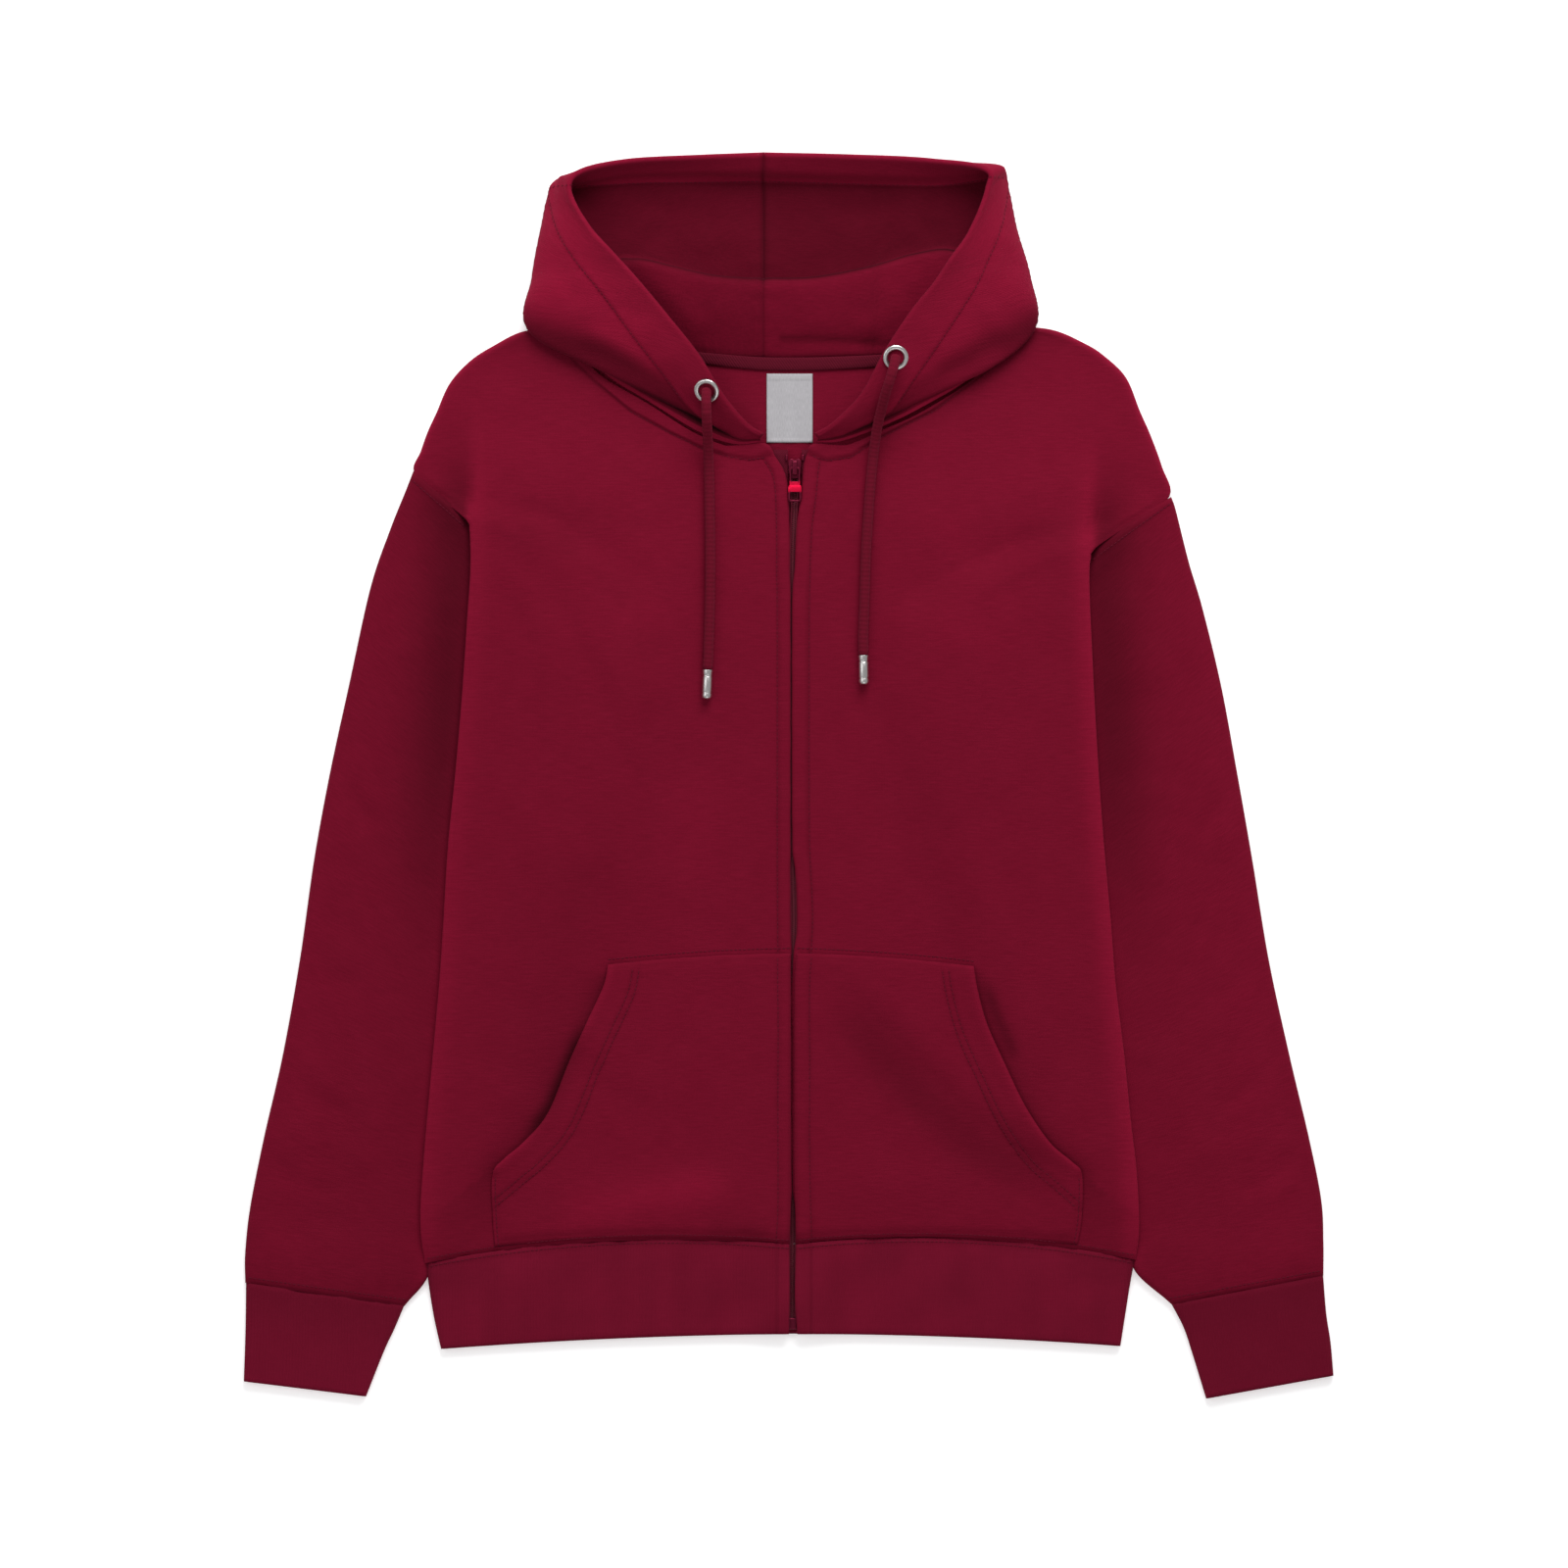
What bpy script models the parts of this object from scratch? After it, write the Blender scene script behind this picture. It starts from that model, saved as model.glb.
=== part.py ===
"""Zip-up hoodie, laid flat on its back with the sleeves drawn down beside the body.

+X is the viewer's right (the wearer's left), +Y runs from hem to hood and +Z is up.
The garment rests on Z = 0. Left and right in names are the wearer's.
Tables and sizes are in millimetres; MM turns them into Blender's metres.
"""

import math
from collections import namedtuple

import bpy
import numpy as np
from mathutils import Vector

MM = 0.001

# ---- cloth -------------------------------------------------------------------------------
WALL = 2.2              # brushed fleece, one layer
HEM_WALL = 4.0          # fleece turned under and sewn
RIB_WALL = 2.8          # ribbing folded double
SEAM = 0.35             # gap that stands for a sewn seam
LAID = 0.35             # gap between a piece and what it lies on
EDGE_ROLL = 5.0         # radius of a laid fold, seen from above
ROLL_ANGLES = (0, 32, 62)

SLEEVE_GAP = 2.6        # air between the two walls of a sleeve
SLEEVE_HEIGHT = 2 * WALL + SLEEVE_GAP
CUFF_GAP = 0.6
CUFF_HEIGHT = 2 * RIB_WALL + CUFF_GAP
BAND_GAP = 0.9
OVER_SLEEVE = SLEEVE_HEIGHT + 0.6      # how high the body's back is where it lies on a sleeve
SHELF_RUN = 58.0        # length of its slope back down to the floor

BODY_GAP = 1.4          # air between front and back in the middle of the body
FOLD_GAP = 1.6          # added along the side folds
ZIP_GAP = 2.0           # added over the zip
ZIP_TOP_GAP = 1.2       # added once more over the slider
MOST_GAP = 3.8
LEAST_GAP = 0.5

# Columns of a body row past its slope on the sleeve, as parts of what is left of it.
FRONT_PARTS = (0.16, 0.32, 0.47, 0.61, 0.74, 0.86, 0.94, 1)
EVEN_PARTS = (0.125, 0.25, 0.375, 0.5, 0.625, 0.75, 0.875, 1)
SHORT_ROW = 150.0       # a row this short, at the shoulder, has its columns evenly spaced
BACK_PARTS = (0.25, 0.5, 0.75, 1)

# ---- the body: one row for each section, from hem to shoulder -------------------------------
# out: the side fold, armhole seam or shoulder; zip: the front edge, then the neck seam.
# bow: how far the middle of the row stands above a straight line between its ends.
# shelf: how far in from the fold the body lies on the sleeve. lift: its height there.
# rolled: 1 on a fold, 0 on the armhole seam.
BodyRow = namedtuple("BodyRow", "out_x out_y zip_x zip_y")
RIGHT_ROWS = [BodyRow(*row) for row in (
    (-252.0, -337.5, 1.0, -325.0),
    (-254.5, -321.0, 1.6, -312.0),
    (-255.0, -300.0, 2.2, -296.0),
    (-253.0, -270.0, 2.2, -270.0),
    (-250.5, -240.0, 2.0, -240.0),
    (-246.5, -195.0, 2.0, -195.0),
    (-242.0, -145.0, 1.8, -145.0),
    (-239.0, -100.0, 1.8, -100.0),
    (-236.0, -50.0, 1.4, -50.0),
    (-230.5, 5.0, 1.4, 5.0),
    (-226.0, 58.0, 1.4, 58.0),
    (-222.5, 110.0, 1.4, 110.0),
    (-220.5, 138.0, 1.2, 137.5),
    (-220.3, 157.0, 1.2, 154.0),
    (-221.0, 171.0, 1.2, 166.0),
    (-223.3, 177.2, 1.0, 175.5),
    (-242.0, 193.4, 0.5, 191.5),
    (-261.3, 210.4, -0.5, 203.5),
    (-255.0, 225.0, -3.0, 212.0),
    (-250.0, 239.0, -8.5, 221.0),
    (-244.0, 252.0, -16.0, 230.5),
    (-235.0, 272.0, -40.0, 228.3),
    (-221.0, 287.5, -66.0, 238.5),
    (-205.0, 298.0, -95.0, 257.0),
    (-183.0, 308.5, -133.0, 281.0),
    (-152.0, 311.5, -131.0, 300.0),
)]
LEFT_ROWS = [BodyRow(*row) for row in (
    (241.5, -335.0, 5.6, -324.0),
    (243.5, -320.0, 5.4, -312.0),
    (243.5, -300.0, 5.0, -296.0),
    (241.5, -270.0, 4.4, -270.0),
    (238.0, -240.0, 4.2, -240.0),
    (233.5, -195.0, 4.2, -195.0),
    (227.5, -145.0, 4.2, -145.0),
    (224.0, -100.0, 6.6, -100.0),
    (219.5, -50.0, 4.6, -50.0),
    (215.5, 5.0, 4.2, 5.0),
    (212.5, 58.0, 4.2, 58.0),
    (210.0, 110.0, 4.3, 110.0),
    (209.3, 131.0, 4.8, 137.5),
    (209.3, 143.0, 5.2, 154.0),
    (210.3, 151.0, 5.8, 166.0),
    (213.5, 157.6, 6.4, 175.5),
    (240.0, 175.9, 8.6, 191.5),
    (266.8, 193.6, 9.8, 203.5),
    (260.0, 214.0, 10.4, 212.0),
    (252.0, 236.0, 12.4, 221.0),
    (244.5, 253.0, 17.5, 230.0),
    (235.0, 276.0, 40.0, 229.0),
    (220.0, 291.0, 66.0, 240.0),
    (206.0, 300.0, 95.0, 253.5),
    (183.0, 309.5, 133.6, 280.2),
    (152.0, 312.0, 132.6, 300.0),
)]
Lay = namedtuple("Lay", "bow shelf lift rolled")
LAYS = [Lay(*row) for row in (
    (9.0, 6, 0.4, 1),
    (6.0, 8, 0.8, 1),
    (3.0, 16, 1, 1),
    (1.0, 28, 1, 1),
    (0.0, 38, 1, 1),
    (0.0, 50, 1, 1),
    (0.0, 62, 1, 1),
    (0.0, 72, 1, 1),
    (0.0, 88, 1, 1),
    (0.0, 100, 1, 1),
    (0.0, 108, 1, 1),
    (0.0, 92, 1, 1),
    (0.0, 66, 1, 1),
    (0.0, 40, 1, 1),
    (0.0, 22, 1, 1),
    (0.0, 10, 0.9, 0.6),
    (0.0, 8, 0, 0),
    (-2.0, 8, 0, 0.5),
    (-8.0, 8, 0, 1),
    (-14.0, 8, 0, 1),
    (-20.0, 8, 0, 1),
    (-3.0, 8, 0, 1),
    (0.0, 8, 0, 1),
    (0.0, 8, 0, 1),
    (0.0, 8, 0, 1),
    (0.0, 8, 0, 1),
)]
BACK_NECK_SAG = (0, 3.0, 10.0, 17.5, 25.0, 26.0)      # of the last six rows of the back
BACK_NECK_POWER = 3.0

# ---- soft folds of the fronts: a ridge (+) or trough (-) from one end to the other ----------
Fold = namedtuple("Fold", "x0 y0 x1 y1 width height")
BODY_FOLDS = [Fold(*row) for row in (
    (3, -330, 3, -306, 18, 0.8),
    (-150, -288, -40, -296, 26, 1.8),
    (40, -284, 190, -300, 24, 1.6),
    (30, -150, 90, -222, 17, -0.9),
    (90, -222, 195, -290, 18, -0.8),
    (-160, -60, -190, -220, 20, 1.4),
    (-90, 150, -160, -30, 26, 1.2),
    (-40, 60, -70, -90, 24, -0.8),
    (90, 170, 130, 0, 26, 1.3),
    (60, 40, 40, -90, 22, -0.8),
    (170, 60, 190, -160, 22, 1.2),
    (-185, 215, -110, 175, 20, 1.2),
    (190, 205, 110, 165, 20, 1.2),
    (-184, 309, -140, 303, 16, 1.2),
    (184, 310, 140, 303, 16, 1.2),
)]

# ---- sleeves: one row for each ring, from armhole to cuff -----------------------------------
# bow: how far the middle of a ring stands towards the shoulder of a straight line.
Ring = namedtuple("Ring", "out_x out_y in_x in_y bow", defaults=(0,))
RIGHT_SLEEVE = [Ring(*row) for row in (
    (-261.0, 209.0, -123.0, 87.5),
    (-265.3, 198.0, -125.0, 75.0),
    (-276.5, 170.0, -132.0, 44.0),
    (-290.0, 130.0, -143.0, 3.0),
    (-305.0, 62.0, -158.0, -45.0),
    (-318.0, 2.0, -173.0, -92.0),
    (-329.0, -58.0, -189.0, -137.0),
    (-339.0, -128.0, -206.0, -188.0),
    (-351.0, -195.0, -222.0, -236.0),
    (-364.0, -252.0, -237.0, -280.0),
    (-373.5, -300.0, -252.0, -316.0),
    (-377.0, -332.0, -255.5, -342.0),
    (-377.0, -351.5, -265.5, -367.7),
)]
LEFT_SLEEVE = [Ring(*row) for row in (
    (266.8, 192.0, 129.0, 89.0, 4.0),
    (269.5, 184.0, 129.5, 76.0),
    (278.5, 148.0, 134.0, 42.0),
    (288.0, 116.0, 141.0, 5.0),
    (301.0, 62.0, 154.0, -44.0),
    (312.0, 2.0, 168.0, -92.0),
    (322.5, -58.0, 183.0, -138.0),
    (334.0, -128.0, 199.0, -188.0),
    (348.5, -195.0, 214.0, -236.0),
    (362.0, -252.0, 229.0, -280.0),
    (370.5, -295.0, 242.5, -316.0),
    (372.0, -325.0, 246.5, -341.0),
    (372.0, -346.5, 265.5, -366.7),
)]
RIGHT_CUFF = [Ring(*row) for row in (
    (-376.4, -352.4, -266.5, -368.4),
    (-376.6, -372.0, -273.5, -385.0),
    (-377.0, -392.0, -280.5, -400.0),
    (-378.0, -421.0, -293.0, -431.5),
)]
LEFT_CUFF = [Ring(*row) for row in (
    (371.8, -347.4, 266.5, -367.5),
    (374.0, -374.0, 275.0, -384.0),
    (377.0, -394.0, 281.0, -402.0),
    (379.0, -417.0, 290.5, -433.0),
)]
SLEEVE_FOLDS = [Fold(*row) for row in (
    (-300, 150, -318, -40, 22, 0.9),
    (-268, 60, -300, -150, 20, -0.9),
    (-355, -180, -330, -290, 18, 0.9),
    (-300, -210, -285, -320, 20, 0.8),
    (296, 140, 306, -40, 22, 0.9),
    (262, 50, 288, -150, 20, -0.9),
    (345, -170, 318, -290, 18, 0.9),
    (282, -210, 270, -320, 20, 0.8),
)]

# ---- hem band: one row for each section, from its seam down ----------------------------------
BandRow = namedtuple("BandRow", "right_x right_y zip_right_x zip_left_x zip_y left_x left_y bow")
BAND_ROWS = [BandRow(*row) for row in (
    (-251.3, -338.4, 1.0, 5.6, -325.6, 241.0, -335.8, 9.0),
    (-249.5, -354.0, 1.2, 5.2, -342.0, 238.0, -352.0, 6.0),
    (-246.0, -376.0, 1.2, 5.0, -366.0, 234.5, -374.0, 3.0),
    (-241.0, -398.5, 0.7, 6.5, -388.0, 231.0, -396.5, 2.0),
)]

# ---- hood: one row for each rib of a half, from the zip round to the centre back -------------
# Each rib runs from the neck seam, over the crest and through the valley of the folded back,
# round the outer fold and up the side to the face edge. Each column is a point of the wall's
# middle.
HoodRib = namedtuple("HoodRib", "neck crest valley fold side face")
RIGHT_HOOD = [HoodRib(*row) for row in (
    ((-19, 231.6, 6.8), (-19.2, 232.6, 7.2), (-19.4, 233.6, 7.6), (-19.4, 234.8, 8.4),
     (-18.6, 236, 9.6), (-17, 236.6, 11)),
    ((-37, 230.3, 6.8), (-37, 232.4, 7.6), (-36.6, 235.2, 8.2), (-36.4, 238.4, 11.6),
     (-33.6, 242.6, 14.6), (-28.6, 244.4, 16.4)),
    ((-61, 238.4, 6.8), (-60.4, 242, 7.8), (-59.4, 247.4, 8.6), (-60.4, 253, 13),
     (-55, 262, 19), (-45, 264, 22)),
    ((-92.3, 257.4, 6.8), (-91.6, 259.4, 7.8), (-90.8, 262.4, 8.8), (-92, 266, 14),
     (-78, 282, 24), (-61.5, 291, 28)),
    ((-127.5, 280.8, 6.9), (-130, 284, 9.4), (-131, 287, 10.4), (-134, 285.6, 15),
     (-108, 308, 29), (-83, 318, 34)),
    ((-127.8, 298, 6.9), (-140, 303, 10.4), (-161, 306, 10.6), (-180.5, 311.5, 12),
     (-152, 332, 28), (-104, 343, 38)),
    ((-112, 300.0, 1.9), (-124, 330, 12), (-140, 345, 7), (-175.5, 344, 6.6),
     (-161, 356, 24), (-121.5, 362, 40)),
    ((-93, 294.7, 1.9), (-110, 349, 20), (-122, 362, 6), (-167.5, 376, 5.4),
     (-160, 384, 22), (-137.5, 380, 37)),
    ((-74, 292.0, 1.9), (-84, 351, 25), (-94, 366, 4.5), (-157.5, 408, 4.6),
     (-158.5, 410, 16), (-150.5, 404, 31)),
    ((-49, 290.4, 1.9), (-50, 344.5, 28), (-56, 361, 4.0), (-112, 421, 4.0),
     (-113.5, 426, 14), (-112, 426.8, 27)),
    ((-31, 289.6, 1.9), (-31, 342.5, 29), (-34, 359, 4.0), (-62, 424, 4.0),
     (-62, 429.4, 14), (-61, 430, 27)),
    ((-17.3, 288.9, 1.9), (-17.3, 342, 29), (-17.3, 358, 4.0), (-17.3, 425, 4.0),
     (-17.3, 430.2, 14), (-17.3, 431, 27)),
)]
LEFT_HOOD = [HoodRib(*row) for row in (
    ((20.5, 231.6, 7.0), (20.7, 232.6, 7.4), (20.9, 233.6, 7.8), (21, 234.8, 8.6),
     (20.4, 236, 9.8), (18.6, 236.8, 11)),
    ((36, 232.2, 7.0), (36, 234, 7.7), (36.2, 236, 8.6), (36.8, 238.6, 11.4),
     (35.6, 242, 14.2), (30.5, 243.8, 16.4)),
    ((61, 240.8, 6.8), (61.2, 243, 7.8), (61.6, 245.8, 9), (62.6, 249, 13),
     (59, 258, 19), (50.5, 264, 22)),
    ((91.4, 255.2, 6.8), (91.8, 257.6, 7.8), (91.8, 260.6, 9), (93.4, 264, 14),
     (84, 280, 24), (67, 294, 28)),
    ((128.9, 279.8, 7.1), (134, 282, 9.4), (135, 285, 10.4), (139, 284, 15),
     (114, 306, 29), (85, 321, 34)),
    ((127.6, 298, 7.1), (142, 303, 10.4), (156, 306, 10.6), (171.5, 313, 12),
     (146, 332, 28), (100.5, 340, 38)),
    ((112, 300.0, 1.9), (124, 334, 12), (136, 348, 7), (167, 344, 6.6),
     (152, 358, 24), (112, 357, 40)),
    ((93, 294.7, 1.9), (110, 353, 20), (118, 366, 6), (157, 374, 5.4),
     (148, 384, 22), (125, 375.5, 37)),
    ((74, 292.0, 1.9), (86, 355, 25), (94, 369, 4.5), (146.5, 410, 4.6),
     (147, 413, 16), (137, 404, 31)),
    ((49, 290.4, 1.9), (52, 347.5, 28), (56, 362, 4.0), (96, 420, 4.0),
     (98, 425, 14), (97, 426.4, 27)),
    ((16, 289.2, 1.9), (18, 342.5, 29), (18, 359, 4.0), (42, 425, 4.0),
     (42, 429.8, 14), (41, 430.4, 27)),
    ((-16.7, 288.9, 1.9), (-16.7, 342, 29), (-16.7, 358, 4.0), (-16.7, 425, 4.0),
     (-16.7, 430.2, 14), (-16.7, 431, 27)),
)]
RIB_STEPS = (3, 3, 5, 3, 3)        # sections between one named point of a rib and the next
STATION_STEPS = (1, 2, 2, 2, 3, 3, 2, 2, 2, 1, 1)
FOLD_FIRST_RIB = 6                 # first rib under which the hood's back lies folded
FOLD_END_RISE = (0.15, 0.65, 0.9)  # how the folded back rounds off towards each shoulder
FOLD_EDGE = 0.4
FOLD_LAID = 0.8
HEM_STEPS = 3                      # of a rib's last sections that the turned hem takes up

# ---- pockets: one row for each section, from the hem seam up ---------------------------------
PocketRow = namedtuple("PocketRow", "out_x out_y zip_x zip_y bow")
RIGHT_POCKET = [PocketRow(*row) for row in (
    (-203.5, -327.0, 0.6, -324.6, 5.0),
    (-205.0, -306.0, 1.8, -302.0, 2.0),
    (-205.0, -277.0, 2.0, -277.0, 0),
    (-197.0, -266.0, 2.0, -264.0, 0),
    (-184.0, -255.0, 2.0, -252.0, 0),
    (-167.0, -235.0, 2.0, -235.0, 0),
    (-152.0, -199.0, 2.0, -199.0, 0),
    (-139.0, -170.0, 2.0, -168.0, 0),
    (-128.0, -146.0, 1.8, -142.0, 0),
    (-125.0, -131.5, 1.8, -123.5, 1.5),
)]
LEFT_POCKET = [PocketRow(*row) for row in (
    (201.0, -325.5, 5.8, -323.6, 4.0),
    (204.0, -306.0, 5.2, -302.0, 2.0),
    (204.0, -277.0, 4.6, -277.0, 0),
    (197.0, -268.0, 4.4, -264.0, 0),
    (182.0, -255.0, 4.4, -252.0, 0),
    (165.0, -230.0, 4.4, -230.0, 0),
    (150.0, -199.0, 4.4, -199.0, 0),
    (138.0, -172.0, 4.4, -168.0, 0),
    (131.5, -148.0, 4.6, -142.0, 0),
    (129.0, -132.5, 6.0, -123.5, 1.5),
)]
POCKET_COLUMNS = (0, 0.06, 0.2, 0.35, 0.5, 0.65, 0.8, 0.92, 1)
POCKET_LAID = 0.75
POCKET_MOUTH_LIFT = 1.2            # how far the pocket's mouth stands off the front

# ---- neck --------------------------------------------------------------------------------
TAPE_HALF_LENGTH = 61.0
TAPE_WIDTH = 7.5
TAPE_THICKNESS = 0.9
LABEL_WIDTH = 32.0
LABEL_HEIGHT = 48.0
LABEL_THICKNESS = 0.6
LABEL_CENTRE_X = 1.2
LABEL_BOTTOM_Y = 231.0

# ---- zip: x of its middle and z of the chain's underside, from the box up ---------------------
ZipPoint = namedtuple("ZipPoint", "y x z")
ZIP_PATH = [ZipPoint(*row) for row in (
    (-376.5, 3.2, 3.2),
    (-340.0, 3.2, 3.2),
    (-322.0, 3.4, 3.2),
    (-296.0, 3.5, 2.6),
    (-240.0, 3.1, 2.6),
    (-145.0, 3.1, 2.6),
    (-100.0, 4.2, 2.6),
    (-50.0, 3.1, 2.6),
    (60.0, 2.8, 2.6),
    (140.0, 3.2, 2.6),
    (172.0, 3.9, 2.6),
    (190.0, 4.6, 3.4),
    (205.5, 4.8, 3.7),
)]
CHAIN_WIDTH = 5.4
CHAIN_HEIGHT = 2.6
TAPE_REACH = 15.0                  # from the zip's middle to a tape's outer edge
ZIP_TAPE_THICKNESS = 0.8
ZIP_TAPE_TOP_Y = 226.0
BOX_SIZE = (6.4, 8.0, 2.9)         # retainer box at the lower end
STOP_SIZE = (1.6, 4.0, 2.2)        # each top stop

# ---- slider and pull -----------------------------------------------------------------------
SLIDER_X = 4.8
SLIDER_WIDTH = 9.0
SLIDER_BOTTOM_Y = 206.0
SLIDER_LENGTH = 14.0
SLIDER_PLATE = 1.0
BRIDGE_WIDTH = 3.0
BRIDGE_PLATE = 1.0
PIN_Y = 213.0                      # hinge line of the pull
PIN_Z = 9.35
PULL_THICKNESS = 1.4
PULL_LENGTH = 24.0
PULL_HEAD_WIDTH = 7.4
PULL_FOOT_WIDTH = 9.2

# ---- eyelets and cords -----------------------------------------------------------------------
EYELET_OUTER = 8.8                 # radii
EYELET_INNER = 5.4
EYELET_HEIGHT = 1.6
Eyelet = namedtuple("Eyelet", "x y z slope_x slope_y")
RIGHT_EYELET = Eyelet(-56.4, 265.9, 24.1, 0.24, 0.46)
LEFT_EYELET = Eyelet(74.6, 288.8, 30.1, -0.04, 0.25)
CORD_RADIUS = 3.5
TIP_RADIUS = 3.7
TIP_LENGTH = 20.5
RIGHT_CORD_ROUTE = (
    (-56.4, 266.0, 24.1), (-56.5, 264.2, 26.0), (-56.6, 261.8, 28.5), (-56.6, 258.4, 30.1),
    (-56.5, 254.0, 30.6), (-56.3, 248.5, 29.6), (-56.0, 242.5, 26.6), (-55.7, 236.5, 22.6),
    (-55.4, 230.0, 18.4), (-55.1, 222.5, 14.6), (-54.8, 213.0, 11.6), (-54.5, 201.0, 10.2),
    (-54.2, 184.0, 9.8), (-53.9, 150.0, 9.9), (-54.2, 116.0, 9.9), (-55.0, 90.0, 9.7),
    (-55.6, 73.6, 9.6),
)
LEFT_CORD_ROUTE = (
    (74.6, 288.8, 31.0), (74.3, 287.1, 33.0), (73.8, 284.9, 34.8), (73.0, 281.6, 36.5),
    (71.7, 277.2, 37.1), (70.0, 271.8, 36.2), (68.1, 265.8, 33.4), (66.3, 259.8, 29.6),
    (64.8, 253.4, 25.2), (63.0, 246.0, 20.6), (61.4, 238.0, 16.4), (60.0, 228.0, 12.9),
    (58.6, 215.0, 10.9), (57.0, 198.0, 10.2), (55.4, 174.0, 10.0), (54.0, 150.0, 10.0),
    (53.0, 116.0, 10.2), (52.2, 97.0, 10.4), (52.4, 83.6, 10.6),
)
CORD_POINTS = 34

# ---- colours -----------------------------------------------------------------------------
FLEECE = ((0.17, 0.008, 0.026), 0.95, 0.0)
RIBBING = ((0.14, 0.007, 0.022), 0.95, 0.0)
BRAID = ((0.15, 0.007, 0.024), 0.9, 0.0)
ZIP_CLOTH = ((0.13, 0.006, 0.02), 0.9, 0.0)
TEETH = ((0.05, 0.004, 0.012), 0.45, 0.0)
LACQUER = ((0.16, 0.01, 0.03), 0.35, 0.6)
NICKEL = ((0.72, 0.72, 0.74), 0.25, 1.0)
LABEL_GREY = ((0.62, 0.62, 0.64), 0.8, 0.0)


# ============================ helpers ======================================================

def clear_scene():
    for thing in list(bpy.data.objects):
        bpy.data.objects.remove(thing, do_unlink=True)


def material(name, look):
    colour, roughness, metallic = look
    made = bpy.data.materials.get(name)
    if made:
        return made
    made = bpy.data.materials.new(name)
    made.use_nodes = True
    shader = made.node_tree.nodes["Principled BSDF"]
    shader.inputs["Base Color"].default_value = (*colour, 1)
    shader.inputs["Roughness"].default_value = roughness
    shader.inputs["Metallic"].default_value = metallic
    made.diffuse_color = (*colour, 1)
    return made


def add_mesh(name, points, faces, look, smooth=True):
    """One object from points in millimetres, turned right side out."""
    points = np.asarray(points, float)
    volume = 0.0
    for face in faces:
        for i in range(1, len(face) - 1):
            a, b, c = points[face[0]], points[face[i]], points[face[i + 1]]
            volume += float(np.dot(a, np.cross(b, c)))
    if volume < 0:
        faces = [tuple(reversed(face)) for face in faces]
    mesh = bpy.data.meshes.new(name)
    mesh.from_pydata([tuple(p * MM) for p in points], [], faces)
    mesh.update()
    if smooth:
        mesh.shade_smooth()
        mesh.set_sharp_from_angle(angle=math.radians(40))
    mesh.materials.append(material(name.rsplit("_", 1)[0], look))
    made = bpy.data.objects.new(name, mesh)
    bpy.context.scene.collection.objects.link(made)
    return made


def shell(name, upper, lower, look, tube=False):
    """A closed wall between two grids of points, open-ended where it is a tube."""
    upper = np.asarray(upper, float)
    lower = np.asarray(lower, float)
    rows, columns = upper.shape[:2]
    points = np.concatenate([upper.reshape(-1, 3), lower.reshape(-1, 3)])
    under = rows * columns
    faces = []
    spans = columns if tube else columns - 1
    for i in range(rows - 1):
        for j in range(spans):
            k = (j + 1) % columns
            a, b = i * columns + j, i * columns + k
            c, d = (i + 1) * columns + k, (i + 1) * columns + j
            faces.append((a, b, c, d))
            faces.append((under + d, under + c, under + b, under + a))
    for j in range(spans):
        k = (j + 1) % columns
        last = (rows - 1) * columns
        faces.append((k, j, under + j, under + k))
        faces.append((last + j, last + k, under + last + k, under + last + j))
    if not tube:
        for i in range(rows - 1):
            a, b = i * columns, (i + 1) * columns
            faces.append((a, b, under + b, under + a))
            a, b = a + columns - 1, b + columns - 1
            faces.append((b, a, under + a, under + b))
    return add_mesh(name, points, faces, look)


def lerp(a, b, t):
    return a + (b - a) * t


def smooth_step(t):
    t = min(max(t, 0.0), 1.0)
    return t * t * (3 - 2 * t)


def catmull(points, steps):
    """A smooth curve through points, with the given number of sections in each span."""
    points = [np.asarray(p, float) for p in points]
    ends = [2 * points[0] - points[1], *points, 2 * points[-1] - points[-2]]
    found = []
    for i, count in enumerate(steps):
        a, b, c, d = ends[i:i + 4]
        for step in range(count):
            t = step / count
            found.append(0.5 * (2 * b + (c - a) * t + (2 * a - 5 * b + 4 * c - d) * t * t
                                + (3 * b - a - 3 * c + d) * t ** 3))
    found.append(points[-1])
    return np.array(found)


def fold_height(folds, x, y):
    total = 0.0
    for fold in folds:
        along_x, along_y = fold.x1 - fold.x0, fold.y1 - fold.y0
        length = math.hypot(along_x, along_y)
        part = ((x - fold.x0) * along_x + (y - fold.y0) * along_y) / length ** 2
        reach = abs((x - fold.x0) * along_y - (y - fold.y0) * along_x) / length
        past = max(-part, part - 1, 0) * length
        total += fold.height * math.exp(-(reach ** 2 + past ** 2) / fold.width ** 2)
    return total


# ============================ heights of the laid body ======================================

def body_rows(side):
    return LEFT_ROWS if side > 0 else RIGHT_ROWS


def lay_at(side, y):
    """Where the side fold is at this height of the body, and how the cloth lies there."""
    rows = body_rows(side)
    outs = [row.out_y for row in rows]
    return (
        float(np.interp(y, outs, [row.out_x for row in rows])),
        float(np.interp(y, outs, [lay.shelf for lay in LAYS])),
        float(np.interp(y, outs, [lay.lift for lay in LAYS])) * OVER_SLEEVE,
    )


def zip_at(y):
    ys = [point.y for point in ZIP_PATH]
    return (
        float(np.interp(y, ys, [point.x for point in ZIP_PATH])),
        float(np.interp(y, ys, [point.z for point in ZIP_PATH])),
    )


def back_bottom(side, x, y):
    """Underside of the back: on the floor, or up on the sleeve near the side fold."""
    fold_x, shelf, lift = lay_at(side, y)
    return lift * (1 - smooth_step((abs(x - fold_x) - shelf) / SHELF_RUN))


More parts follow.
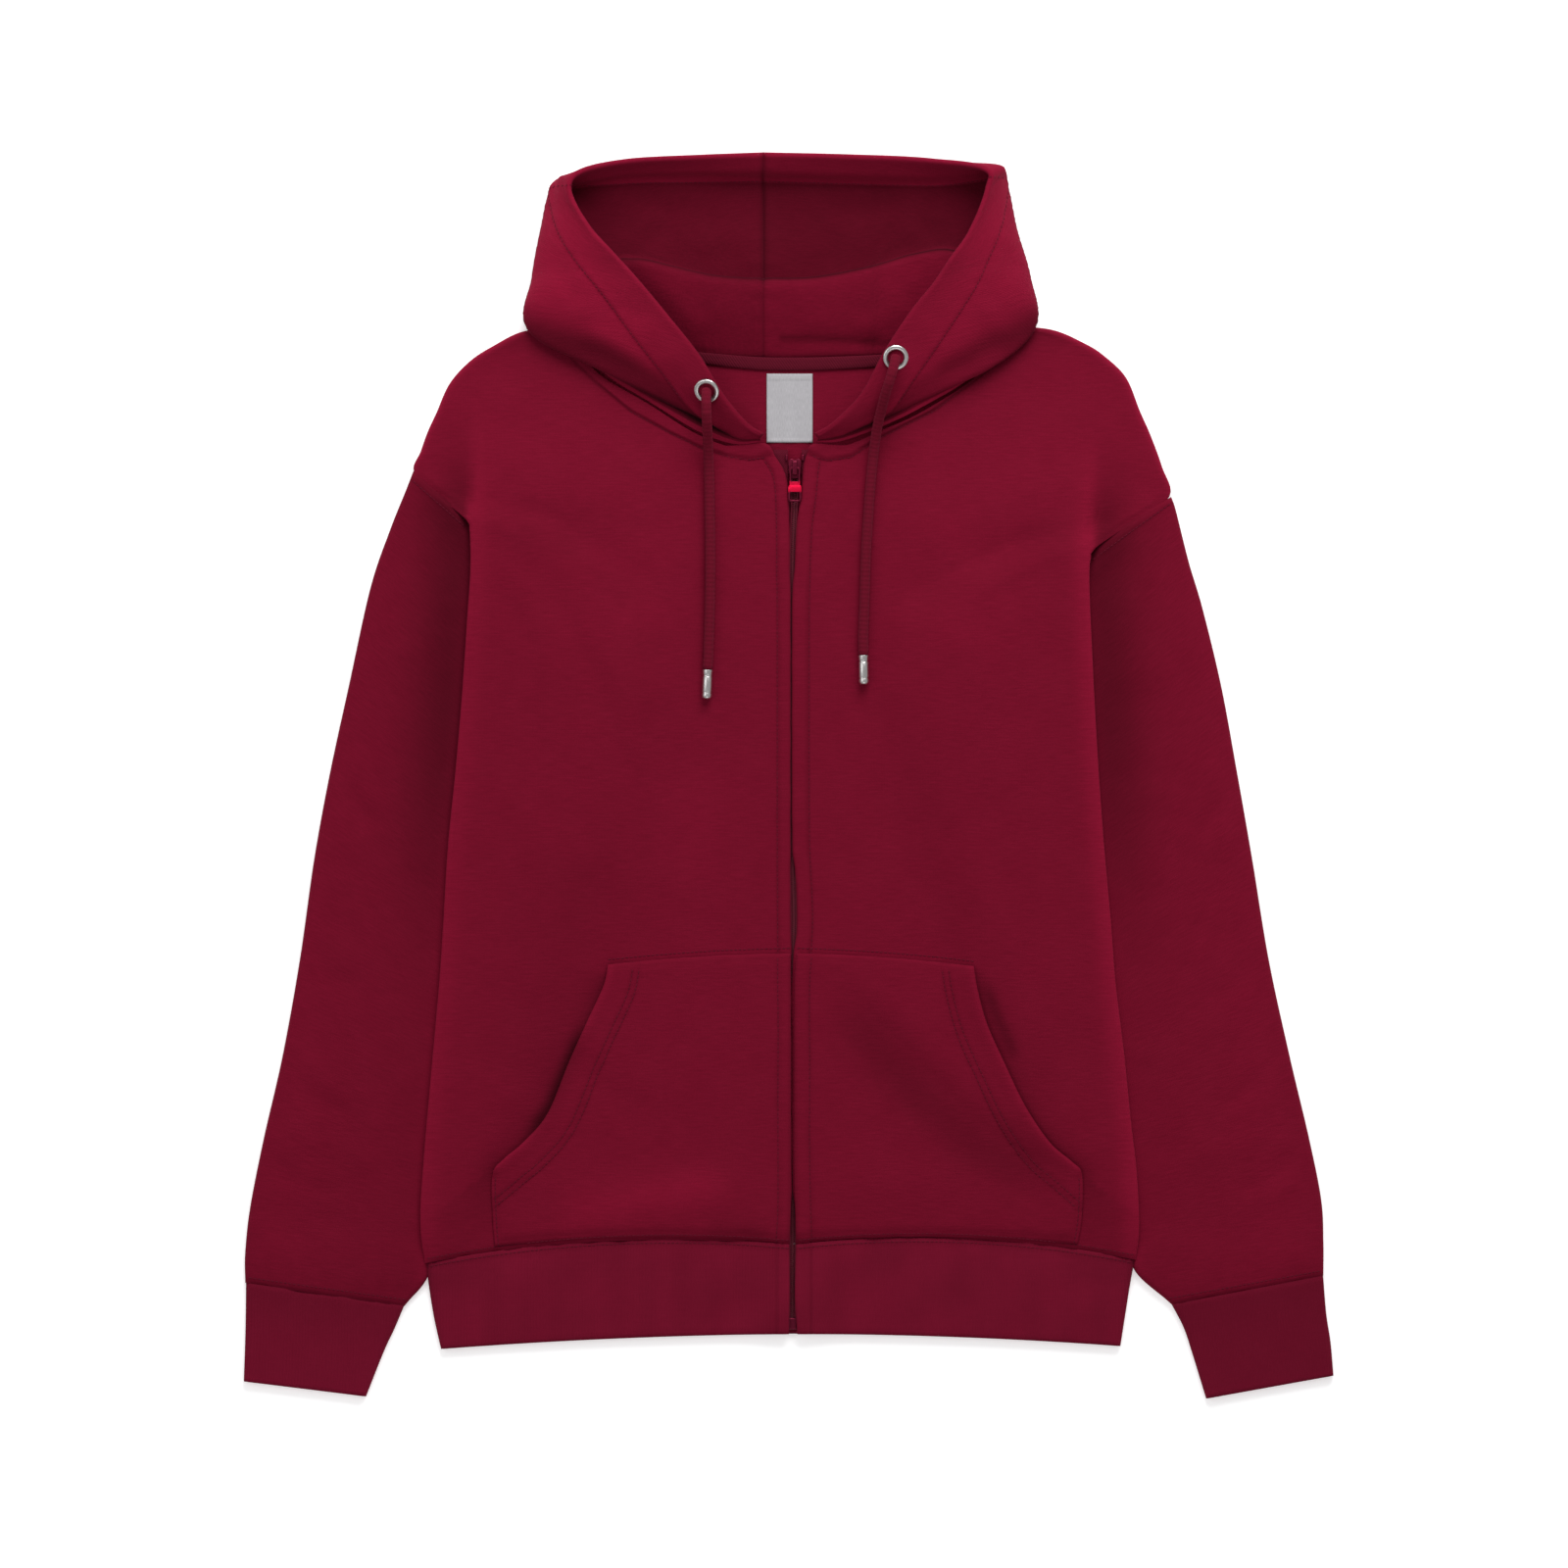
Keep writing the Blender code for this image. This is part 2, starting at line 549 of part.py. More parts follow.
def body_gap(side, x, y):
    fold_x, _, _ = lay_at(side, y)
    gap = BODY_GAP + FOLD_GAP * math.exp(-((x - fold_x) / 16) ** 2)
    gap += ZIP_GAP * math.exp(-((x - zip_at(y)[0]) / 24) ** 2)
    gap += ZIP_TOP_GAP * math.exp(-((x - SLIDER_X) / 30) ** 2) * smooth_step((y - 175) / 20)
    gap += fold_height(BODY_FOLDS, x, y)
    return min(max(gap, LEAST_GAP), MOST_GAP)


def front_top(side, x, y):
    return back_bottom(side, x, y) + body_gap(side, x, y) + 2 * WALL


# ============================ body panels ====================================================

def row_point(row, lay, reach):
    """A point of a front's row, reach from its side fold, with the row's bow."""
    span_x, span_y = row.zip_x - row.out_x, row.zip_y - row.out_y
    part = reach / math.hypot(span_x, span_y)
    return (row.out_x + span_x * part, row.out_y + span_y * part + lay.bow * 4 * part * (1 - part))


def shelf_reaches(lay, length):
    """Reaches from the side fold that follow the shelf on the sleeve and its slope."""
    if length < SHORT_ROW:
        return [lerp(EDGE_ROLL, 0.43 * length, part / 6) for part in range(1, 7)]
    first = [EDGE_ROLL + 4, 0.5 * lay.shelf + 8, lay.shelf + 6]
    first += [lay.shelf + part * SHELF_RUN for part in (0.35, 0.65, 1.05)]
    return sorted(first)


def rolled_edge(row, lay, side, upper):
    """Outer and inner points round one half of the side fold, from the side seam inwards."""
    x, y = row_point(row, lay, EDGE_ROLL)
    bottom = back_bottom(side, x, y)
    top = front_top(side, x, y)
    seam_z = 0.5 * (back_bottom(side, row.out_x, row.out_y) + front_top(side, row.out_x, row.out_y))
    middle = seam_z + (0.5 * SEAM if upper else -0.5 * SEAM)
    face = top if upper else bottom
    inward = -WALL if upper else WALL
    outer, inner = [], []
    for angle in ROLL_ANGLES:
        turn, rise = 1 - math.cos(math.radians(angle)), math.sin(math.radians(angle))
        out_x, out_y = row_point(row, lay, EDGE_ROLL * turn)
        in_x, in_y = row_point(row, lay, lerp(EDGE_ROLL * turn, WALL + (EDGE_ROLL - WALL) * turn,
                                              lay.rolled))
        out_z = lerp(face, lerp(middle, face, rise), lay.rolled)
        in_z = lerp(face + inward, lerp(middle, face + inward, rise), lay.rolled)
        outer.append((out_x, out_y, out_z))
        inner.append((in_x, in_y, in_z))
    return outer, inner


def front_panel(side, name):
    upper, lower = [], []
    for row, lay in zip(body_rows(side), LAYS):
        outer, inner = rolled_edge(row, lay, side, True)
        length = math.hypot(row.zip_x - row.out_x, row.zip_y - row.out_y)
        places = shelf_reaches(lay, length)
        parts = FRONT_PARTS if length > SHORT_ROW else EVEN_PARTS
        places += [lerp(places[-1], length, part) for part in parts]
        for reach in places:
            x, y = row_point(row, lay, reach)
            z = front_top(side, x, y)
            outer.append((x, y, z))
            inner.append((x, y, z - WALL))
        upper.append(outer)
        lower.append(inner)
    shell(name, upper, lower, FLEECE)


def back_row_half(side, row, lay, middle_y, power):
    """Half a row of the back, from the side seam to the middle of the body."""
    half_row = row._replace(zip_x=0.0, zip_y=row.out_y)
    level = lay._replace(bow=0)
    width = abs(row.out_x)
    outer, inner = rolled_edge(half_row, level, side, False)
    places = shelf_reaches(lay, width)
    places += [lerp(places[-1], width, part) for part in BACK_PARTS]
    for place in places:
        outer.append((*row_point(half_row, level, place), None))
        inner.append(outer[-1])

    def bend(point, rise):
        x, y, z = point
        across = min(abs(x / row.out_x), 1)
        part = 1 - across
        y = lerp(middle_y, y, across ** power) + lay.bow * 4 * part * (1 - part)
        return (x, y, back_bottom(side, x, y) + rise if z is None else z)

    return [bend(point, 0) for point in outer], [bend(point, WALL) for point in inner]


def back_panel():
    lower, upper = [], []
    first_neck = len(LAYS) - len(BACK_NECK_SAG)
    for k, (right, left, lay) in enumerate(zip(RIGHT_ROWS, LEFT_ROWS, LAYS)):
        if k < first_neck:
            middle_y, power = 0.5 * (right.zip_y + left.zip_y), 1
        else:
            middle_y = 0.5 * (right.out_y + left.out_y) - BACK_NECK_SAG[k - first_neck]
            power = BACK_NECK_POWER
        right_outer, right_inner = back_row_half(-1, right, lay, middle_y, power)
        left_outer, left_inner = back_row_half(1, left, lay, middle_y, power)
        lower.append(right_outer + left_outer[-2::-1])
        upper.append(right_inner + left_inner[-2::-1])
    shell("back_panel", upper, lower, FLEECE)


# ============================ sleeves and cuffs ==============================================

def tube_section(ring, height, wall, folds):
    """Outer and inner points round a flattened tube, at one ring."""
    ends = (-60, -20, 20, 60)
    flats = (0.0, 0.12, 0.28, 0.46, 0.64, 0.82, 1.0)
    span = math.hypot(ring.in_x - ring.out_x, ring.in_y - ring.out_y)
    along = ((ring.in_x - ring.out_x) / span, (ring.in_y - ring.out_y) / span)
    roll = 0.62 * height
    outer, inner = [], []

    def place(points, reach, z):
        bow = math.copysign(ring.bow, along[0]) * 4 * reach / span * (1 - reach / span)
        points.append((ring.out_x + along[0] * reach - along[1] * bow,
                       ring.out_y + along[1] * reach + along[0] * bow, z))

    def rise(reach):
        x, y = ring.out_x + along[0] * reach, ring.out_y + along[1] * reach
        edge = smooth_step(reach / 18) * smooth_step((span - reach) / 18)
        return fold_height(folds, x, y) * edge

    inside_roll = roll - wall
    for angle in ends:
        turn, lift = math.cos(math.radians(angle)), math.sin(math.radians(angle))
        place(outer, roll * (1 - turn), 0.5 * height * (1 + lift))
        place(inner, wall + inside_roll * (1 - turn), 0.5 * height + (0.5 * height - wall) * lift)
    for part in flats:
        reach = lerp(roll, span - roll, part)
        place(outer, reach, height + rise(reach))
        place(inner, reach, height + rise(reach) - wall)
    for angle in reversed(ends):
        turn, lift = math.cos(math.radians(angle)), math.sin(math.radians(angle))
        place(outer, span - roll * (1 - turn), 0.5 * height * (1 + lift))
        place(inner, span - wall - inside_roll * (1 - turn),
              0.5 * height + (0.5 * height - wall) * lift)
    for part in reversed(flats):
        reach = lerp(roll, span - roll, part)
        place(outer, reach, 0.0)
        place(inner, reach, wall)
    return outer, inner


def tube(name, rings, height, wall, folds, look):
    outers, inners = [], []
    for ring in rings:
        outer, inner = tube_section(ring, height, wall, folds)
        outers.append(outer)
        inners.append(inner)
    shell(name, outers, inners, look, tube=True)


# ============================ hem band =======================================================

def band_half(row, side):
    """Outer and inner points of one half of the band, from its front edge to the middle back."""
    edge_x = row.left_x if side > 0 else row.right_x
    edge_y = row.left_y if side > 0 else row.right_y
    zip_x = row.zip_left_x if side > 0 else row.zip_right_x
    length = abs(edge_x - zip_x)

    def place(x):
        part = min(abs(x - zip_x) / length, 1)
        return lerp(row.zip_y, edge_y, part) + row.bow * 4 * part * (1 - part)

    def thickness(x):
        gap = BAND_GAP + 3.0 * math.exp(-((x - zip_x) / 22) ** 2)
        return 2 * RIB_WALL + gap

    outer, inner = [], []
    for part in (0, 0.03, 0.07, 0.13, 0.25, 0.45, 0.7, 0.9):
        x = lerp(zip_x, edge_x - side * EDGE_ROLL, part)
        outer.append((x, place(x), thickness(x)))
        inner.append((x, place(x), thickness(x) - RIB_WALL))
    height = thickness(edge_x)
    for angle in (75, 40, 0, -40, -75):
        turn, lift = 1 - math.cos(math.radians(angle)), math.sin(math.radians(angle))
        x = edge_x - side * EDGE_ROLL * turn
        outer.append((x, place(x), 0.5 * height * (1 + lift)))
        x = edge_x - side * (RIB_WALL + (EDGE_ROLL - RIB_WALL) * turn)
        inner.append((x, place(x), 0.5 * height + (0.5 * height - RIB_WALL) * lift))
    for part in (0.9, 0.6, 0.3, 0):
        x = lerp(zip_x, edge_x - side * EDGE_ROLL, part)
        outer.append((x, place(x), 0.0))
        inner.append((x, place(x), RIB_WALL))
    return outer, inner


def hem_band():
    uppers, lowers = [], []
    for row in BAND_ROWS:
        right_outer, right_inner = band_half(row, -1)
        left_outer, left_inner = band_half(row, 1)
        uppers.append(right_outer + left_outer[::-1])
        lowers.append(right_inner + left_inner[::-1])
    shell("waistband", uppers, lowers, RIBBING)


# ============================ hood ===========================================================

def hood_grid(ribs):
    """Points of the wall's middle: a row for each station, from neck seam to face edge."""
    curves = [catmull([getattr(rib, key) for rib in ribs], STATION_STEPS) for key in HoodRib._fields]
    return np.array([catmull([curve[k] for curve in curves], RIB_STEPS) for k in range(len(curves[0]))])


def wall_normals(grid):
    along = np.gradient(grid, axis=0)
    across = np.gradient(grid, axis=1)
    normals = np.cross(along, across)
    return normals / np.linalg.norm(normals, axis=2, keepdims=True)


def hood_walls(side):
    """Outside and inside points of one half of the hood. Its outside faces down where it lies."""
    grid = hood_grid(LEFT_HOOD if side > 0 else RIGHT_HOOD)
    normals = wall_normals(grid) * side
    thickness = np.full(grid.shape[1], WALL)
    thickness[-HEM_STEPS - 1:] = np.linspace(WALL, HEM_WALL, HEM_STEPS + 2)[1:]
    half = 0.5 * thickness[None, :, None]
    return grid + normals * half, grid - normals * half


def hood_half(side, name):
    outside, inside = hood_walls(side)
    shell(name, outside, inside, FLEECE)


def hood_folded_back():
    """The hood's back, folded up on itself under the crest: one rounded solid on the floor."""
    halves = []
    for side in (-1, 1):
        ribs = LEFT_HOOD if side > 0 else RIGHT_HOOD
        grid = hood_grid(ribs)
        under = grid + wall_normals(grid) * side * (0.5 * WALL + FOLD_LAID)
        half = under[sum(STATION_STEPS[:FOLD_FIRST_RIB]):, :sum(RIB_STEPS[:2]) + 1]
        half[:len(FOLD_END_RISE), :, 2] *= np.array(FOLD_END_RISE)[:, None]
        halves.append(half)
    top = np.concatenate([halves[0], halves[1][::-1]])
    top[..., 2] = np.maximum(top[..., 2], FOLD_EDGE)
    bottom = top.copy()
    bottom[..., 2] = 0.0
    shell("hood_folded_back", top, bottom, FLEECE)


# ============================ pockets, tape and label =========================================

def pocket(side, name, rows):
    uppers, lowers = [], []
    for row in rows:
        upper, lower = [], []
        for part in POCKET_COLUMNS:
            x = lerp(row.out_x, row.zip_x, part)
            y = lerp(row.out_y, row.zip_y, part) + row.bow * 4 * part * (1 - part)
            mouth = POCKET_MOUTH_LIFT * math.exp(-(part / 0.12) ** 2) * smooth_step((y + 300) / 40)
            z = front_top(side, x, y) + POCKET_LAID + mouth
            lower.append((x, y, z))
            upper.append((x, y, z + WALL))
        uppers.append(upper)
        lowers.append(lower)
    shell(name, uppers, lowers, FLEECE)


def back_neck_y(x):
    right, left = RIGHT_ROWS[-1], LEFT_ROWS[-1]
    across = min(abs(x / (left.out_x if x > 0 else right.out_x)), 1)
    return 0.5 * (right.out_y + left.out_y) - BACK_NECK_SAG[-1] * (1 - across ** BACK_NECK_POWER)


def neck_tape():
    uppers, lowers = [], []
    for x in np.linspace(-TAPE_HALF_LENGTH, TAPE_HALF_LENGTH, 15):
        seam = back_neck_y(x)
        low_y, high_y = seam - 0.55 * TAPE_WIDTH, seam + 0.45 * TAPE_WIDTH
        low_z, high_z = WALL + LAID + 0.4, WALL + LAID + 2.6
        lowers.append([(x, low_y, low_z), (x, seam, low_z + 0.4), (x, high_y, high_z)])
        uppers.append([(px, py, pz + TAPE_THICKNESS) for px, py, pz in lowers[-1]])
    shell("neck_tape", uppers, lowers, RIBBING)


def neck_label():
    top_y = LABEL_BOTTOM_Y + LABEL_HEIGHT
    uppers, lowers = [], []
    for part in np.linspace(0, 1, 7):
        y = lerp(LABEL_BOTTOM_Y, top_y, part)
        z = WALL + LAID + 0.3 * math.sin(math.pi * part)
        row = [(LABEL_CENTRE_X + dx, y, z) for dx in (-0.5 * LABEL_WIDTH, 0, 0.5 * LABEL_WIDTH)]
        lowers.append(row)
        uppers.append([(x, py, pz + LABEL_THICKNESS) for x, py, pz in row])
    shell("neck_label", uppers, lowers, LABEL_GREY)


# ============================ zip =============================================================

def box(name, centre, size, look):
    half = [0.5 * s for s in size]
    corners = [(centre[0] + dx * half[0], centre[1] + dy * half[1], centre[2] + dz * half[2])
               for dz in (-1, 1) for dy in (-1, 1) for dx in (-1, 1)]
    faces = [(0, 2, 3, 1), (4, 5, 7, 6), (0, 1, 5, 4), (2, 6, 7, 3), (0, 4, 6, 2), (1, 3, 7, 5)]
    made = add_mesh(name, corners, faces, look, smooth=False)
    bevel = made.modifiers.new("Rounded", "BEVEL")
    bevel.width = 0.12 * min(size) * MM
    bevel.segments = 2
    return made


def zip_chain():
    uppers, lowers = [], []
    for point in ZIP_PATH[:-1] + [ZIP_PATH[-1]._replace(y=SLIDER_BOTTOM_Y - SEAM)]:
        row = [(point.x + dx, point.y, point.z) for dx in (-0.5 * CHAIN_WIDTH, 0.5 * CHAIN_WIDTH)]
        lowers.append(row)
        uppers.append([(x, y, z + CHAIN_HEIGHT) for x, y, z in row])
    shell("zip_chain", uppers, lowers, TEETH)


def zip_tape(side, name):
    """A tape from the box to just above the slider, with its inner edge beside the chain."""
    uppers, lowers = [], []
    ys = [point.y for point in ZIP_PATH] + [ZIP_TAPE_TOP_Y - 8, ZIP_TAPE_TOP_Y]
    for y in ys:
        x, z = zip_at(y)
        inner = 0.5 * CHAIN_WIDTH + SEAM
        if y > SLIDER_BOTTOM_Y - 8:
            inner = 0.5 * SLIDER_WIDTH + SEAM
        z += 0.5 * (CHAIN_HEIGHT - ZIP_TAPE_THICKNESS)
        row = [(x + side * inner, y, z), (x + side * TAPE_REACH, y, z)]
        lowers.append(row)
        uppers.append([(px, py, pz + ZIP_TAPE_THICKNESS) for px, py, pz in row])
    shell(name, uppers, lowers, ZIP_CLOTH)


def extrude_profile(name, outline, x, width, look):
    """A closed (y, z) outline, drawn out along X about x."""
    count = len(outline)
    points = [(x - 0.5 * width, y, z) for y, z in outline]
    points += [(x + 0.5 * width, y, z) for y, z in outline]
    faces = [tuple(range(count)), tuple(range(2 * count - 1, count - 1, -1))]
    faces += [(i, count + i, count + (i + 1) % count, (i + 1) % count) for i in range(count)]
    return add_mesh(name, points, faces, look, smooth=False)


def slider():
    """The body wraps the chain's end, and the bridge over it holds the pull's pin."""
    low = ZIP_PATH[-1].z - 0.3 - SLIDER_PLATE
    inside_low, inside_high = low + SLIDER_PLATE, ZIP_PATH[-1].z + CHAIN_HEIGHT + 0.3
    high = inside_high + SLIDER_PLATE
    y0, y1 = SLIDER_BOTTOM_Y, SLIDER_BOTTOM_Y + SLIDER_LENGTH
    body = extrude_profile(
        "zip_slider",
        [(y0, low), (y1 - 2, low), (y1, low + 0.8), (y1, high - 0.8), (y1 - 2, high), (y0, high),
         (y0, inside_high), (y0 + 5, inside_high), (y0 + 5, inside_low), (y0, inside_low)],
        SLIDER_X, SLIDER_WIDTH, LACQUER)
    b0, b1 = y0 + 2.0, y1 - 1.2
    window = PIN_Z + 0.5 * PULL_THICKNESS + 0.3
    roof = window + BRIDGE_PLATE
    bridge = extrude_profile(
        "slider_bridge",
        [(b0, high - 0.4), (b0 + 1.2, high - 0.4), (b0 + 1.2, window), (b1 - 1.4, window),
         (b1 - 1.4, high - 0.4), (b1, high - 0.4), (b1, roof - 0.7), (b1 - 0.8, roof),
         (b0 + 0.8, roof), (b0, roof - 0.7)],
        SLIDER_X, BRIDGE_WIDTH, LACQUER)
    union = body.modifiers.new("Bridge", "BOOLEAN")
    union.operation = "UNION"
    union.solver = "EXACT"
    union.object = bridge
    bridge.hide_render = True
    bridge.display_type = "WIRE"


def pull():
    """A flat tab with a slot for the bridge and a window near its free end."""
    pivot = bpy.data.objects.new("pull_hinge", None)
    pivot.location = Vector((SLIDER_X, PIN_Y, PIN_Z)) * MM
    bpy.context.scene.collection.objects.link(pivot)
    head, foot = 0.5 * PULL_HEAD_WIDTH, 0.5 * PULL_FOOT_WIDTH
    half = 0.5 * PULL_THICKNESS
    outline = [(-head + 0.8, 0.8), (head - 0.8, 0.8), (head, 0), (head, -13), (foot, -17),
               (foot, 1.8 - PULL_LENGTH), (foot - 1.4, 0.6 - PULL_LENGTH),
               (1.4 - foot, 0.6 - PULL_LENGTH), (-foot, 1.8 - PULL_LENGTH), (-foot, -17),
               (-head, -13), (-head, 0)]
    count = len(outline)
    points = [(x, y, -half) for x, y in outline] + [(x, y, half) for x, y in outline]
    faces = [tuple(range(count)), tuple(range(2 * count - 1, count - 1, -1))]
    faces += [(i, count + i, count + (i + 1) % count, (i + 1) % count) for i in range(count)]
    tab = add_mesh("zip_pull", points, faces, LACQUER, smooth=False)
    tab.parent = pivot
    for name, low, high, width in (("slot", -9.2, -0.75, 5.0), ("window", -22.0, -16.6, 6.2)):
        cutter = box("pull_" + name, (0, 0.5 * (low + high), 0), (width, high - low, 6), LACQUER)
        cutter.parent = pivot
        cutter.hide_render = True
        cutter.display_type = "WIRE"
        cut = tab.modifiers.new(name, "BOOLEAN")
        cut.operation = "DIFFERENCE"
        cut.solver = "EXACT"
        cut.object = cutter


def zip_hardware():
    x, z = zip_at(ZIP_PATH[0].y)
    box("zip_box", (x, ZIP_PATH[0].y - 0.5 * BOX_SIZE[1] - SEAM, z + 0.5 * CHAIN_HEIGHT), BOX_SIZE,
        LACQUER)
    top_y = SLIDER_BOTTOM_Y + SLIDER_LENGTH - 2
    top_x, top_z = zip_at(top_y)
    for side, name in ((-1, "zip_stop_right"), (1, "zip_stop_left")):
        x = top_x + side * (0.5 * SLIDER_WIDTH + SEAM + 0.5 * STOP_SIZE[0])
        lift = top_z + 0.5 * CHAIN_HEIGHT + 0.5 * ZIP_TAPE_THICKNESS + LAID + 0.5 * STOP_SIZE[2]
        box(name, (x, top_y + 2.5, lift), STOP_SIZE, LACQUER)


# ============================ eyelets and cords ================================================

def eyelet_frame(eyelet):
    normal = Vector((-eyelet.slope_x, -eyelet.slope_y, 1)).normalized()
    return Vector((eyelet.x, eyelet.y, eyelet.z)), normal


def eyelet_ring(name, eyelet):
    """A turned metal ring, lying on the hood's slope."""
    centre, normal = eyelet_frame(eyelet)
    turn = normal.to_track_quat("Z", "Y")
    high, low = 0.5 * EYELET_HEIGHT, -0.5 * EYELET_HEIGHT
    profile = [(EYELET_OUTER, low), (EYELET_OUTER, 0.1), (EYELET_OUTER - 1.2, high),
               (EYELET_INNER + 0.9, high), (EYELET_INNER, 0.1), (EYELET_INNER, low)]
    points, faces = [], []
    around = 24
    for k in range(around):
        angle = 2 * math.pi * k / around
        for radius, z in profile:
            point = Vector((radius * math.cos(angle), radius * math.sin(angle), z))
            points.append(tuple(turn @ point + centre))
    size = len(profile)
    for k in range(around):
        for i in range(size):
            a, b = k * size + i, k * size + (i + 1) % size
            c, d = (k + 1) % around * size + (i + 1) % size, (k + 1) % around * size + i
            faces.append((a, b, c, d))
    add_mesh(name, points, faces, NICKEL)


def route_points(route, count):
    """Evenly spaced points along the smooth curve through a route."""
    curve = catmull(route, [12] * (len(route) - 1))
    steps = np.linalg.norm(np.diff(curve, axis=0), axis=1)
    along = np.concatenate([[0], np.cumsum(steps)])
    places = np.linspace(0, along[-1], count)
    return np.array([[np.interp(place, along, curve[:, axis]) for axis in range(3)] for place in places])


def round_bar(name, points, radius, look):
    curve = bpy.data.curves.new(name, "CURVE")
    curve.dimensions = "3D"
    curve.bevel_depth = radius * MM
    curve.bevel_resolution = 2
    curve.use_fill_caps = True
    spline = curve.splines.new("POLY")
    spline.points.add(len(points) - 1)
    for slot, point in zip(spline.points, points):
        slot.co = (*(np.asarray(point) * MM), 1)
    curve.materials.append(material(name.rsplit("_", 1)[0], look))
    made = bpy.data.objects.new(name, curve)
    bpy.context.scene.collection.objects.link(made)
    return made


def drawcord(side_name, route):
    points = route_points(route, CORD_POINTS)
    round_bar("drawcord_" + side_name, points, CORD_RADIUS, BRAID)
    end = points[-1]
    along = (points[-1] - points[-3]) / np.linalg.norm(points[-1] - points[-3])
    tip = [end + along * (SEAM + TIP_LENGTH * part) for part in (0, 1)]
    round_bar("aglet_" + side_name, tip, TIP_RADIUS, NICKEL)


# ============================ build ===========================================================

def main():
    clear_scene()
    back_panel()
    front_panel(-1, "front_panel_right")
    front_panel(1, "front_panel_left")
    tube("sleeve_right", RIGHT_SLEEVE, SLEEVE_HEIGHT, WALL, SLEEVE_FOLDS, FLEECE)
    tube("sleeve_left", LEFT_SLEEVE, SLEEVE_HEIGHT, WALL, SLEEVE_FOLDS, FLEECE)
    tube("cuff_right", RIGHT_CUFF, CUFF_HEIGHT, RIB_WALL, (), RIBBING)
    tube("cuff_left", LEFT_CUFF, CUFF_HEIGHT, RIB_WALL, (), RIBBING)
    hem_band()
    hood_half(-1, "hood_right")
    hood_half(1, "hood_left")
    hood_folded_back()
    pocket(-1, "pocket_right", RIGHT_POCKET)
    pocket(1, "pocket_left", LEFT_POCKET)
    neck_tape()
    neck_label()
    zip_chain()
    zip_tape(-1, "zip_tape_right")
    zip_tape(1, "zip_tape_left")
    zip_hardware()
    slider()
    pull()
    eyelet_ring("eyelet_right", RIGHT_EYELET)
    eyelet_ring("eyelet_left", LEFT_EYELET)
    drawcord("right", RIGHT_CORD_ROUTE)
    drawcord("left", LEFT_CORD_ROUTE)


main()
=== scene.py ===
import math

import bpy
import numpy as np
from mathutils import Matrix, Vector
from mathutils.bvhtree import BVHTree


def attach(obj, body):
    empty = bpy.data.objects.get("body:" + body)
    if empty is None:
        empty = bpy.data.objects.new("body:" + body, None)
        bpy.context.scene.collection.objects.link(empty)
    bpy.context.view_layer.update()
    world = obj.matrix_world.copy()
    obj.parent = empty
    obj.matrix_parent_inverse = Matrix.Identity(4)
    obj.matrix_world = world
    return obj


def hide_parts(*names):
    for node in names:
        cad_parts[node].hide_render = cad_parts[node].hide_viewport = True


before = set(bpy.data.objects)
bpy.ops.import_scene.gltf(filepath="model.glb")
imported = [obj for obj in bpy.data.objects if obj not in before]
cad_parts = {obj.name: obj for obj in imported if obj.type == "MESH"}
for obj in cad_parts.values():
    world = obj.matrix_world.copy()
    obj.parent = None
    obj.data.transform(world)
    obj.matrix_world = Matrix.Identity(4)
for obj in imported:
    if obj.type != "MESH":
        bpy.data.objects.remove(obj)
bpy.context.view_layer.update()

mm = 0.001
coarse = 1

# lengths are in millimetres up to the point where a mesh is made

# camera, light and floor

view = {
    "centre": (-2.7, -6.1),      # what the picture's middle shows
    "width": 1088.0,             # of the picture, on the garment
    "distance": 6000.0,
    "sensor": 36.0,
}
lamps = {
    "key": {"at": (380, 2080, 1500), "size": 1700, "watts": 62.0},
    "fill": {"at": (-1900, 500, 2300), "size": 1800, "watts": 13.0},
    "low": {"at": (300, -2300, 2300), "size": 1800, "watts": 10.0},
}
sky = {"colour": (1.0, 1.0, 1.0), "strength": 0.36}
floorLook = {"size": 9000.0, "z": -0.05, "colour": (0.93, 0.93, 0.935), "roughness": 0.6,
             "glow": 0.42}


def makeCamera():
    data = bpy.data.cameras.new("camera")
    data.sensor_width = view["sensor"]
    data.lens = view["sensor"] * view["distance"] / view["width"]
    data.clip_start, data.clip_end = 0.1, 30.0
    made = bpy.data.objects.new("camera", data)
    made.location = Vector((*view["centre"], view["distance"] + 10.0)) * mm
    bpy.context.scene.collection.objects.link(made)
    bpy.context.scene.camera = made


def makeLights():
    for name, lamp in lamps.items():
        data = bpy.data.lights.new(name, "AREA")
        data.energy = lamp["watts"]
        data.size = lamp["size"] * mm
        made = bpy.data.objects.new(name, data)
        made.location = Vector(lamp["at"]) * mm
        made.rotation_euler = (-made.location).to_track_quat("-Z", "Y").to_euler()
        bpy.context.scene.collection.objects.link(made)
    world = bpy.data.worlds.new("sky")
    world.use_nodes = True
    ground = world.node_tree.nodes["Background"]
    ground.inputs["Color"].default_value = (*sky["colour"], 1)
    ground.inputs["Strength"].default_value = sky["strength"]
    bpy.context.scene.world = world
    bpy.context.scene.view_settings.view_transform = "Standard"


makeCamera()
makeLights()
print("camera and lights are in place")

# shader helpers


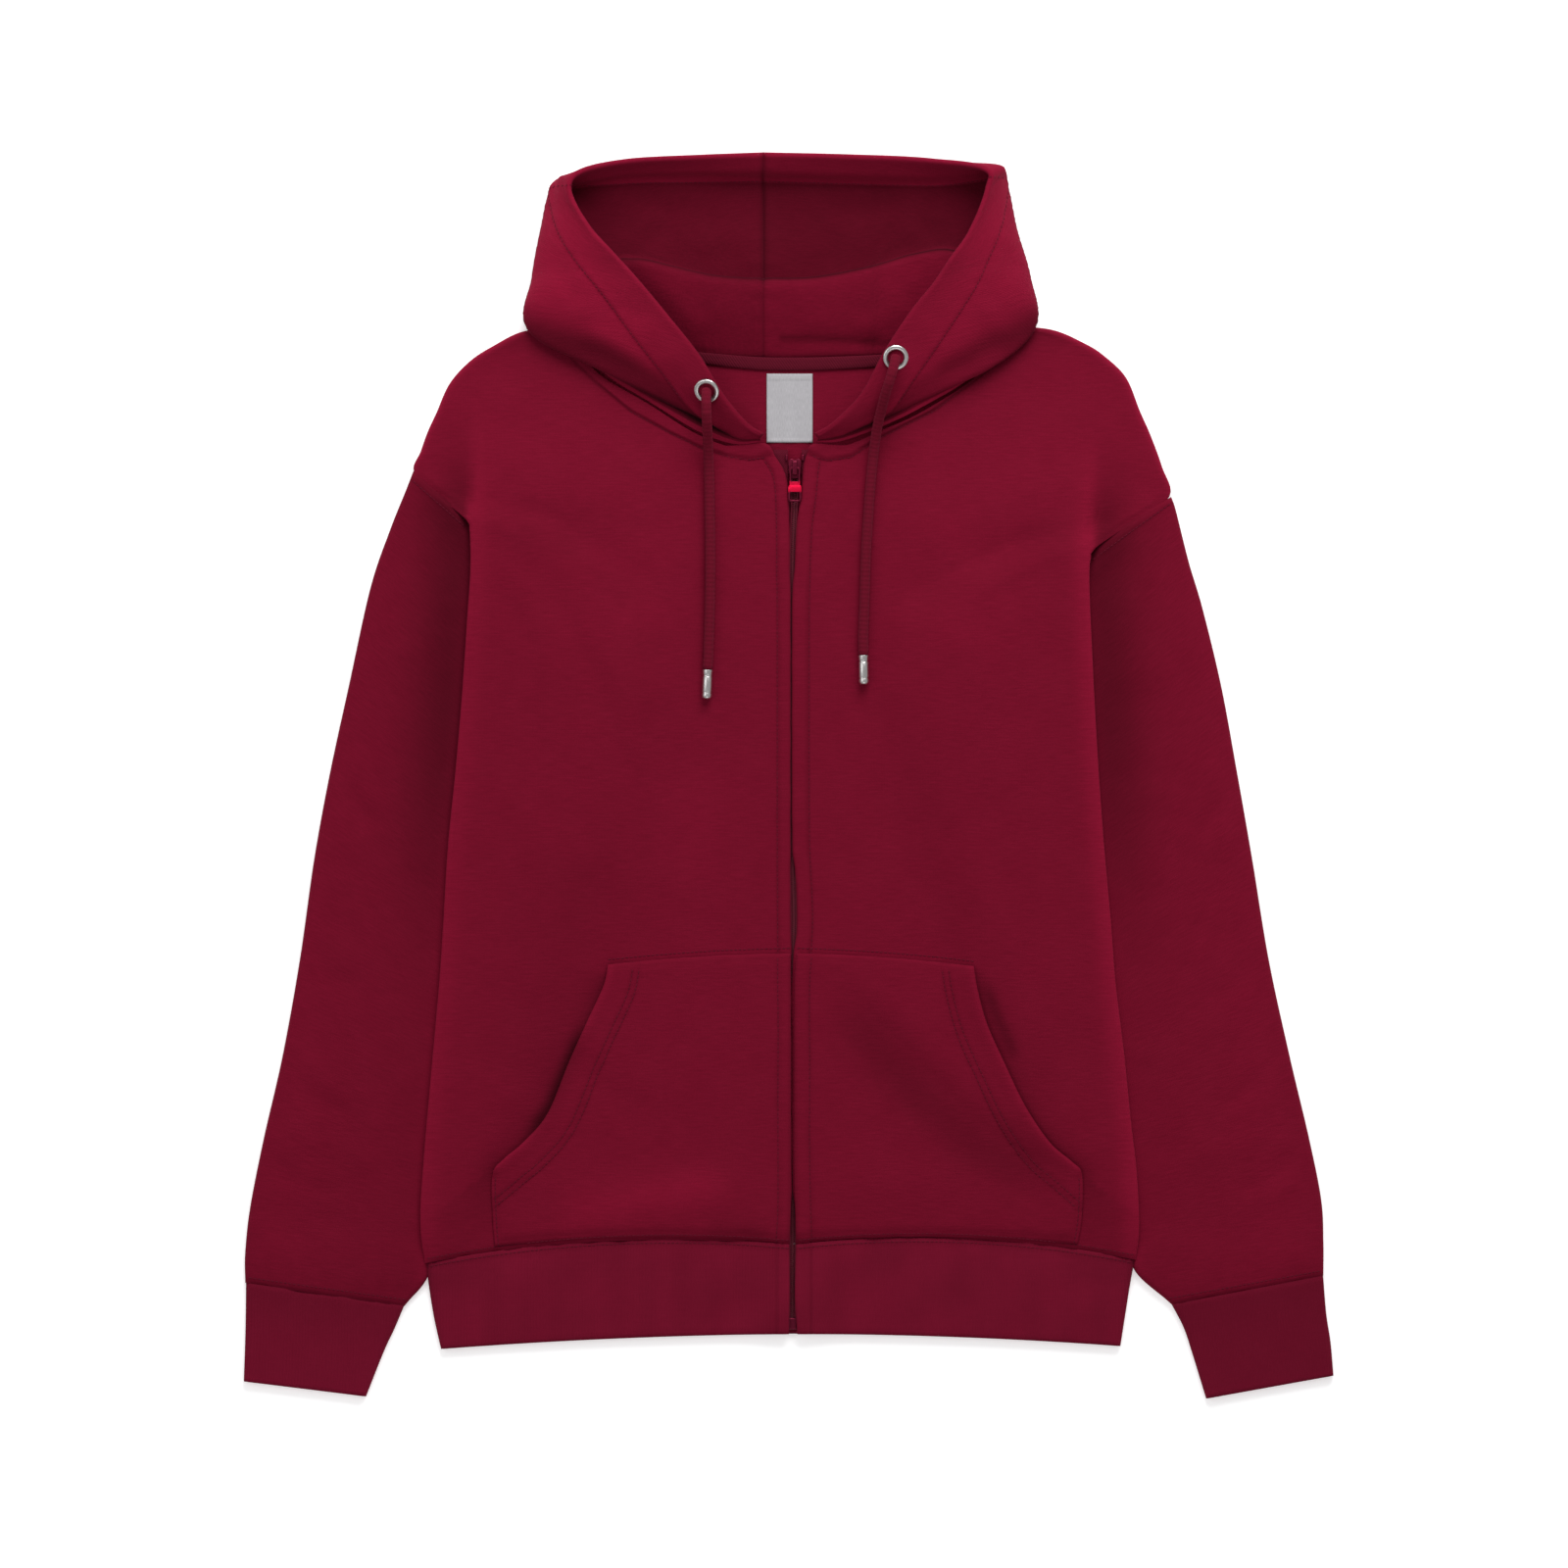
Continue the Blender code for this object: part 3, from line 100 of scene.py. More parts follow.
class Wire:
    # a socket that adds, multiplies and so on like a number
    def __init__(self, tree, socket):
        self.tree, self.socket = tree, socket

    def maths(self, kind, first, second=0.0):
        return self.tree.node("ShaderNodeMath", {"operation": kind}, {0: first, 1: second})

    def __add__(self, other):
        return self.maths("ADD", self, other)

    def __radd__(self, other):
        return self.maths("ADD", other, self)

    def __sub__(self, other):
        return self.maths("SUBTRACT", self, other)

    def __rsub__(self, other):
        return self.maths("SUBTRACT", other, self)

    def __mul__(self, other):
        return self.maths("MULTIPLY", self, other)

    def wave(self, length, phase=None):
        # a sine along the value, with the given length
        turned = self * (2 * math.pi / length)
        return self.maths("SINE", turned if phase is None else turned + phase)

    def between(self, low, high):
        return self.tree.node("ShaderNodeMapRange", {"interpolation_type": "SMOOTHSTEP"},
                              {"Value": self, "From Min": low, "From Max": high})


class Material:
    def __init__(self, name, **plain):
        self.made = bpy.data.materials.new(name)
        self.made.use_nodes = True
        self.nodes = self.made.node_tree.nodes
        self.shader = self.nodes["Principled BSDF"]
        for key, value in plain.items():
            self.shader.inputs[key.replace("_", " ")].default_value = value

    def node(self, kind, settings, values, out=0):
        made = self.nodes.new(kind)
        for key, value in settings.items():
            setattr(made, key, value)
        for key, value in values.items():
            self.plug(made.inputs[key], value)
        return Wire(self, made.outputs[out])

    def plug(self, socket, value):
        if isinstance(value, Wire):
            self.made.node_tree.links.new(value.socket, socket)
        else:
            socket.default_value = value

    def feed(self, key, value):
        self.plug(self.shader.inputs[key], value)

    def place(self):
        return self.node("ShaderNodeUVMap", {"uv_map": "cloth"}, {})

    def objectPlace(self):
        return self.node("ShaderNodeTexCoord", {}, {}, "Object")

    def attribute(self, name):
        return self.node("ShaderNodeAttribute", {"attribute_name": name}, {}, "Fac")

    def split(self, vector):
        made = self.node("ShaderNodeSeparateXYZ", {}, {0: vector})
        return made, Wire(self, made.socket.node.outputs[1])

    def stretched(self, vector, across, along, turn=0.0):
        return self.node("ShaderNodeMapping", {},
                         {"Vector": vector, "Scale": (across, along, 1), "Rotation": (0, 0, turn)})

    def noise(self, vector, scale=1.0, detail=2.0, rough=0.5):
        return self.node("ShaderNodeTexNoise", {},
                         {"Vector": vector, "Scale": scale, "Detail": detail, "Roughness": rough})

    def mix(self, mask, first, second):
        return self.node("ShaderNodeMix", {"data_type": "RGBA"}, {0: mask, 6: first, 7: second}, 2)

    def scaled(self, colour, by):
        return self.node("ShaderNodeVectorMath", {"operation": "SCALE"}, {0: colour, "Scale": by})

    def bump(self, height, distance, normal=None):
        values = {"Height": height, "Distance": distance}
        if normal is not None:
            values["Normal"] = normal
        return self.node("ShaderNodeBump", {}, values)


def rgb(colour, share=1.0):
    return (*[part * share for part in colour], 1.0)

# geometry helpers


def lerp(a, b, t):
    return a + (b - a) * t


def ease(t):
    t = np.clip(t, 0.0, 1.0)
    return t * t * (3 - 2 * t)


def bell(distance, width):
    return np.exp(-(distance / width) ** 2)


def runAlong(points):
    # the way gone along a path at each of its points
    return np.concatenate([[0], np.cumsum(np.linalg.norm(np.diff(points, axis=0), axis=1))])


def stacked(*parts):
    # coordinates side by side, each spread over the whole grid
    return np.stack(np.broadcast_arrays(*parts), -1)


def unit(ways):
    return ways / np.linalg.norm(ways, axis=-1, keepdims=True)


def spotsAt(path, run, count):
    places = np.linspace(0, run[-1], count)
    return np.array([np.interp(places, run, column) for column in path.T]).T


def catmull(points, steps):
    # a smooth curve through points, with the given number of sections in each span
    points = np.asarray(points, float)
    ends = np.concatenate([[2 * points[0] - points[1]], points, [2 * points[-1] - points[-2]]])
    found = []
    for i, count in enumerate(steps):
        a, b, c, d = ends[i:i + 4]
        t = (np.arange(count) / count).reshape(-1, *[1] * (points.ndim - 1))
        found.append(0.5 * (2 * b + (c - a) * t + (2 * a - 5 * b + 4 * c - d) * t * t
                            + (3 * b - a - 3 * c + d) * t ** 3))
    found.append(points[-1:])
    return np.concatenate(found)


def stepsAt(points, pitch):
    # how many sections each span needs
    spans = np.linalg.norm(np.diff(np.asarray(points, float), axis=0), axis=1)
    return [max(1, int(round(span / (pitch * coarse)))) for span in spans]


def between(values, steps):
    # straight between the given values, with the same sections as catmull
    values = np.asarray(values, float)
    places = [i + k / count for i, count in enumerate(steps) for k in range(count)] + [len(steps)]
    return np.array([np.interp(places, range(len(values)), column) for column in values.T]).T


def evenPoints(path, pitch):
    # points along a path at an even pitch, and the direction at each
    path = np.asarray(path, float)
    run = runAlong(path)
    points = spotsAt(path, run, max(2, int(round(run[-1] / pitch)) + 1))
    return points, unit(np.gradient(points, axis=0))


def pathDistance(x, y, path):
    # signed distance to a path, and how far along it the nearest place is, 0 to 1
    path = np.asarray(path, float)[:, :2]
    lengths = np.linalg.norm(np.diff(path, axis=0), axis=1)
    best = np.full(np.shape(x), 1e9)
    signed, part = np.zeros(np.shape(x)), np.zeros(np.shape(x))
    before = 0.0
    for a, b, length in zip(path, path[1:], lengths):
        wayX, wayY = (b - a) / length
        along = (x - a[0]) * wayX + (y - a[1]) * wayY
        held = np.clip(along, 0, length)
        offX, offY = x - a[0] - held * wayX, y - a[1] - held * wayY
        distance = np.hypot(offX, offY)
        side = np.where(wayX * offY - wayY * offX >= 0, 1.0, -1.0)
        nearer = distance < best
        best = np.where(nearer, distance, best)
        signed = np.where(nearer, distance * side, signed)
        part = np.where(nearer, (before + held) / lengths.sum(), part)
        before += length
    return signed, part


def ripple(t, seed, wave):
    # an uneven wave of about the given length, between -1 and 1
    rng = np.random.default_rng(seed)
    total = 0.0
    for share, weight in ((1.0, 0.5), (1.37, 0.3), (0.61, 0.3)):
        total = total + weight * np.sin(2 * np.pi * t / (wave * share) + rng.uniform(0, 6.28))
    return total


def undulation(x, y, seed, wave, height, stretch=1.0):
    # low uneven hills, longer along y by stretch
    rng = np.random.default_rng(seed)
    total = np.zeros(np.shape(x))
    for _ in range(9):
        angle, size = rng.uniform(0, np.pi), rng.uniform(0.6, 1.6)
        kx, ky = np.cos(angle) / (wave * size), np.sin(angle) / (wave * size * stretch)
        total += np.sin(2 * np.pi * (kx * x + ky * y) + rng.uniform(0, 6.28)) * size
    return height * total / 4.0


def creaseHeight(creases, x, y):
    # each crease: height (a trough is below nought), width, lip beside it, path
    total = np.zeros(np.shape(x))
    for height, width, lip, path in creases:
        signed, part = pathDistance(x, y, path)
        ends = ease(part / 0.22) * ease((1 - part) / 0.22)
        shape = bell(signed, width) + lip * bell(signed - 1.9 * width, 1.1 * width)
        total += height * ends * shape
    return total


def addObject(name, mesh, material):
    made = bpy.data.objects.new(name, mesh)
    bpy.context.scene.collection.objects.link(made)
    mesh.materials.append(material)
    return made


def meshFrom(name, points, faces, place=None, marks=None, smooth=True, sharp=None):
    # points in millimetres; place is a cloth coordinate for each, marks are named numbers for each
    mesh = bpy.data.meshes.new(name)
    mesh.from_pydata((np.asarray(points, float) * mm).tolist(), [], faces)
    mesh.update()
    if smooth:
        mesh.shade_smooth()
        if sharp:
            mesh.set_sharp_from_angle(angle=math.radians(sharp))
    if place is not None:
        corners = np.zeros(len(mesh.loops), np.int32)
        mesh.loops.foreach_get("vertex_index", corners)
        layer = mesh.uv_layers.new(name="cloth")
        layer.data.foreach_set("uv", (np.asarray(place) * mm)[corners].astype(np.float32).ravel())
    for key, values in (marks or {}).items():
        layer = mesh.attributes.new(key, "FLOAT", "POINT")
        layer.data.foreach_set("value", np.asarray(values, np.float32).ravel())
    return mesh


def shellMesh(name, outer, inner, place, marks=None, tube=False):
    # a closed wall between two grids of points; a tube's ends are open
    rows, columns = outer.shape[:2]
    under = rows * columns
    index = np.arange(under).reshape(rows, columns)
    after = np.roll(index, -1, axis=1) if tube else index[:, 1:]
    here = index if tube else index[:, :-1]
    quads = stacked(here[:-1], after[:-1], after[1:], here[1:]).reshape(-1, 4)
    low = (quads + under)[:, ::-1]
    edges = [(after[0], here[0]), (here[-1], after[-1])]
    if not tube:
        edges += [(index[:-1, 0], index[1:, 0]), (index[1:, -1], index[:-1, -1])]
    rims = [stacked(a, b, b + under, a + under) for a, b in edges]
    faces = np.concatenate([quads, low, *rims])
    points = np.concatenate([outer.reshape(-1, 3), inner.reshape(-1, 3)])
    a, b, c, d = (points[faces[:, k]] for k in range(4))
    volume = (a * np.cross(b, c)).sum() + (a * np.cross(c, d)).sum()
    if volume < 0:
        faces = faces[:, ::-1]
    place = np.concatenate([place.reshape(-1, 2)] * 2)
    doubled = {key: np.concatenate([np.asarray(v, float).reshape(-1)] * 2)
               for key, v in (marks or {}).items()}
    return meshFrom(name, points, faces.tolist(), place, doubled)


# the cloth's own sizes

cloth = {
    "wall": 2.2, "hemWall": 4.0, "ribWall": 2.8,
    "seam": 0.35, "laid": 0.35,
    "edgeRoll": 5.0,             # radius of a side fold
    "tubeRoll": 0.62,            # radius at a sleeve's edge, as a share of its height
    "tubeEdge": 18.0,            # how far in from there its detail grows
    "sleeveGap": 2.6, "cuffGap": 0.6, "bandGap": 0.9,
    "overSleeve": 7.6,           # height of the body's back where it lies on a sleeve
    "shelfRun": 58.0,            # length of its slope down to the floor
    "bodyGap": 1.4, "foldGap": 1.6, "zipGap": 2.0, "zipTopGap": 1.2,
    "mostGap": 3.8, "leastGap": 0.5,
    "brow": 5.5,                 # height of the side fold above the armhole
    "tuck": 1.3,                 # how far a seam's allowance reaches under the next piece
    "pitch": 3.0,                # of the finest meshes
}
sleeveHeight = 2 * cloth["wall"] + cloth["sleeveGap"]
cuffHeight = 2 * cloth["ribWall"] + cloth["cuffGap"]

# rows of the body from hem to shoulder: side fold x, y and zip edge x, y
rightRows = [
    (-252, -337.5, 1, -325), (-254.5, -321, 1.6, -312), (-255, -300, 2.2, -296),
    (-253, -270, 2.2, -270), (-250.5, -240, 2, -240), (-246.5, -195, 2, -195),
    (-242, -145, 1.8, -145), (-239, -100, 1.8, -100), (-236, -50, 1.4, -50), (-230.5, 5, 1.4, 5),
    (-226, 58, 1.4, 58), (-222.5, 110, 1.4, 110), (-220.5, 138, 1.2, 137.5),
    (-220.3, 157, 1.2, 154), (-221, 171, 1.2, 166), (-223.3, 177.2, 1, 175.5),
    (-242, 193.4, 0.5, 191.5), (-259.6, 210.4, -0.5, 203.5), (-255, 225, -3, 212),
    (-250, 239, -8.5, 221), (-244, 252, -16, 230.5), (-235, 272, -40, 228.3),
    (-221, 287.5, -66, 238.5), (-205, 298, -95, 257), (-183, 308.5, -133, 281),
    (-152, 311.5, -131, 300),
]
leftRows = [
    (241.5, -335, 5.6, -324), (243.5, -320, 5.4, -312), (243.5, -300, 5, -296),
    (241.5, -270, 4.4, -270), (238, -240, 4.2, -240), (233.5, -195, 4.2, -195),
    (227.5, -145, 4.2, -145), (224, -100, 6.6, -100), (219.5, -50, 4.6, -50), (215.5, 5, 4.2, 5),
    (212.5, 58, 4.2, 58), (210, 110, 4.3, 110), (209.3, 131, 4.8, 137.5), (209.3, 143, 5.2, 154),
    (210.3, 151, 5.8, 166), (213.5, 157.6, 6.4, 175.5), (240, 175.9, 8.6, 191.5),
    (265.0, 193.6, 9.8, 203.5), (260, 214, 10.4, 212), (252, 236, 12.4, 221),
    (244.5, 253, 17.5, 230), (235, 276, 40, 229), (220, 291, 66, 240), (206, 300, 95, 253.5),
    (183, 309.5, 133.6, 280.2), (152, 312, 132.6, 300),
]
# how each row lies: bow, width of the shelf on the sleeve, its lift, how far the edge is rolled
rowLays = [
    (9, 6, 0.4, 1), (6, 8, 0.8, 1), (3, 16, 1, 1), (1, 28, 1, 1), (0, 38, 1, 1), (0, 50, 1, 1),
    (0, 62, 1, 1), (0, 72, 1, 1), (0, 88, 1, 1), (0, 100, 1, 1), (0, 108, 1, 1), (0, 92, 1, 1),
    (0, 66, 1, 1), (0, 40, 1, 1), (0, 22, 1, 1), (0, 10, 0.9, 0.6), (0, 8, 0, 0), (-2, 8, 0, 0.5),
    (-8, 8, 0, 1), (-14, 8, 0, 1), (-20, 8, 0, 1), (-3, 8, 0, 1), (0, 8, 0, 1), (0, 8, 0, 1),
    (0, 8, 0, 1), (0, 8, 0, 1),
]
backNeckSag = (0, 3, 10, 17.5, 25, 26)     # of the last six rows of the back
# x, y of a zip's middle and the chain's height
zipPath = [
    (3.2, -376.5, 3.2), (3.2, -340, 3.2), (3.4, -322, 3.2), (3.5, -296, 2.6), (3.1, -240, 2.6),
    (3.1, -145, 2.6), (4.2, -100, 2.6), (3.1, -50, 2.6), (2.8, 60, 2.6), (3.2, 140, 2.6),
    (3.9, 172, 2.6), (4.6, 190, 3.4), (4.8, 205.5, 3.7),
]
# broad hills and hollows: x0, y0, x1, y1, width, height
bodyFolds = [
    (3, -330, 3, -306, 18, 0.8), (-150, -288, -40, -296, 26, 1.8), (40, -284, 190, -300, 24, 1.6),
    (30, -150, 90, -222, 17, -0.9), (90, -222, 195, -290, 18, -0.8),
    (-160, -60, -190, -220, 20, 1.4), (-90, 150, -160, -30, 26, 1.2),
    (-40, 60, -70, -90, 24, -0.8), (90, 170, 130, 0, 26, 1.3), (60, 40, 40, -90, 22, -0.8),
    (170, 60, 190, -160, 22, 1.2), (-185, 215, -110, 175, 20, 1.2), (190, 205, 110, 165, 20, 1.2),
    (-184, 309, -140, 303, 16, 1.2), (184, 310, 140, 303, 16, 1.2),
]


def smoothed(xs, values, grid, reach):
    # a table of values on an even grid, with its corners rounded off
    found = np.interp(grid, xs, values)
    kernel = np.hanning(2 * reach + 3)[1:-1]
    padded = np.concatenate([np.full(reach, found[0]), found, np.full(reach, found[-1])])
    return np.convolve(padded, kernel / kernel.sum(), "valid")


bodySteps = stepsAt(0.5 * (np.abs(rightRows) + np.abs(leftRows))[:, :2], cloth["pitch"])


class BodySide:
    def __init__(self, rows):
        steps = bodySteps
        self.rows = catmull(rows, steps)
        self.lays = between(rowLays, steps)
        self.grid = np.arange(-345.0, 320.0, 1.0)
        outs = [row[1] for row in rows]
        self.foldX = smoothed(self.rows[:, 1], self.rows[:, 0], self.grid, 3)
        self.shelf = smoothed(outs, [lay[1] for lay in rowLays], self.grid, 14)
        self.lift = smoothed(outs, [lay[2] for lay in rowLays], self.grid, 5) * cloth["overSleeve"]

    def at(self, values, y):
        return np.interp(y, self.grid, values)


sides = {-1: BodySide(rightRows), 1: BodySide(leftRows)}


def zipAt(y):
    path = np.array(zipPath)
    return np.interp(y, path[:, 1], path[:, 0]), np.interp(y, path[:, 1], path[:, 2])


def foldHeight(folds, x, y):
    # soft long folds, each a bar from x0, y0 to x1, y1 with a width and a height
    total = 0.0
    for x0, y0, x1, y1, width, height in folds:
        alongX, alongY = x1 - x0, y1 - y0
        length = math.hypot(alongX, alongY)
        part = ((x - x0) * alongX + (y - y0) * alongY) / length ** 2
        reach = ((x - x0) * alongY - (y - y0) * alongX) / length
        past = np.maximum(np.maximum(-part, part - 1), 0) * length
        total = total + height * np.exp(-(reach ** 2 + past ** 2) / width ** 2)
    return total


def backBottom(side, x, y):
    # underside of the back: on the floor, or up on the sleeve near the side fold
    body = sides[side]
    foldX = body.at(body.foldX, y)
    shelf = body.at(body.shelf, y)
    lift = body.at(body.lift, y)
    return lift * (1 - ease((np.abs(x - foldX) - shelf) / cloth["shelfRun"]))


def bodyGap(side, x, y):
    # the air between back and front
    body = sides[side]
    foldX = body.at(body.foldX, y)
    gap = cloth["bodyGap"] + cloth["foldGap"] * bell(x - foldX, 16)
    gap = gap + cloth["zipGap"] * bell(x - zipAt(y)[0], 24)
    gap = gap + cloth["zipTopGap"] * bell(x - slider["x"], 30) * ease((y - 175) / 20)
    gap = gap + foldHeight(bodyFolds, x, y)
    return np.clip(gap, cloth["leastGap"], cloth["mostGap"])


def foldLine(side, y):
    # the side fold, and where it runs on softly above the armhole
    body, path = sides[side], np.array(foldOn[side])
    return np.where(y < path[0, 1], body.at(body.foldX, y),
                    np.interp(y, path[:, 1], path[:, 0]))


def foldFade(side, y):
    # one at the armhole, nought where the fold has run out
    low, high = foldOn[side][0][1], foldOn[side][-1][1]
    return 1 - ease((y - low - 6) / (high - low))


def frontTop(side, x, y):
    # the front's upper face before its creases
    body = sides[side]
    inward = side * (foldLine(side, y) - x)
    onSleeve = body.at(body.lift, y) / cloth["overSleeve"]
    brow = cloth["brow"] * foldFade(side, y) * (1 - onSleeve) * ease((inward + 2) / 7)
    brow = brow * np.exp(-np.maximum(inward - 5, 0) / 46) * ease((y - 120) / 40)
    return backBottom(side, x, y) + bodyGap(side, x, y) + 2 * cloth["wall"] + brow


# body panels

foldOn = {-1: [(-222.4, 170), (-220.3, 218), (-219.0, 250)],
          1: [(211.5, 152), (213.5, 200), (215.0, 236)]}
front = {
    "placketWelt": {-1: 8.8, 1: 10.6},   # from the zip edge to its topstitching
    "weltRise": 0.55,
    "neckRise": 1.3,                     # of the neck seam's allowance under the cloth
    "grooveDepth": 0.4,
    "ear": {-1: (-14.5, 227, 1.0), 1: (15.5, 227.5, 0.8)},   # the zip's top corner curls up
    "hemGather": 0.5,
    # painted light on the rim inside the side fold and on its rolled edge, painted shade beside
    # the fold
    "rim": {-1: 0.14, 1: 0.26}, "paintedShadeBesideFold": 0.46, "paintedLightOnRoll": 0.8,
    "zipCover": {-1: 0.5, 1: 1.5},
    "teethShow": ((130, 192), (-122, -52), (-346, -286)),
    "columns": 84,
    "edgeColumns": 20,
    "edgeBand": 26.0,                    # beside the zip, where the columns are close
}
# creases and ridges of the front: height, width, lip, path
frontCreases = [
    (-1.9, 15.0, -0.6, [(20, -142), (62, -186), (96, -226), (140, -262), (200, -300)]),
    (-1.2, 10.0, 0.0, [(-150, -190), (-120, -226), (-90, -250)]),
    (1.6, 16.0, 0.0, [(-168, -304), (-120, -296), (-80, -287), (-36, -278)]),
    (-0.8, 4.5, -0.5, [(-36, -316), (-24, -322), (-12, -323)]),
    (-0.7, 8.0, -0.5, [(-176, 150), (-130, 60), (-100, -40)]),
    (-0.6, 9.0, -0.4, [(150, 160), (130, 60), (136, -60)]),
    (0.6, 14.0, 0.0, [(-90, 170), (-70, 60), (-80, -70)]),
    (-0.6, 7.0, -0.5, [(-210, 150), (-180, 90), (-172, 0)]),
    (-0.6, 7.0, -0.5, [(204, 140), (180, 80), (176, -20)]),
    (0.5, 12.0, 0.0, [(-40, 150), (-30, 30), (-36, -80)]),
    (0.5, 12.0, 0.0, [(60, 120), (44, 20), (40, -90)]),
]
# painted light and shade: places painted a little lighter where the cloth faces the light and
# darker in creases and beside the pockets' mouths: amount, width, path
frontPaintedPlaces = [
    (-0.24, 19.0, [(24, -149), (62, -190), (86, -217), (130, -258), (194, -292)]),
    (0.26, 13.0, [(-168, -308), (-120, -300), (-80, -291), (-36, -282)]),
    (-0.13, 15.0, [(-215, 186), (-160, 160), (-126, 136), (-95, 108)]),
    (-0.13, 15.0, [(205, 172), (160, 150), (120, 132), (85, 118)]),
    (-0.42, 5.0, [(-141, -170), (-153, -200), (-166, -230), (-184, -254)]),
    (-0.30, 4.5, [(136, -142), (146, -168), (160, -200)]),
    (-0.12, 12.0, [(-60, -318), (-30, -318), (-8, -320)]),
    (0.07, 40.0, [(-130, 170), (-110, 90)]),
    (0.09, 40.0, [(140, 180), (120, 80)]),
    (-0.06, 34.0, [(-140, -40), (-170, -140), (-190, -230)]),
    (0.06, 26.0, [(-60, 10), (-70, -80)]),
]
weltStitches = {-1: [], 1: []}
# the topstitching below the neck seam, from the zip outwards
neckStitches = {
    -1: [(-12, 222.6), (-16, 220.6), (-27.2, 219), (-42.8, 221.7), (-58.5, 226.4),
         (-81.6, 237.3), (-110.2, 253), (-134, 272.7), (-150, 290)],
    1: [(13, 225.2), (17, 221.6), (26.5, 218.3), (44.2, 221), (64.6, 234.6), (102, 253),
        (130, 275), (160, 300)],
}
# soft shadows that the hood and the pocket's mouth lay on the front: path, reach, depth
frontShadows = {
    -1: [([(-190, 312), (-174, 296), (-144, 285), (-126, 278), (-79, 259), (-40, 239),
           (-18, 234)], 9, 0.22),
         ([(-126, -136), (-140, -174), (-153, -204), (-166, -234), (-188, -260),
           (-206, -274)], 8, 0.34)],
    1: [([(190, 312), (175, 306), (150, 290), (120, 269), (92, 254), (50, 232),
          (20, 233)], 9, 0.24),
        ([(128, -136), (136, -170), (150, -205), (168, -238), (186, -262), (204, -276)], 8, 0.34)],
}


def frontDetail(side, x, y):
    # creases and unevenness of the front, nought at its edges
    body = sides[side]
    foldX = body.at(body.foldX, y)
    fromFold = np.abs(x - foldX)
    inside = ease((fromFold - 4) / 24) * ease((y + 336) / 14)
    fromZip = ease((np.abs(x - zipAt(y)[0]) - 12) / 26)
    waves = undulation(x, y, 5 + side, 62, 0.42, 1.5) + undulation(x, y, 25 + side, 26, 0.16, 1.3)
    gathers = front["hemGather"] * ripple(x, 40 + side, 19) * np.exp(-(y + 334) / 20)
    gathers = gathers * ease((fromFold - 6) / 20)
    return (creaseHeight(frontCreases, x, y) + waves) * inside * fromZip + gathers * fromZip


def rowPoints(body, reach):
    # points of every row at given reaches from the side fold, with the row's bow
    rows, bow = body.rows, body.lays[:, 0]
    span = np.hypot(rows[:, 2] - rows[:, 0], rows[:, 3] - rows[:, 1])[:, None]
    part = reach / span
    x = rows[:, :1] + (rows[:, 2] - rows[:, 0])[:, None] * part
    y = rows[:, 1:2] + (rows[:, 3] - rows[:, 1])[:, None] * part
    return x, y + bow[:, None] * 4 * part * (1 - part), span


def rolledReaches(body, angles):
    # reaches of outer and inner points round the side fold
    roll, wall = cloth["edgeRoll"], cloth["wall"]
    turn = 1 - np.cos(angles)[None, :]
    rolled = body.lays[:, 3:4]
    outer = roll * turn * np.ones_like(rolled)
    inner = lerp(outer, wall + (roll - wall) * turn, rolled)
    return outer, inner, rolled


def zipOverlap(side, y):
    # how far a front's edge reaches over the teeth: they show only here and there
    bare = 0.0
    for low, high in front["teethShow"]:
        bare = np.maximum(bare, ease((y - low) / 14) * ease((high - y) / 14))
    reach = front["zipCover"][side] * (1 - 0.85 * bare) + 0.16 * ripple(y, 200 + side, 34)
    return reach * ease((188 - y) / 22)


def bodyPaintedShading(x, y):
    # painted light and shade of the body's cloth: lighter towards the top, where the light falls,
    # and at the listed places
    toneAndPaintedLight = 0.08 * ease((y - 90) / 160)
    for depth, width, path in frontPaintedPlaces:
        signed, part = pathDistance(x, y, path)
        ends = ease(part / 0.25 + 0.1) * ease((1 - part) / 0.25 + 0.1)
        toneAndPaintedLight = toneAndPaintedLight + depth * bell(signed, width) * ends
    return toneAndPaintedLight


def frontPaintedShading(side, x, y):
    # painted light and shade of the front: a lighter rim inside the side fold, painted shade
    # outside it above the armhole, painted shadows under the hood and the pocket's mouth
    inward = side * (foldLine(side, y) - x)
    toneAndPaintedLight = bodyPaintedShading(x, y) + front["rim"][side] * bell(inward - 4, 8) * foldFade(side, y)
    outside = ease((1 - inward) / 4) * bell(np.maximum(-inward - 6, 0), 20)
    outside = outside * (0.55 + 0.45 * ease((foldOn[side][0][1] + 62 - y) / 50))
    above = ease((y - foldOn[side][0][1] + 4) / 8)
    toneAndPaintedLight = toneAndPaintedLight - front["paintedShadeBesideFold"] * outside * above * foldFade(side, y - 10)
    for path, reach, depth in frontShadows[side]:
        signed, part = pathDistance(x, y, path)
        below = np.where(signed * side > 0, np.abs(signed), 0.3 * np.abs(signed))
        toneAndPaintedLight = toneAndPaintedLight - depth * np.exp(-below / reach) * ease(part / 0.08 + 0.3)
    return toneAndPaintedLight


def seamHeight(side):
    # where front and back meet at the side fold
    x, y = sides[side].rows[:, :2].T
    return 0.5 * (backBottom(side, x, y) + frontTop(side, x, y))[:, None]


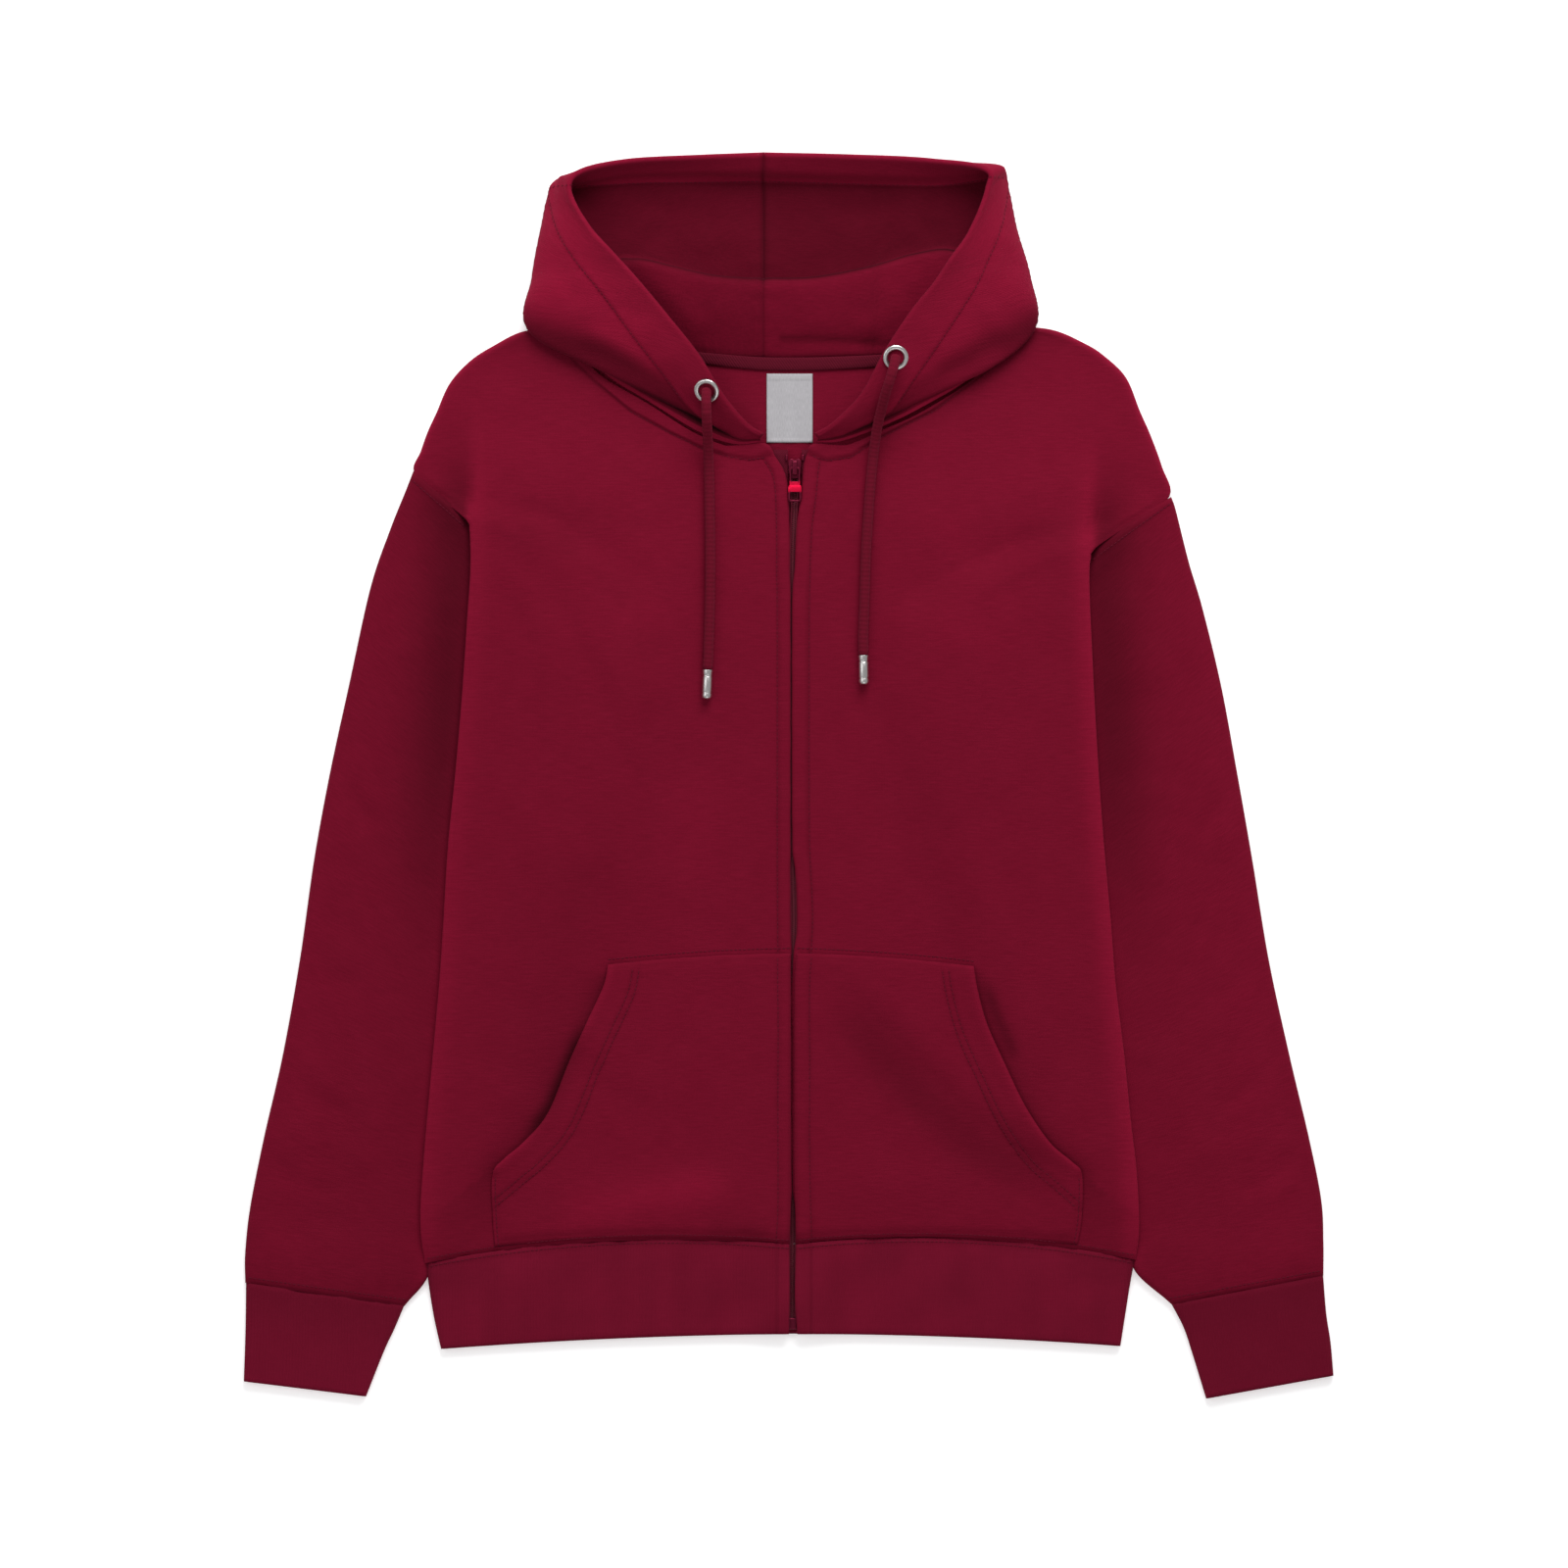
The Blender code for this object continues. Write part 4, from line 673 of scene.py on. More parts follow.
def frontPanel(side, name, material):
    body, wall = sides[side], cloth["wall"]
    roll = cloth["edgeRoll"]
    angles = np.radians(np.linspace(0, 80, 7))
    outerRoll, innerRoll, rolled = rolledReaches(body, angles)
    span = rowPoints(body, np.zeros((len(body.rows), 1)))[2]
    band = np.minimum(front["edgeBand"], 0.4 * span)
    flat = np.linspace(0, 1, front["columns"] // coarse)[None, :]
    reaches = roll + (span - band - roll) * flat
    close = np.linspace(0, 1, front["edgeColumns"] // coarse + 1)[None, 1:]
    reaches = np.concatenate([reaches, span - band + band * close], axis=1)
    x, y, _ = rowPoints(body, reaches)
    fromZip = span - reaches
    x = x - side * zipOverlap(side, y) * ease((30 - fromZip) / 30)
    y[0] -= cloth["tuck"]
    top = frontTop(side, x, y) + frontDetail(side, x, y)
    welt = front["placketWelt"][side]
    overNeck = pathDistance(x, y, neckStitches[side])[0] * side
    atZip = 1 - ease((overNeck + 2) / 2.5)
    rise = front["weltRise"] * ease((welt - fromZip) / 2.0) * atZip
    rise = np.maximum(rise, front["neckRise"] * ease(overNeck / 2.2)) * ease(fromZip / 1.6)
    earX, earY, earRise = front["ear"][side]
    rise = rise + earRise * bell(np.hypot(x - earX, y - earY), 6)
    groove = bell(fromZip - welt, 1.1) * atZip + 1.5 * bell(overNeck, 1.1)
    groove = -front["grooveDepth"] * groove
    pucker = 0.14 * ripple(y, 60 + side, 8.5) * bell(fromZip - welt, 4.5)
    edge = -0.9 * (1 - ease(fromZip / 1.8))
    top = top + rise + groove + pucker + edge
    ofSleeve = (1 - rolled) * ease((body.rows[:, 1:2] - 120) / 20)
    top = top - 0.9 * ofSleeve * (1 - ease((reaches - roll) / 2.4))
    fromHem = runAlong(body.rows[:, :2])[:, None]
    top = top - 0.25 * (1 - ease(fromHem / 1.4)) - 0.25 * bell(fromHem - 3.6, 1.2)
    bottom = frontTop(side, x, y) - wall + 0.4 * edge
    middle = seamHeight(side) + 0.5 * cloth["seam"]
    rise = np.sin(angles)[None, :]
    rx, ry, _ = rowPoints(body, outerRoll)
    rz = lerp(top[:, :1], lerp(middle, top[:, :1], rise), rolled)
    ix, iy, _ = rowPoints(body, innerRoll)
    ry[0] -= cloth["tuck"]
    iy[0] -= cloth["tuck"]
    iz = lerp(bottom[:, :1], lerp(middle, bottom[:, :1], rise), rolled)
    outer = np.concatenate([stacked(rx, ry, rz), stacked(x, y, top)], axis=1)
    inner = np.concatenate([stacked(ix, iy, iz), stacked(x, y, bottom)], axis=1)
    lines = np.maximum(0.6 * bell(fromZip - welt, 1.4) * atZip, 0.8 * bell(overNeck, 1.4))
    lines = np.maximum(lines, 0.2 * bell(fromHem, 0.9))
    shade = np.concatenate([np.zeros_like(outerRoll), lines], 1)
    # painted light and shade of the front, with painted light on the rolled side fold
    toneAndPaintedLight = frontPaintedShading(side, outer[..., 0], outer[..., 1])
    toneAndPaintedLight[:, :len(angles)] += front["paintedLightOnRoll"] * rolled * (1 - rise)
    mesh = shellMesh(name, outer, inner, outer[..., :2], {"shade": shade, "toneAndPaintedLight": toneAndPaintedLight})
    made = addObject(name, mesh, material)
    x, y, _ = rowPoints(body, span - welt)
    keep = (y[:, 0] < 219)
    weltStitches[side] = stacked(x[keep, 0], y[keep, 0])
    return made


def backPanel(name, material):
    wall = cloth["wall"]
    halves = {}
    for side in (-1, 1):
        body = sides[side]
        rows, lays = body.rows, body.lays
        width = np.abs(rows[:, :1])
        angles = np.radians(np.linspace(0, 80, 6))
        outerRoll, innerRoll, rolled = rolledReaches(body, angles)
        flat = np.linspace(0, 1, 34 // coarse)[None, :]
        reaches = cloth["edgeRoll"] + (width - cloth["edgeRoll"]) * flat
        place = np.array([float(sum(bodySteps[:k])) for k in range(len(rowLays))])
        sag = np.zeros(len(rowLays))
        sag[-len(backNeckSag):] = backNeckSag
        sag = np.interp(np.arange(len(rows)), place, sag)[:, None]
        neck = (np.arange(len(rows)) >= place[-len(backNeckSag)])[:, None]
        other = sides[-side]
        level = 0.5 * (rows[:, 3:4] + other.rows[:, 3:4])
        outs = 0.5 * (rows[:, 1:2] + other.rows[:, 1:2])
        middleY = np.where(neck, outs - sag, level)
        power = np.where(neck, 3.0, 1.0)

        def bent(reach, rise):
            x = rows[:, :1] - np.sign(rows[:, :1]) * reach
            across = np.clip(np.abs(x / rows[:, :1]), 0, 1)
            part = 1 - across
            y = lerp(middleY, rows[:, 1:2], across ** power)
            y = y + lays[:, :1] * 4 * part * (1 - part)
            return x, y, backBottom(side, x, y) + rise

        middle = seamHeight(side) - 0.5 * cloth["seam"]
        rise = np.sin(angles)[None, :]
        ox, oy, oz = bent(outerRoll, 0.0)
        face = bent(np.full_like(outerRoll, cloth["edgeRoll"]), 0.0)[2]
        oz = lerp(oz, lerp(middle, face, rise), rolled)
        ix, iy, iz = bent(innerRoll, wall)
        oy[0] -= cloth["tuck"]
        iy[0] -= cloth["tuck"]
        iz = lerp(iz, lerp(middle, face + wall, rise), rolled)
        fx, fy, fz = bent(reaches, 0.0)
        fy[0] -= cloth["tuck"]
        low = np.concatenate([stacked(ox, oy, oz), stacked(fx, fy, fz)], axis=1)
        high = np.concatenate([stacked(ix, iy, iz), stacked(fx, fy, fz + wall)],
                              axis=1)
        halves[side] = (low, high)
    low = np.concatenate([halves[-1][0], halves[1][0][:, -2::-1]], axis=1)
    high = np.concatenate([halves[-1][1], halves[1][1][:, -2::-1]], axis=1)
    return addObject(name, shellMesh(name, high, low, high[..., :2]), material)

# sleeves and cuffs

# rings of a sleeve: outer edge x, y, inner edge x, y, bow
rightSleeve = [
    (-261, 209, -123, 87.5, 0), (-265.3, 198, -125, 75, 0), (-276.5, 170, -132, 44, 0),
    (-290, 130, -143, 3, 0), (-305, 62, -158, -45, 0), (-318, 2, -173, -92, 0),
    (-329, -58, -189, -137, 0), (-339, -128, -206, -188, 0), (-351, -195, -222, -236, 0),
    (-364, -252, -237, -280, 0), (-373.5, -300, -246.5, -316, 0), (-377, -332, -249.5, -347, 0),
    (-377, -351.5, -265.5, -367.7, 0),
]
leftSleeve = [
    (266.8, 192, 129, 89, 4), (269.5, 184, 129.5, 76, 0), (278.5, 148, 134, 42, 0),
    (288, 116, 141, 5, 0), (301, 62, 154, -44, 0), (312, 2, 168, -92, 0),
    (322.5, -58, 183, -138, 0), (334, -128, 199, -188, 0), (348.5, -195, 214, -236, 0),
    (362, -252, 229, -280, 0), (370.5, -295, 238.5, -316, 0), (372, -325, 240.2, -343, 0),
    (372, -346.5, 265.5, -366.7, 0),
]
rightCuff = [
    (-376.4, -352.4, -266.5, -368.4, 0), (-376.6, -372, -273.5, -385, 0),
    (-377, -392, -280.5, -400, 0), (-378, -421, -293, -431.5, 0),
]
leftCuff = [
    (371.8, -347.4, 266.5, -367.5, 0), (374, -374, 275, -384, 0), (377, -394, 281, -402, 0),
    (379, -417, 290.5, -433, 0),
]
sleeveFolds = [
    (-300, 150, -318, -40, 22, 0.9), (-268, 60, -300, -150, 20, -0.9),
    (-355, -180, -330, -290, 18, 0.9), (-300, -210, -285, -320, 20, 0.8),
    (296, 140, 306, -40, 22, 0.9), (262, 50, 288, -150, 20, -0.9), (345, -170, 318, -290, 18, 0.9),
    (282, -210, 270, -320, 20, 0.8),
]
sleeve = {
    "gatherHeight": 0.75,        # of the fullness taken up by the cuff
    "gatherWave": 13.0,
    "gatherRun": 20.0,
    "bulge": 1.1,                # above the cuff seam
    "across": 62,                # columns over the top
    "armTuck": 2.9,              # of the allowance under the body
    "rise": 3.0,                 # up to the body's fold at the armhole seam
    # painted shade beside the body's fold, painted light right at it, painted shade over the whole
    # of one sleeve
    "shadow": 0.42, "paintedLightAtFold": 0.14, "seamStitch": 3.4, "paintedShadeOnSide": {-1: 0.05, 1: 0.0},
}
sleeveCreases = [
    (-0.8, 7.0, -0.5, [(-352, -196), (-330, -226), (-296, -240)]),
    (0.7, 10.0, 0.0, [(-350, -240), (-318, -262), (-276, -266)]),
    (-0.7, 6.0, -0.4, [(-366, -262), (-340, -284), (-310, -292)]),
    (-0.7, 8.0, -0.5, [(-322, 20), (-304, -20), (-280, -40)]),
    (-0.6, 8.0, -0.4, [(-340, -110), (-318, -140), (-290, -150)]),
    (-0.8, 7.0, -0.5, [(346, -186), (322, -218), (290, -236)]),
    (0.7, 10.0, 0.0, [(344, -236), (312, -258), (270, -264)]),
    (-0.7, 6.0, -0.4, [(360, -256), (336, -280), (306, -290)]),
    (-0.7, 8.0, -0.5, [(318, 14), (300, -26), (276, -46)]),
    (-0.6, 8.0, -0.4, [(334, -116), (312, -146), (284, -156)]),
]


def tubeGrids(rings, height, wall, detail, bottomColumns, acrossColumns):
    # outer and inner points round a flattened tube, and each ring's cloth coordinates
    rings = np.asarray(rings, float)
    steps = stepsAt(0.5 * (rings[:, :2] + rings[:, 2:4]), cloth["pitch"])
    rings = catmull(rings, steps)
    out, inn, bow = rings[:, None, 0:2], rings[:, None, 2:4], rings[:, None, 4]
    span = np.linalg.norm(inn - out, axis=-1)
    way = (inn - out) / span[..., None]
    middle = 0.5 * (out + inn)[:, 0]
    run = runAlong(middle)[:, None]
    roll = cloth["tubeRoll"] * height
    ends = np.radians(np.linspace(-80, 80, 11))[None, :]
    flats = np.linspace(0, 1, acrossColumns // coarse)[None, :]
    lows = np.linspace(1, 0, bottomColumns // coarse)[None, :]
    inside = roll - wall

    def place(reach):
        part = reach / span
        bent = np.sign(way[..., 0]) * bow * 4 * part * (1 - part)
        return (out[..., 0] + way[..., 0] * reach - way[..., 1] * bent,
                out[..., 1] + way[..., 1] * reach + way[..., 0] * bent)

    outer, inner, places = [], [], []

    def add(reach, z, innerReach, innerZ):
        x, y = place(reach)
        outer.append(stacked(x, y, z))
        inner.append(stacked(*place(innerReach), innerZ))
        places.append(stacked(reach, run))

    def top(reach):
        x, y = place(reach)
        edge = ease(reach / cloth["tubeEdge"]) * ease((span - reach) / cloth["tubeEdge"])
        return height + detail(x, y, reach, span, run) * edge

    # the outer edge rolls up, the top, the inner edge rolls down, then the underside
    ones = np.ones_like(span)
    turn, lift = np.cos(ends), np.sin(ends)
    soft = 0.5 * height * (1 + lift)
    add(roll * (1 - turn) * ones, soft, (wall + inside * (1 - turn)) * ones,
        0.5 * height + (0.5 * height - wall) * lift)
    reach = lerp(roll, span - roll, flats)
    surface = top(reach)
    add(reach, surface, reach, surface - wall)
    turn, lift = turn[:, ::-1], lift[:, ::-1]
    add(span - roll * (1 - turn), 0.5 * height * (1 + lift), span - wall - inside * (1 - turn),
        0.5 * height + (0.5 * height - wall) * lift)
    reach = lerp(roll, span - roll, lows)
    add(reach, 0.0 * reach, reach, 0.0 * reach + wall)
    return np.concatenate(outer, 1), np.concatenate(inner, 1), np.concatenate(places, 1), run


def sleevePiece(side, name, rings, material):
    def detail(x, y, reach, span, run):
        left = run[-1, 0] - run
        gather = ripple(reach, 70 + side, sleeve["gatherWave"])
        gather = gather * np.exp(-left / sleeve["gatherRun"])
        bulge = sleeve["bulge"] * bell(left - 26, 17)
        waves = undulation(x, y, 11 + side, 70, 0.5, 1.6) + undulation(x, y, 31 + side, 28, 0.2)
        pinch = -0.3 * (1 - ease(left / 1.4))
        body = sides[side]
        under = ease((np.abs(x) - body.at(np.abs(body.foldX), y) + 4) / 12)
        own = creaseHeight(sleeveCreases, x, y) + waves + bulge
        beside = side * (x - foldLine(side, y))
        rise = ease(beside / 5) * bell(np.maximum(beside - 8, 0), 16) * bell(run, 12)
        return (foldHeight(sleeveFolds, x, y) + own * under + sleeve["rise"] * rise
                + sleeve["gatherHeight"] * gather * ease(left / 3) + pinch)

    outer, inner, places, run = tubeGrids(rings, sleeveHeight, cloth["wall"], detail, 14,
                                          sleeve["across"])
    # the end is drawn in to the cuff's thickness, and both ends reach under the next piece
    left = (run[-1, 0] - run)[..., None]
    flatter = lerp(0.88, 1.0, ease(left / 14)) * lerp(0.93, 1.0, ease(run[..., None] / 3))
    for grid in (outer, inner):
        grid[..., 2:] = grid[..., 2:] * flatter
        grid[0, :, :2] += (grid[0, :, :2] - grid[1, :, :2]) / cloth["pitch"] * sleeve["armTuck"]
        grid[-1, :, :2] += (grid[-1, :, :2] - grid[-2, :, :2]) / cloth["pitch"] * cloth["tuck"]
    x, y = outer[..., 0], outer[..., 1]
    beside = side * (x - foldLine(side, y))
    upper = ease((y + 170) / 220) * (0.5 + 0.5 * foldFade(side, y))
    # painted shade on the sleeve beside the body's fold, painted light right at the fold and in a
    # band further out, and a slight painted shade over one sleeve
    toneAndPaintedLight = -sleeve["shadow"] * bell(np.maximum(beside - 10, 0), 27) * (0.08 + 0.92 * upper)
    toneAndPaintedLight = toneAndPaintedLight + sleeve["paintedLightAtFold"] * bell(beside, 5) * ease((165 - y) / 60)
    toneAndPaintedLight = toneAndPaintedLight - sleeve["paintedShadeOnSide"][side] * ease((360 - beside) / 300)
    toneAndPaintedLight = toneAndPaintedLight + 0.05 * bell(beside - 96, 24)
    left = run[-1, 0] - run
    rows = bell(run - sleeve["seamStitch"], 1.3) + 0.5 * bell(left - sleeve["seamStitch"], 1.3)
    rows = np.maximum(rows, 0.55 * bell(left, 0.9))
    shade = 0.7 * rows * np.ones_like(x) * ease((outer[..., 2] - 3) / 2)
    mesh = shellMesh(name, outer, inner, places, {"toneAndPaintedLight": toneAndPaintedLight, "shade": shade}, tube=True)
    top = slice(9, 13 + sleeve["across"] // coarse)
    upperPath = ringPath(outer, run, sleeve["seamStitch"], top)
    tubeStitches.append(upperPath[side * (upperPath[:, 0] - foldLine(side, upperPath[:, 1])) > 1])
    tubeStitches.append(ringPath(outer, run, run[-1, 0] - sleeve["seamStitch"], top))
    return addObject(name, mesh, material)


tubeStitches = []


def ringPath(outer, run, at, columns):
    # the line round a tube at some way along it
    place = float(np.interp(at, run[:, 0], np.arange(len(run))))
    k = min(int(place), len(run) - 2)
    return lerp(outer[k, columns], outer[k + 1, columns], place - k)[:, :2]


cuffPaintedShading = {-1: (0.02, 0.2), 1: (-0.04, 0.06)}    # painted shade at the seam, under the sleeve's bulge, and painted light at the opening


def cuffPiece(side, name, rings, material):
    def detail(x, y, reach, span, run):
        left = run[-1, 0] - run
        ends = -0.2 * (1 - ease(run / 1.4)) - 0.5 * (1 - ease(left / 3))
        puff = 0.5 * bell(run - 0.45 * run[-1, 0], 26)
        return ends + puff + 0.22 * ripple(reach, 80 + side, 21) * bell(run - 8, 16)

    outer, inner, places, run = tubeGrids(rings, cuffHeight, cloth["ribWall"], detail, 12, 54)
    down = run / run[-1]
    # painted shade at the seam, painted light towards the opening and on its rounded edge
    toneAndPaintedLight = lerp(*cuffPaintedShading[side], ease(down / 0.7)) + 0.2 * bell(run - run[-1] + 1, 2.2)
    whole = np.ones(outer.shape[:2])
    marks = {"toneAndPaintedLight": toneAndPaintedLight * whole, "shade": 0.25 * bell(run, 0.8) * whole}
    return addObject(name, shellMesh(name, outer, inner, places, marks, tube=True), material)


# hem band

# rows of the band: right edge x, y, zip x of both halves, zip y, left edge x, y, bow
bandRows = [
    (-251.3, -338.4, 1, 5.6, -325.6, 241, -335.8, 9), (-249.5, -354, 1.2, 5.2, -342, 238, -352, 6),
    (-246, -376, 1.2, 5, -366, 234.5, -374, 3), (-241, -398.5, 0.7, 6.5, -388, 231, -396.5, 2),
]
band = {"columns": 92, "puff": 0.5, "toneAndPaintedLight": 0.2, "stitch": 2.8, "zipX": 3.3}
bandEdge = []


def bandHalf(side):
    # outer and inner points of half the band, from the zip over the top and round the edge
    rows = np.asarray(bandRows, float)
    steps = stepsAt(rows[:, (0, 1)], cloth["pitch"])
    rows = catmull(rows, steps)
    edgeX, edgeY = (rows[:, 5:6], rows[:, 6:7]) if side > 0 else (rows[:, 0:1], rows[:, 1:2])
    zipX, zipY, bow = rows[:, 3:4] if side > 0 else rows[:, 2:3], rows[:, 4:5], rows[:, 7:8]
    length = np.abs(edgeX - zipX)
    run = np.abs(edgeY - edgeY[:1])
    roll, wall = cloth["edgeRoll"], cloth["ribWall"]

    def place(x):
        part = np.clip(np.abs(x - zipX) / length, 0, 1)
        return lerp(zipY, edgeY, part) + bow * 4 * part * (1 - part)

    def thickness(x):
        return 2 * wall + cloth["bandGap"] + 3.0 * bell(x - zipX, 22)

    def carried(x):
        # the seam follows the body where that lies on a sleeve
        return backBottom(side, x, place(x)[:1]) * (1 - ease(run / 22))

    def surface(x):
        ends = 0.6 * (1 - ease(run / 14)) + 0.2 * (1 - ease(run / 1.4))
        ends = ends + 0.5 * (1 - ease((run[-1] - run) / 3.5))
        puff = band["puff"] * bell(run - 0.45 * run[-1], 26)
        waves = 0.25 * ripple(x, 90 + side, 24) * bell(run - 8, 18)
        welt = 0.8 * (1 - ease(np.abs(x - zipX) / 1.8)) + 0.45 * bell(
            np.abs(x - zipX) - front["placketWelt"][side], 1.3)
        inside = ease(np.abs(x - edgeX) / 14)
        return thickness(x) + carried(x) + (puff + waves) * inside - ends - welt

    part = np.linspace(0, 1, band["columns"] // coarse + 1)[None, :]
    close = np.linspace(0, 14.0, 14 // coarse)[None, :-1] * np.ones_like(zipX)
    x = zipX + side * close
    rest = lerp(zipX + side * 14.0, edgeX - side * roll, part)
    x = np.concatenate([x, rest], axis=1)
    y, z = place(x), surface(x)
    low = thickness(x) + carried(x) - wall
    outer, inner = [stacked(x, y, z)], [stacked(x, y, low)]
    angles = np.radians(np.linspace(80, -80, 11))[None, :]
    turn, lift = 1 - np.cos(angles), np.sin(angles)
    height = thickness(edgeX) + carried(edgeX)
    xr = edgeX - side * roll * turn
    outer.append(stacked(xr, place(xr), 0.5 * height * (1 + lift)))
    xi = edgeX - side * (wall + (roll - wall) * turn)
    inner.append(stacked(xi, place(xi), 0.5 * height + (0.5 * height - wall) * lift))
    part = np.linspace(1, 0, 16)[None, :]
    x = lerp(zipX, edgeX - side * roll, part)
    outer.append(stacked(x, place(x), 0))
    inner.append(stacked(x, place(x), wall))
    return np.concatenate(outer, 1), np.concatenate(inner, 1)


def hemBand(name, material):
    rightOuter, rightInner = bandHalf(-1)
    leftOuter, leftInner = bandHalf(1)
    outer = np.concatenate([rightOuter, leftOuter[:, ::-1]], axis=1)
    inner = np.concatenate([rightInner, leftInner[:, ::-1]], axis=1)
    x = outer[..., 0]
    toneAndPaintedLight = band["toneAndPaintedLight"] + undulation(x, outer[..., 1], 97, 34, 0.07, 1.4)
    fromTop = outer[:1, :, 1] - outer[..., 1]
    shade = np.maximum(0.6 * bell(fromTop - band["stitch"], 1.2), 0.15 * bell(fromTop, 0.8))
    # the placket's edges run on down the band
    right = x < band["zipX"]
    fromZip = np.where(right, band["zipX"] - x, x - band["zipX"])
    line = np.where(right, front["placketWelt"][-1], front["placketWelt"][1]) + 2.2
    shade = np.maximum(shade, 0.6 * bell(fromZip - line, 1.0))
    shade = shade * ease((outer[..., 2] - 3) / 2)
    mesh = shellMesh(name, outer, inner, outer[..., :2], {"toneAndPaintedLight": toneAndPaintedLight, "shade": shade})
    top = outer[0][outer[0, :, 2] > 4.0][:, :2]
    bandEdge.append(top[np.argsort(top[:, 0])])
    return addObject(name, mesh, material)

# hood

# ribs from the neck's front round to the back: points neck, crest, valley, fold, side, face
rightHood = [
    ((-19, 231.6, 6.8), (-19.2, 232.6, 7.2), (-19.4, 233.6, 7.6), (-19.4, 234.8, 8.4),
     (-18.6, 236, 9.6), (-17, 236.6, 11)),
    ((-37, 230.3, 6.8), (-37, 232.4, 7.6), (-36.6, 235.2, 8.2), (-36.4, 238.4, 11.6),
     (-33.6, 242.6, 14.6), (-28.6, 244.4, 16.4)),
    ((-61, 238.4, 6.8), (-60.4, 242, 7.8), (-59.4, 247.4, 8.6), (-60.4, 253, 13), (-55, 262, 19),
     (-45, 264, 22)),
    ((-92.3, 257.4, 6.8), (-91.6, 259.4, 7.8), (-90.8, 262.4, 8.8), (-92, 266, 14), (-78, 282, 24),
     (-61.5, 291, 28)),
    ((-127.5, 280.8, 6.9), (-130, 284, 9.4), (-131, 287, 10.4), (-134, 285.6, 15), (-108, 308, 29),
     (-83, 318, 34)),
    ((-127.8, 298, 6.9), (-140, 303, 10.4), (-161, 306, 10.6), (-180.5, 311.5, 12),
     (-152, 332, 28), (-104, 343, 38)),
]
leftHood = [
    ((20.5, 231.6, 7), (20.7, 232.6, 7.4), (20.9, 233.6, 7.8), (21, 234.8, 8.6), (20.4, 236, 9.8),
     (18.6, 236.8, 11)),
    ((36, 232.2, 7), (36, 234, 7.7), (36.2, 236, 8.6), (36.8, 238.6, 11.4), (35.6, 242, 14.2),
     (30.5, 243.8, 16.4)),
    ((61, 240.8, 6.8), (61.2, 243, 7.8), (61.6, 245.8, 9), (62.6, 249, 13), (59, 258, 19),
     (50.5, 264, 22)),
    ((91.4, 255.2, 6.8), (91.8, 257.6, 7.8), (91.8, 260.6, 9), (93.4, 264, 14), (84, 280, 24),
     (67, 294, 28)),
    ((128.9, 279.8, 7.1), (134, 282, 9.4), (135, 285, 10.4), (139, 284, 15), (114, 306, 29),
     (85, 321, 34)),
    ((127.6, 298, 7.1), (142, 303, 10.4), (156, 306, 10.6), (171.5, 313, 12), (146, 332, 28),
     (100.5, 340, 38)),
]
hood = {
    "stationSteps": (1, 2, 2, 2, 3, 3, 2, 2, 2, 2, 3, 3),
    "ribSteps": (2, 2, 1, 1, 2, 1, 4, 3, 3),
    "finer": 6,
    # rounding of the crest: before, dip, past, drop, foot, end
    "roll": (4.2, 0.9, 2.3, 3.4, 2.7, 6.8),
    "crestBack": 3.8,            # how far the crest keeps back from the line where it rounds off
    "firstRoll": 6,              # first rib with the roll over the basin
    "columns": (20, 40, 16),     # neck to crest, crest to hem, hem to face
    # painted light and shade of the hood: its outer panels and their lower part, the slope before
    # the crest, the basin, the hem's rim and the crest
    "inside": {-1: 0.34, 1: 0.40}, "outside": {-1: 0.50, 1: 0.30}, "slope": {-1: 0.22, 1: 0.32},
    "rim": {-1: 0.60, 1: 0.66}, "low": {-1: 0.06, 1: 0.52}, "crestPaintedShade": -0.4,
    "crease": (-0.5, 2.4, [(-4, 304), (34, 303.4), (72, 301)]),   # painted shade in the crease above the tape
    # painted shade of the fold above the neck seam: from the seam, width, depth, first and last
    # place
    "fold": {-1: (7.5, 3.2, 0.6, 12, 150), 1: (6.5, 2.6, 0.5, 16, 90)},
    "hem": 29.0,                 # width of the turned hem with the drawcord in it
    "foldEnds": (0.15, 0.65, 0.9),
}
# the roll, the basin and the rim as they lie: neck, crest, basin's foot, side, face
rightBasin = [
    ((-112, 300, 1.9), (-127, 352, 17), (-175.5, 344, 6.6), (-161, 356, 24), (-121.5, 362, 40)),
    ((-93, 294.7, 1.9), (-106, 358.5, 23), (-167.5, 376, 5.4), (-160, 384, 22), (-137.5, 380, 37)),
    ((-74, 292, 1.9), (-80, 353.2, 26), (-157.5, 400, 4.6), (-158.5, 410, 16), (-150.5, 404, 31)),
    ((-62, 291.2, 1.9), (-65, 349.5, 27.4), (-140, 403, 4.2), (-150, 413, 15.5),
     (-142.5, 418, 29)),
    ((-49, 290.4, 1.9), (-50, 346.6, 28.4), (-106, 407, 4), (-110, 419.5, 15), (-110, 425.8, 27)),
    ((-31, 289.6, 1.9), (-31, 345, 29), (-60, 408.5, 4), (-61, 421, 16), (-60, 428.8, 26)),
    ((-17.3, 288.9, 1.9), (-17.3, 344.6, 29), (-17.3, 408.5, 4), (-17.3, 420, 16.5),
     (-17.3, 430.6, 25.5)),
]
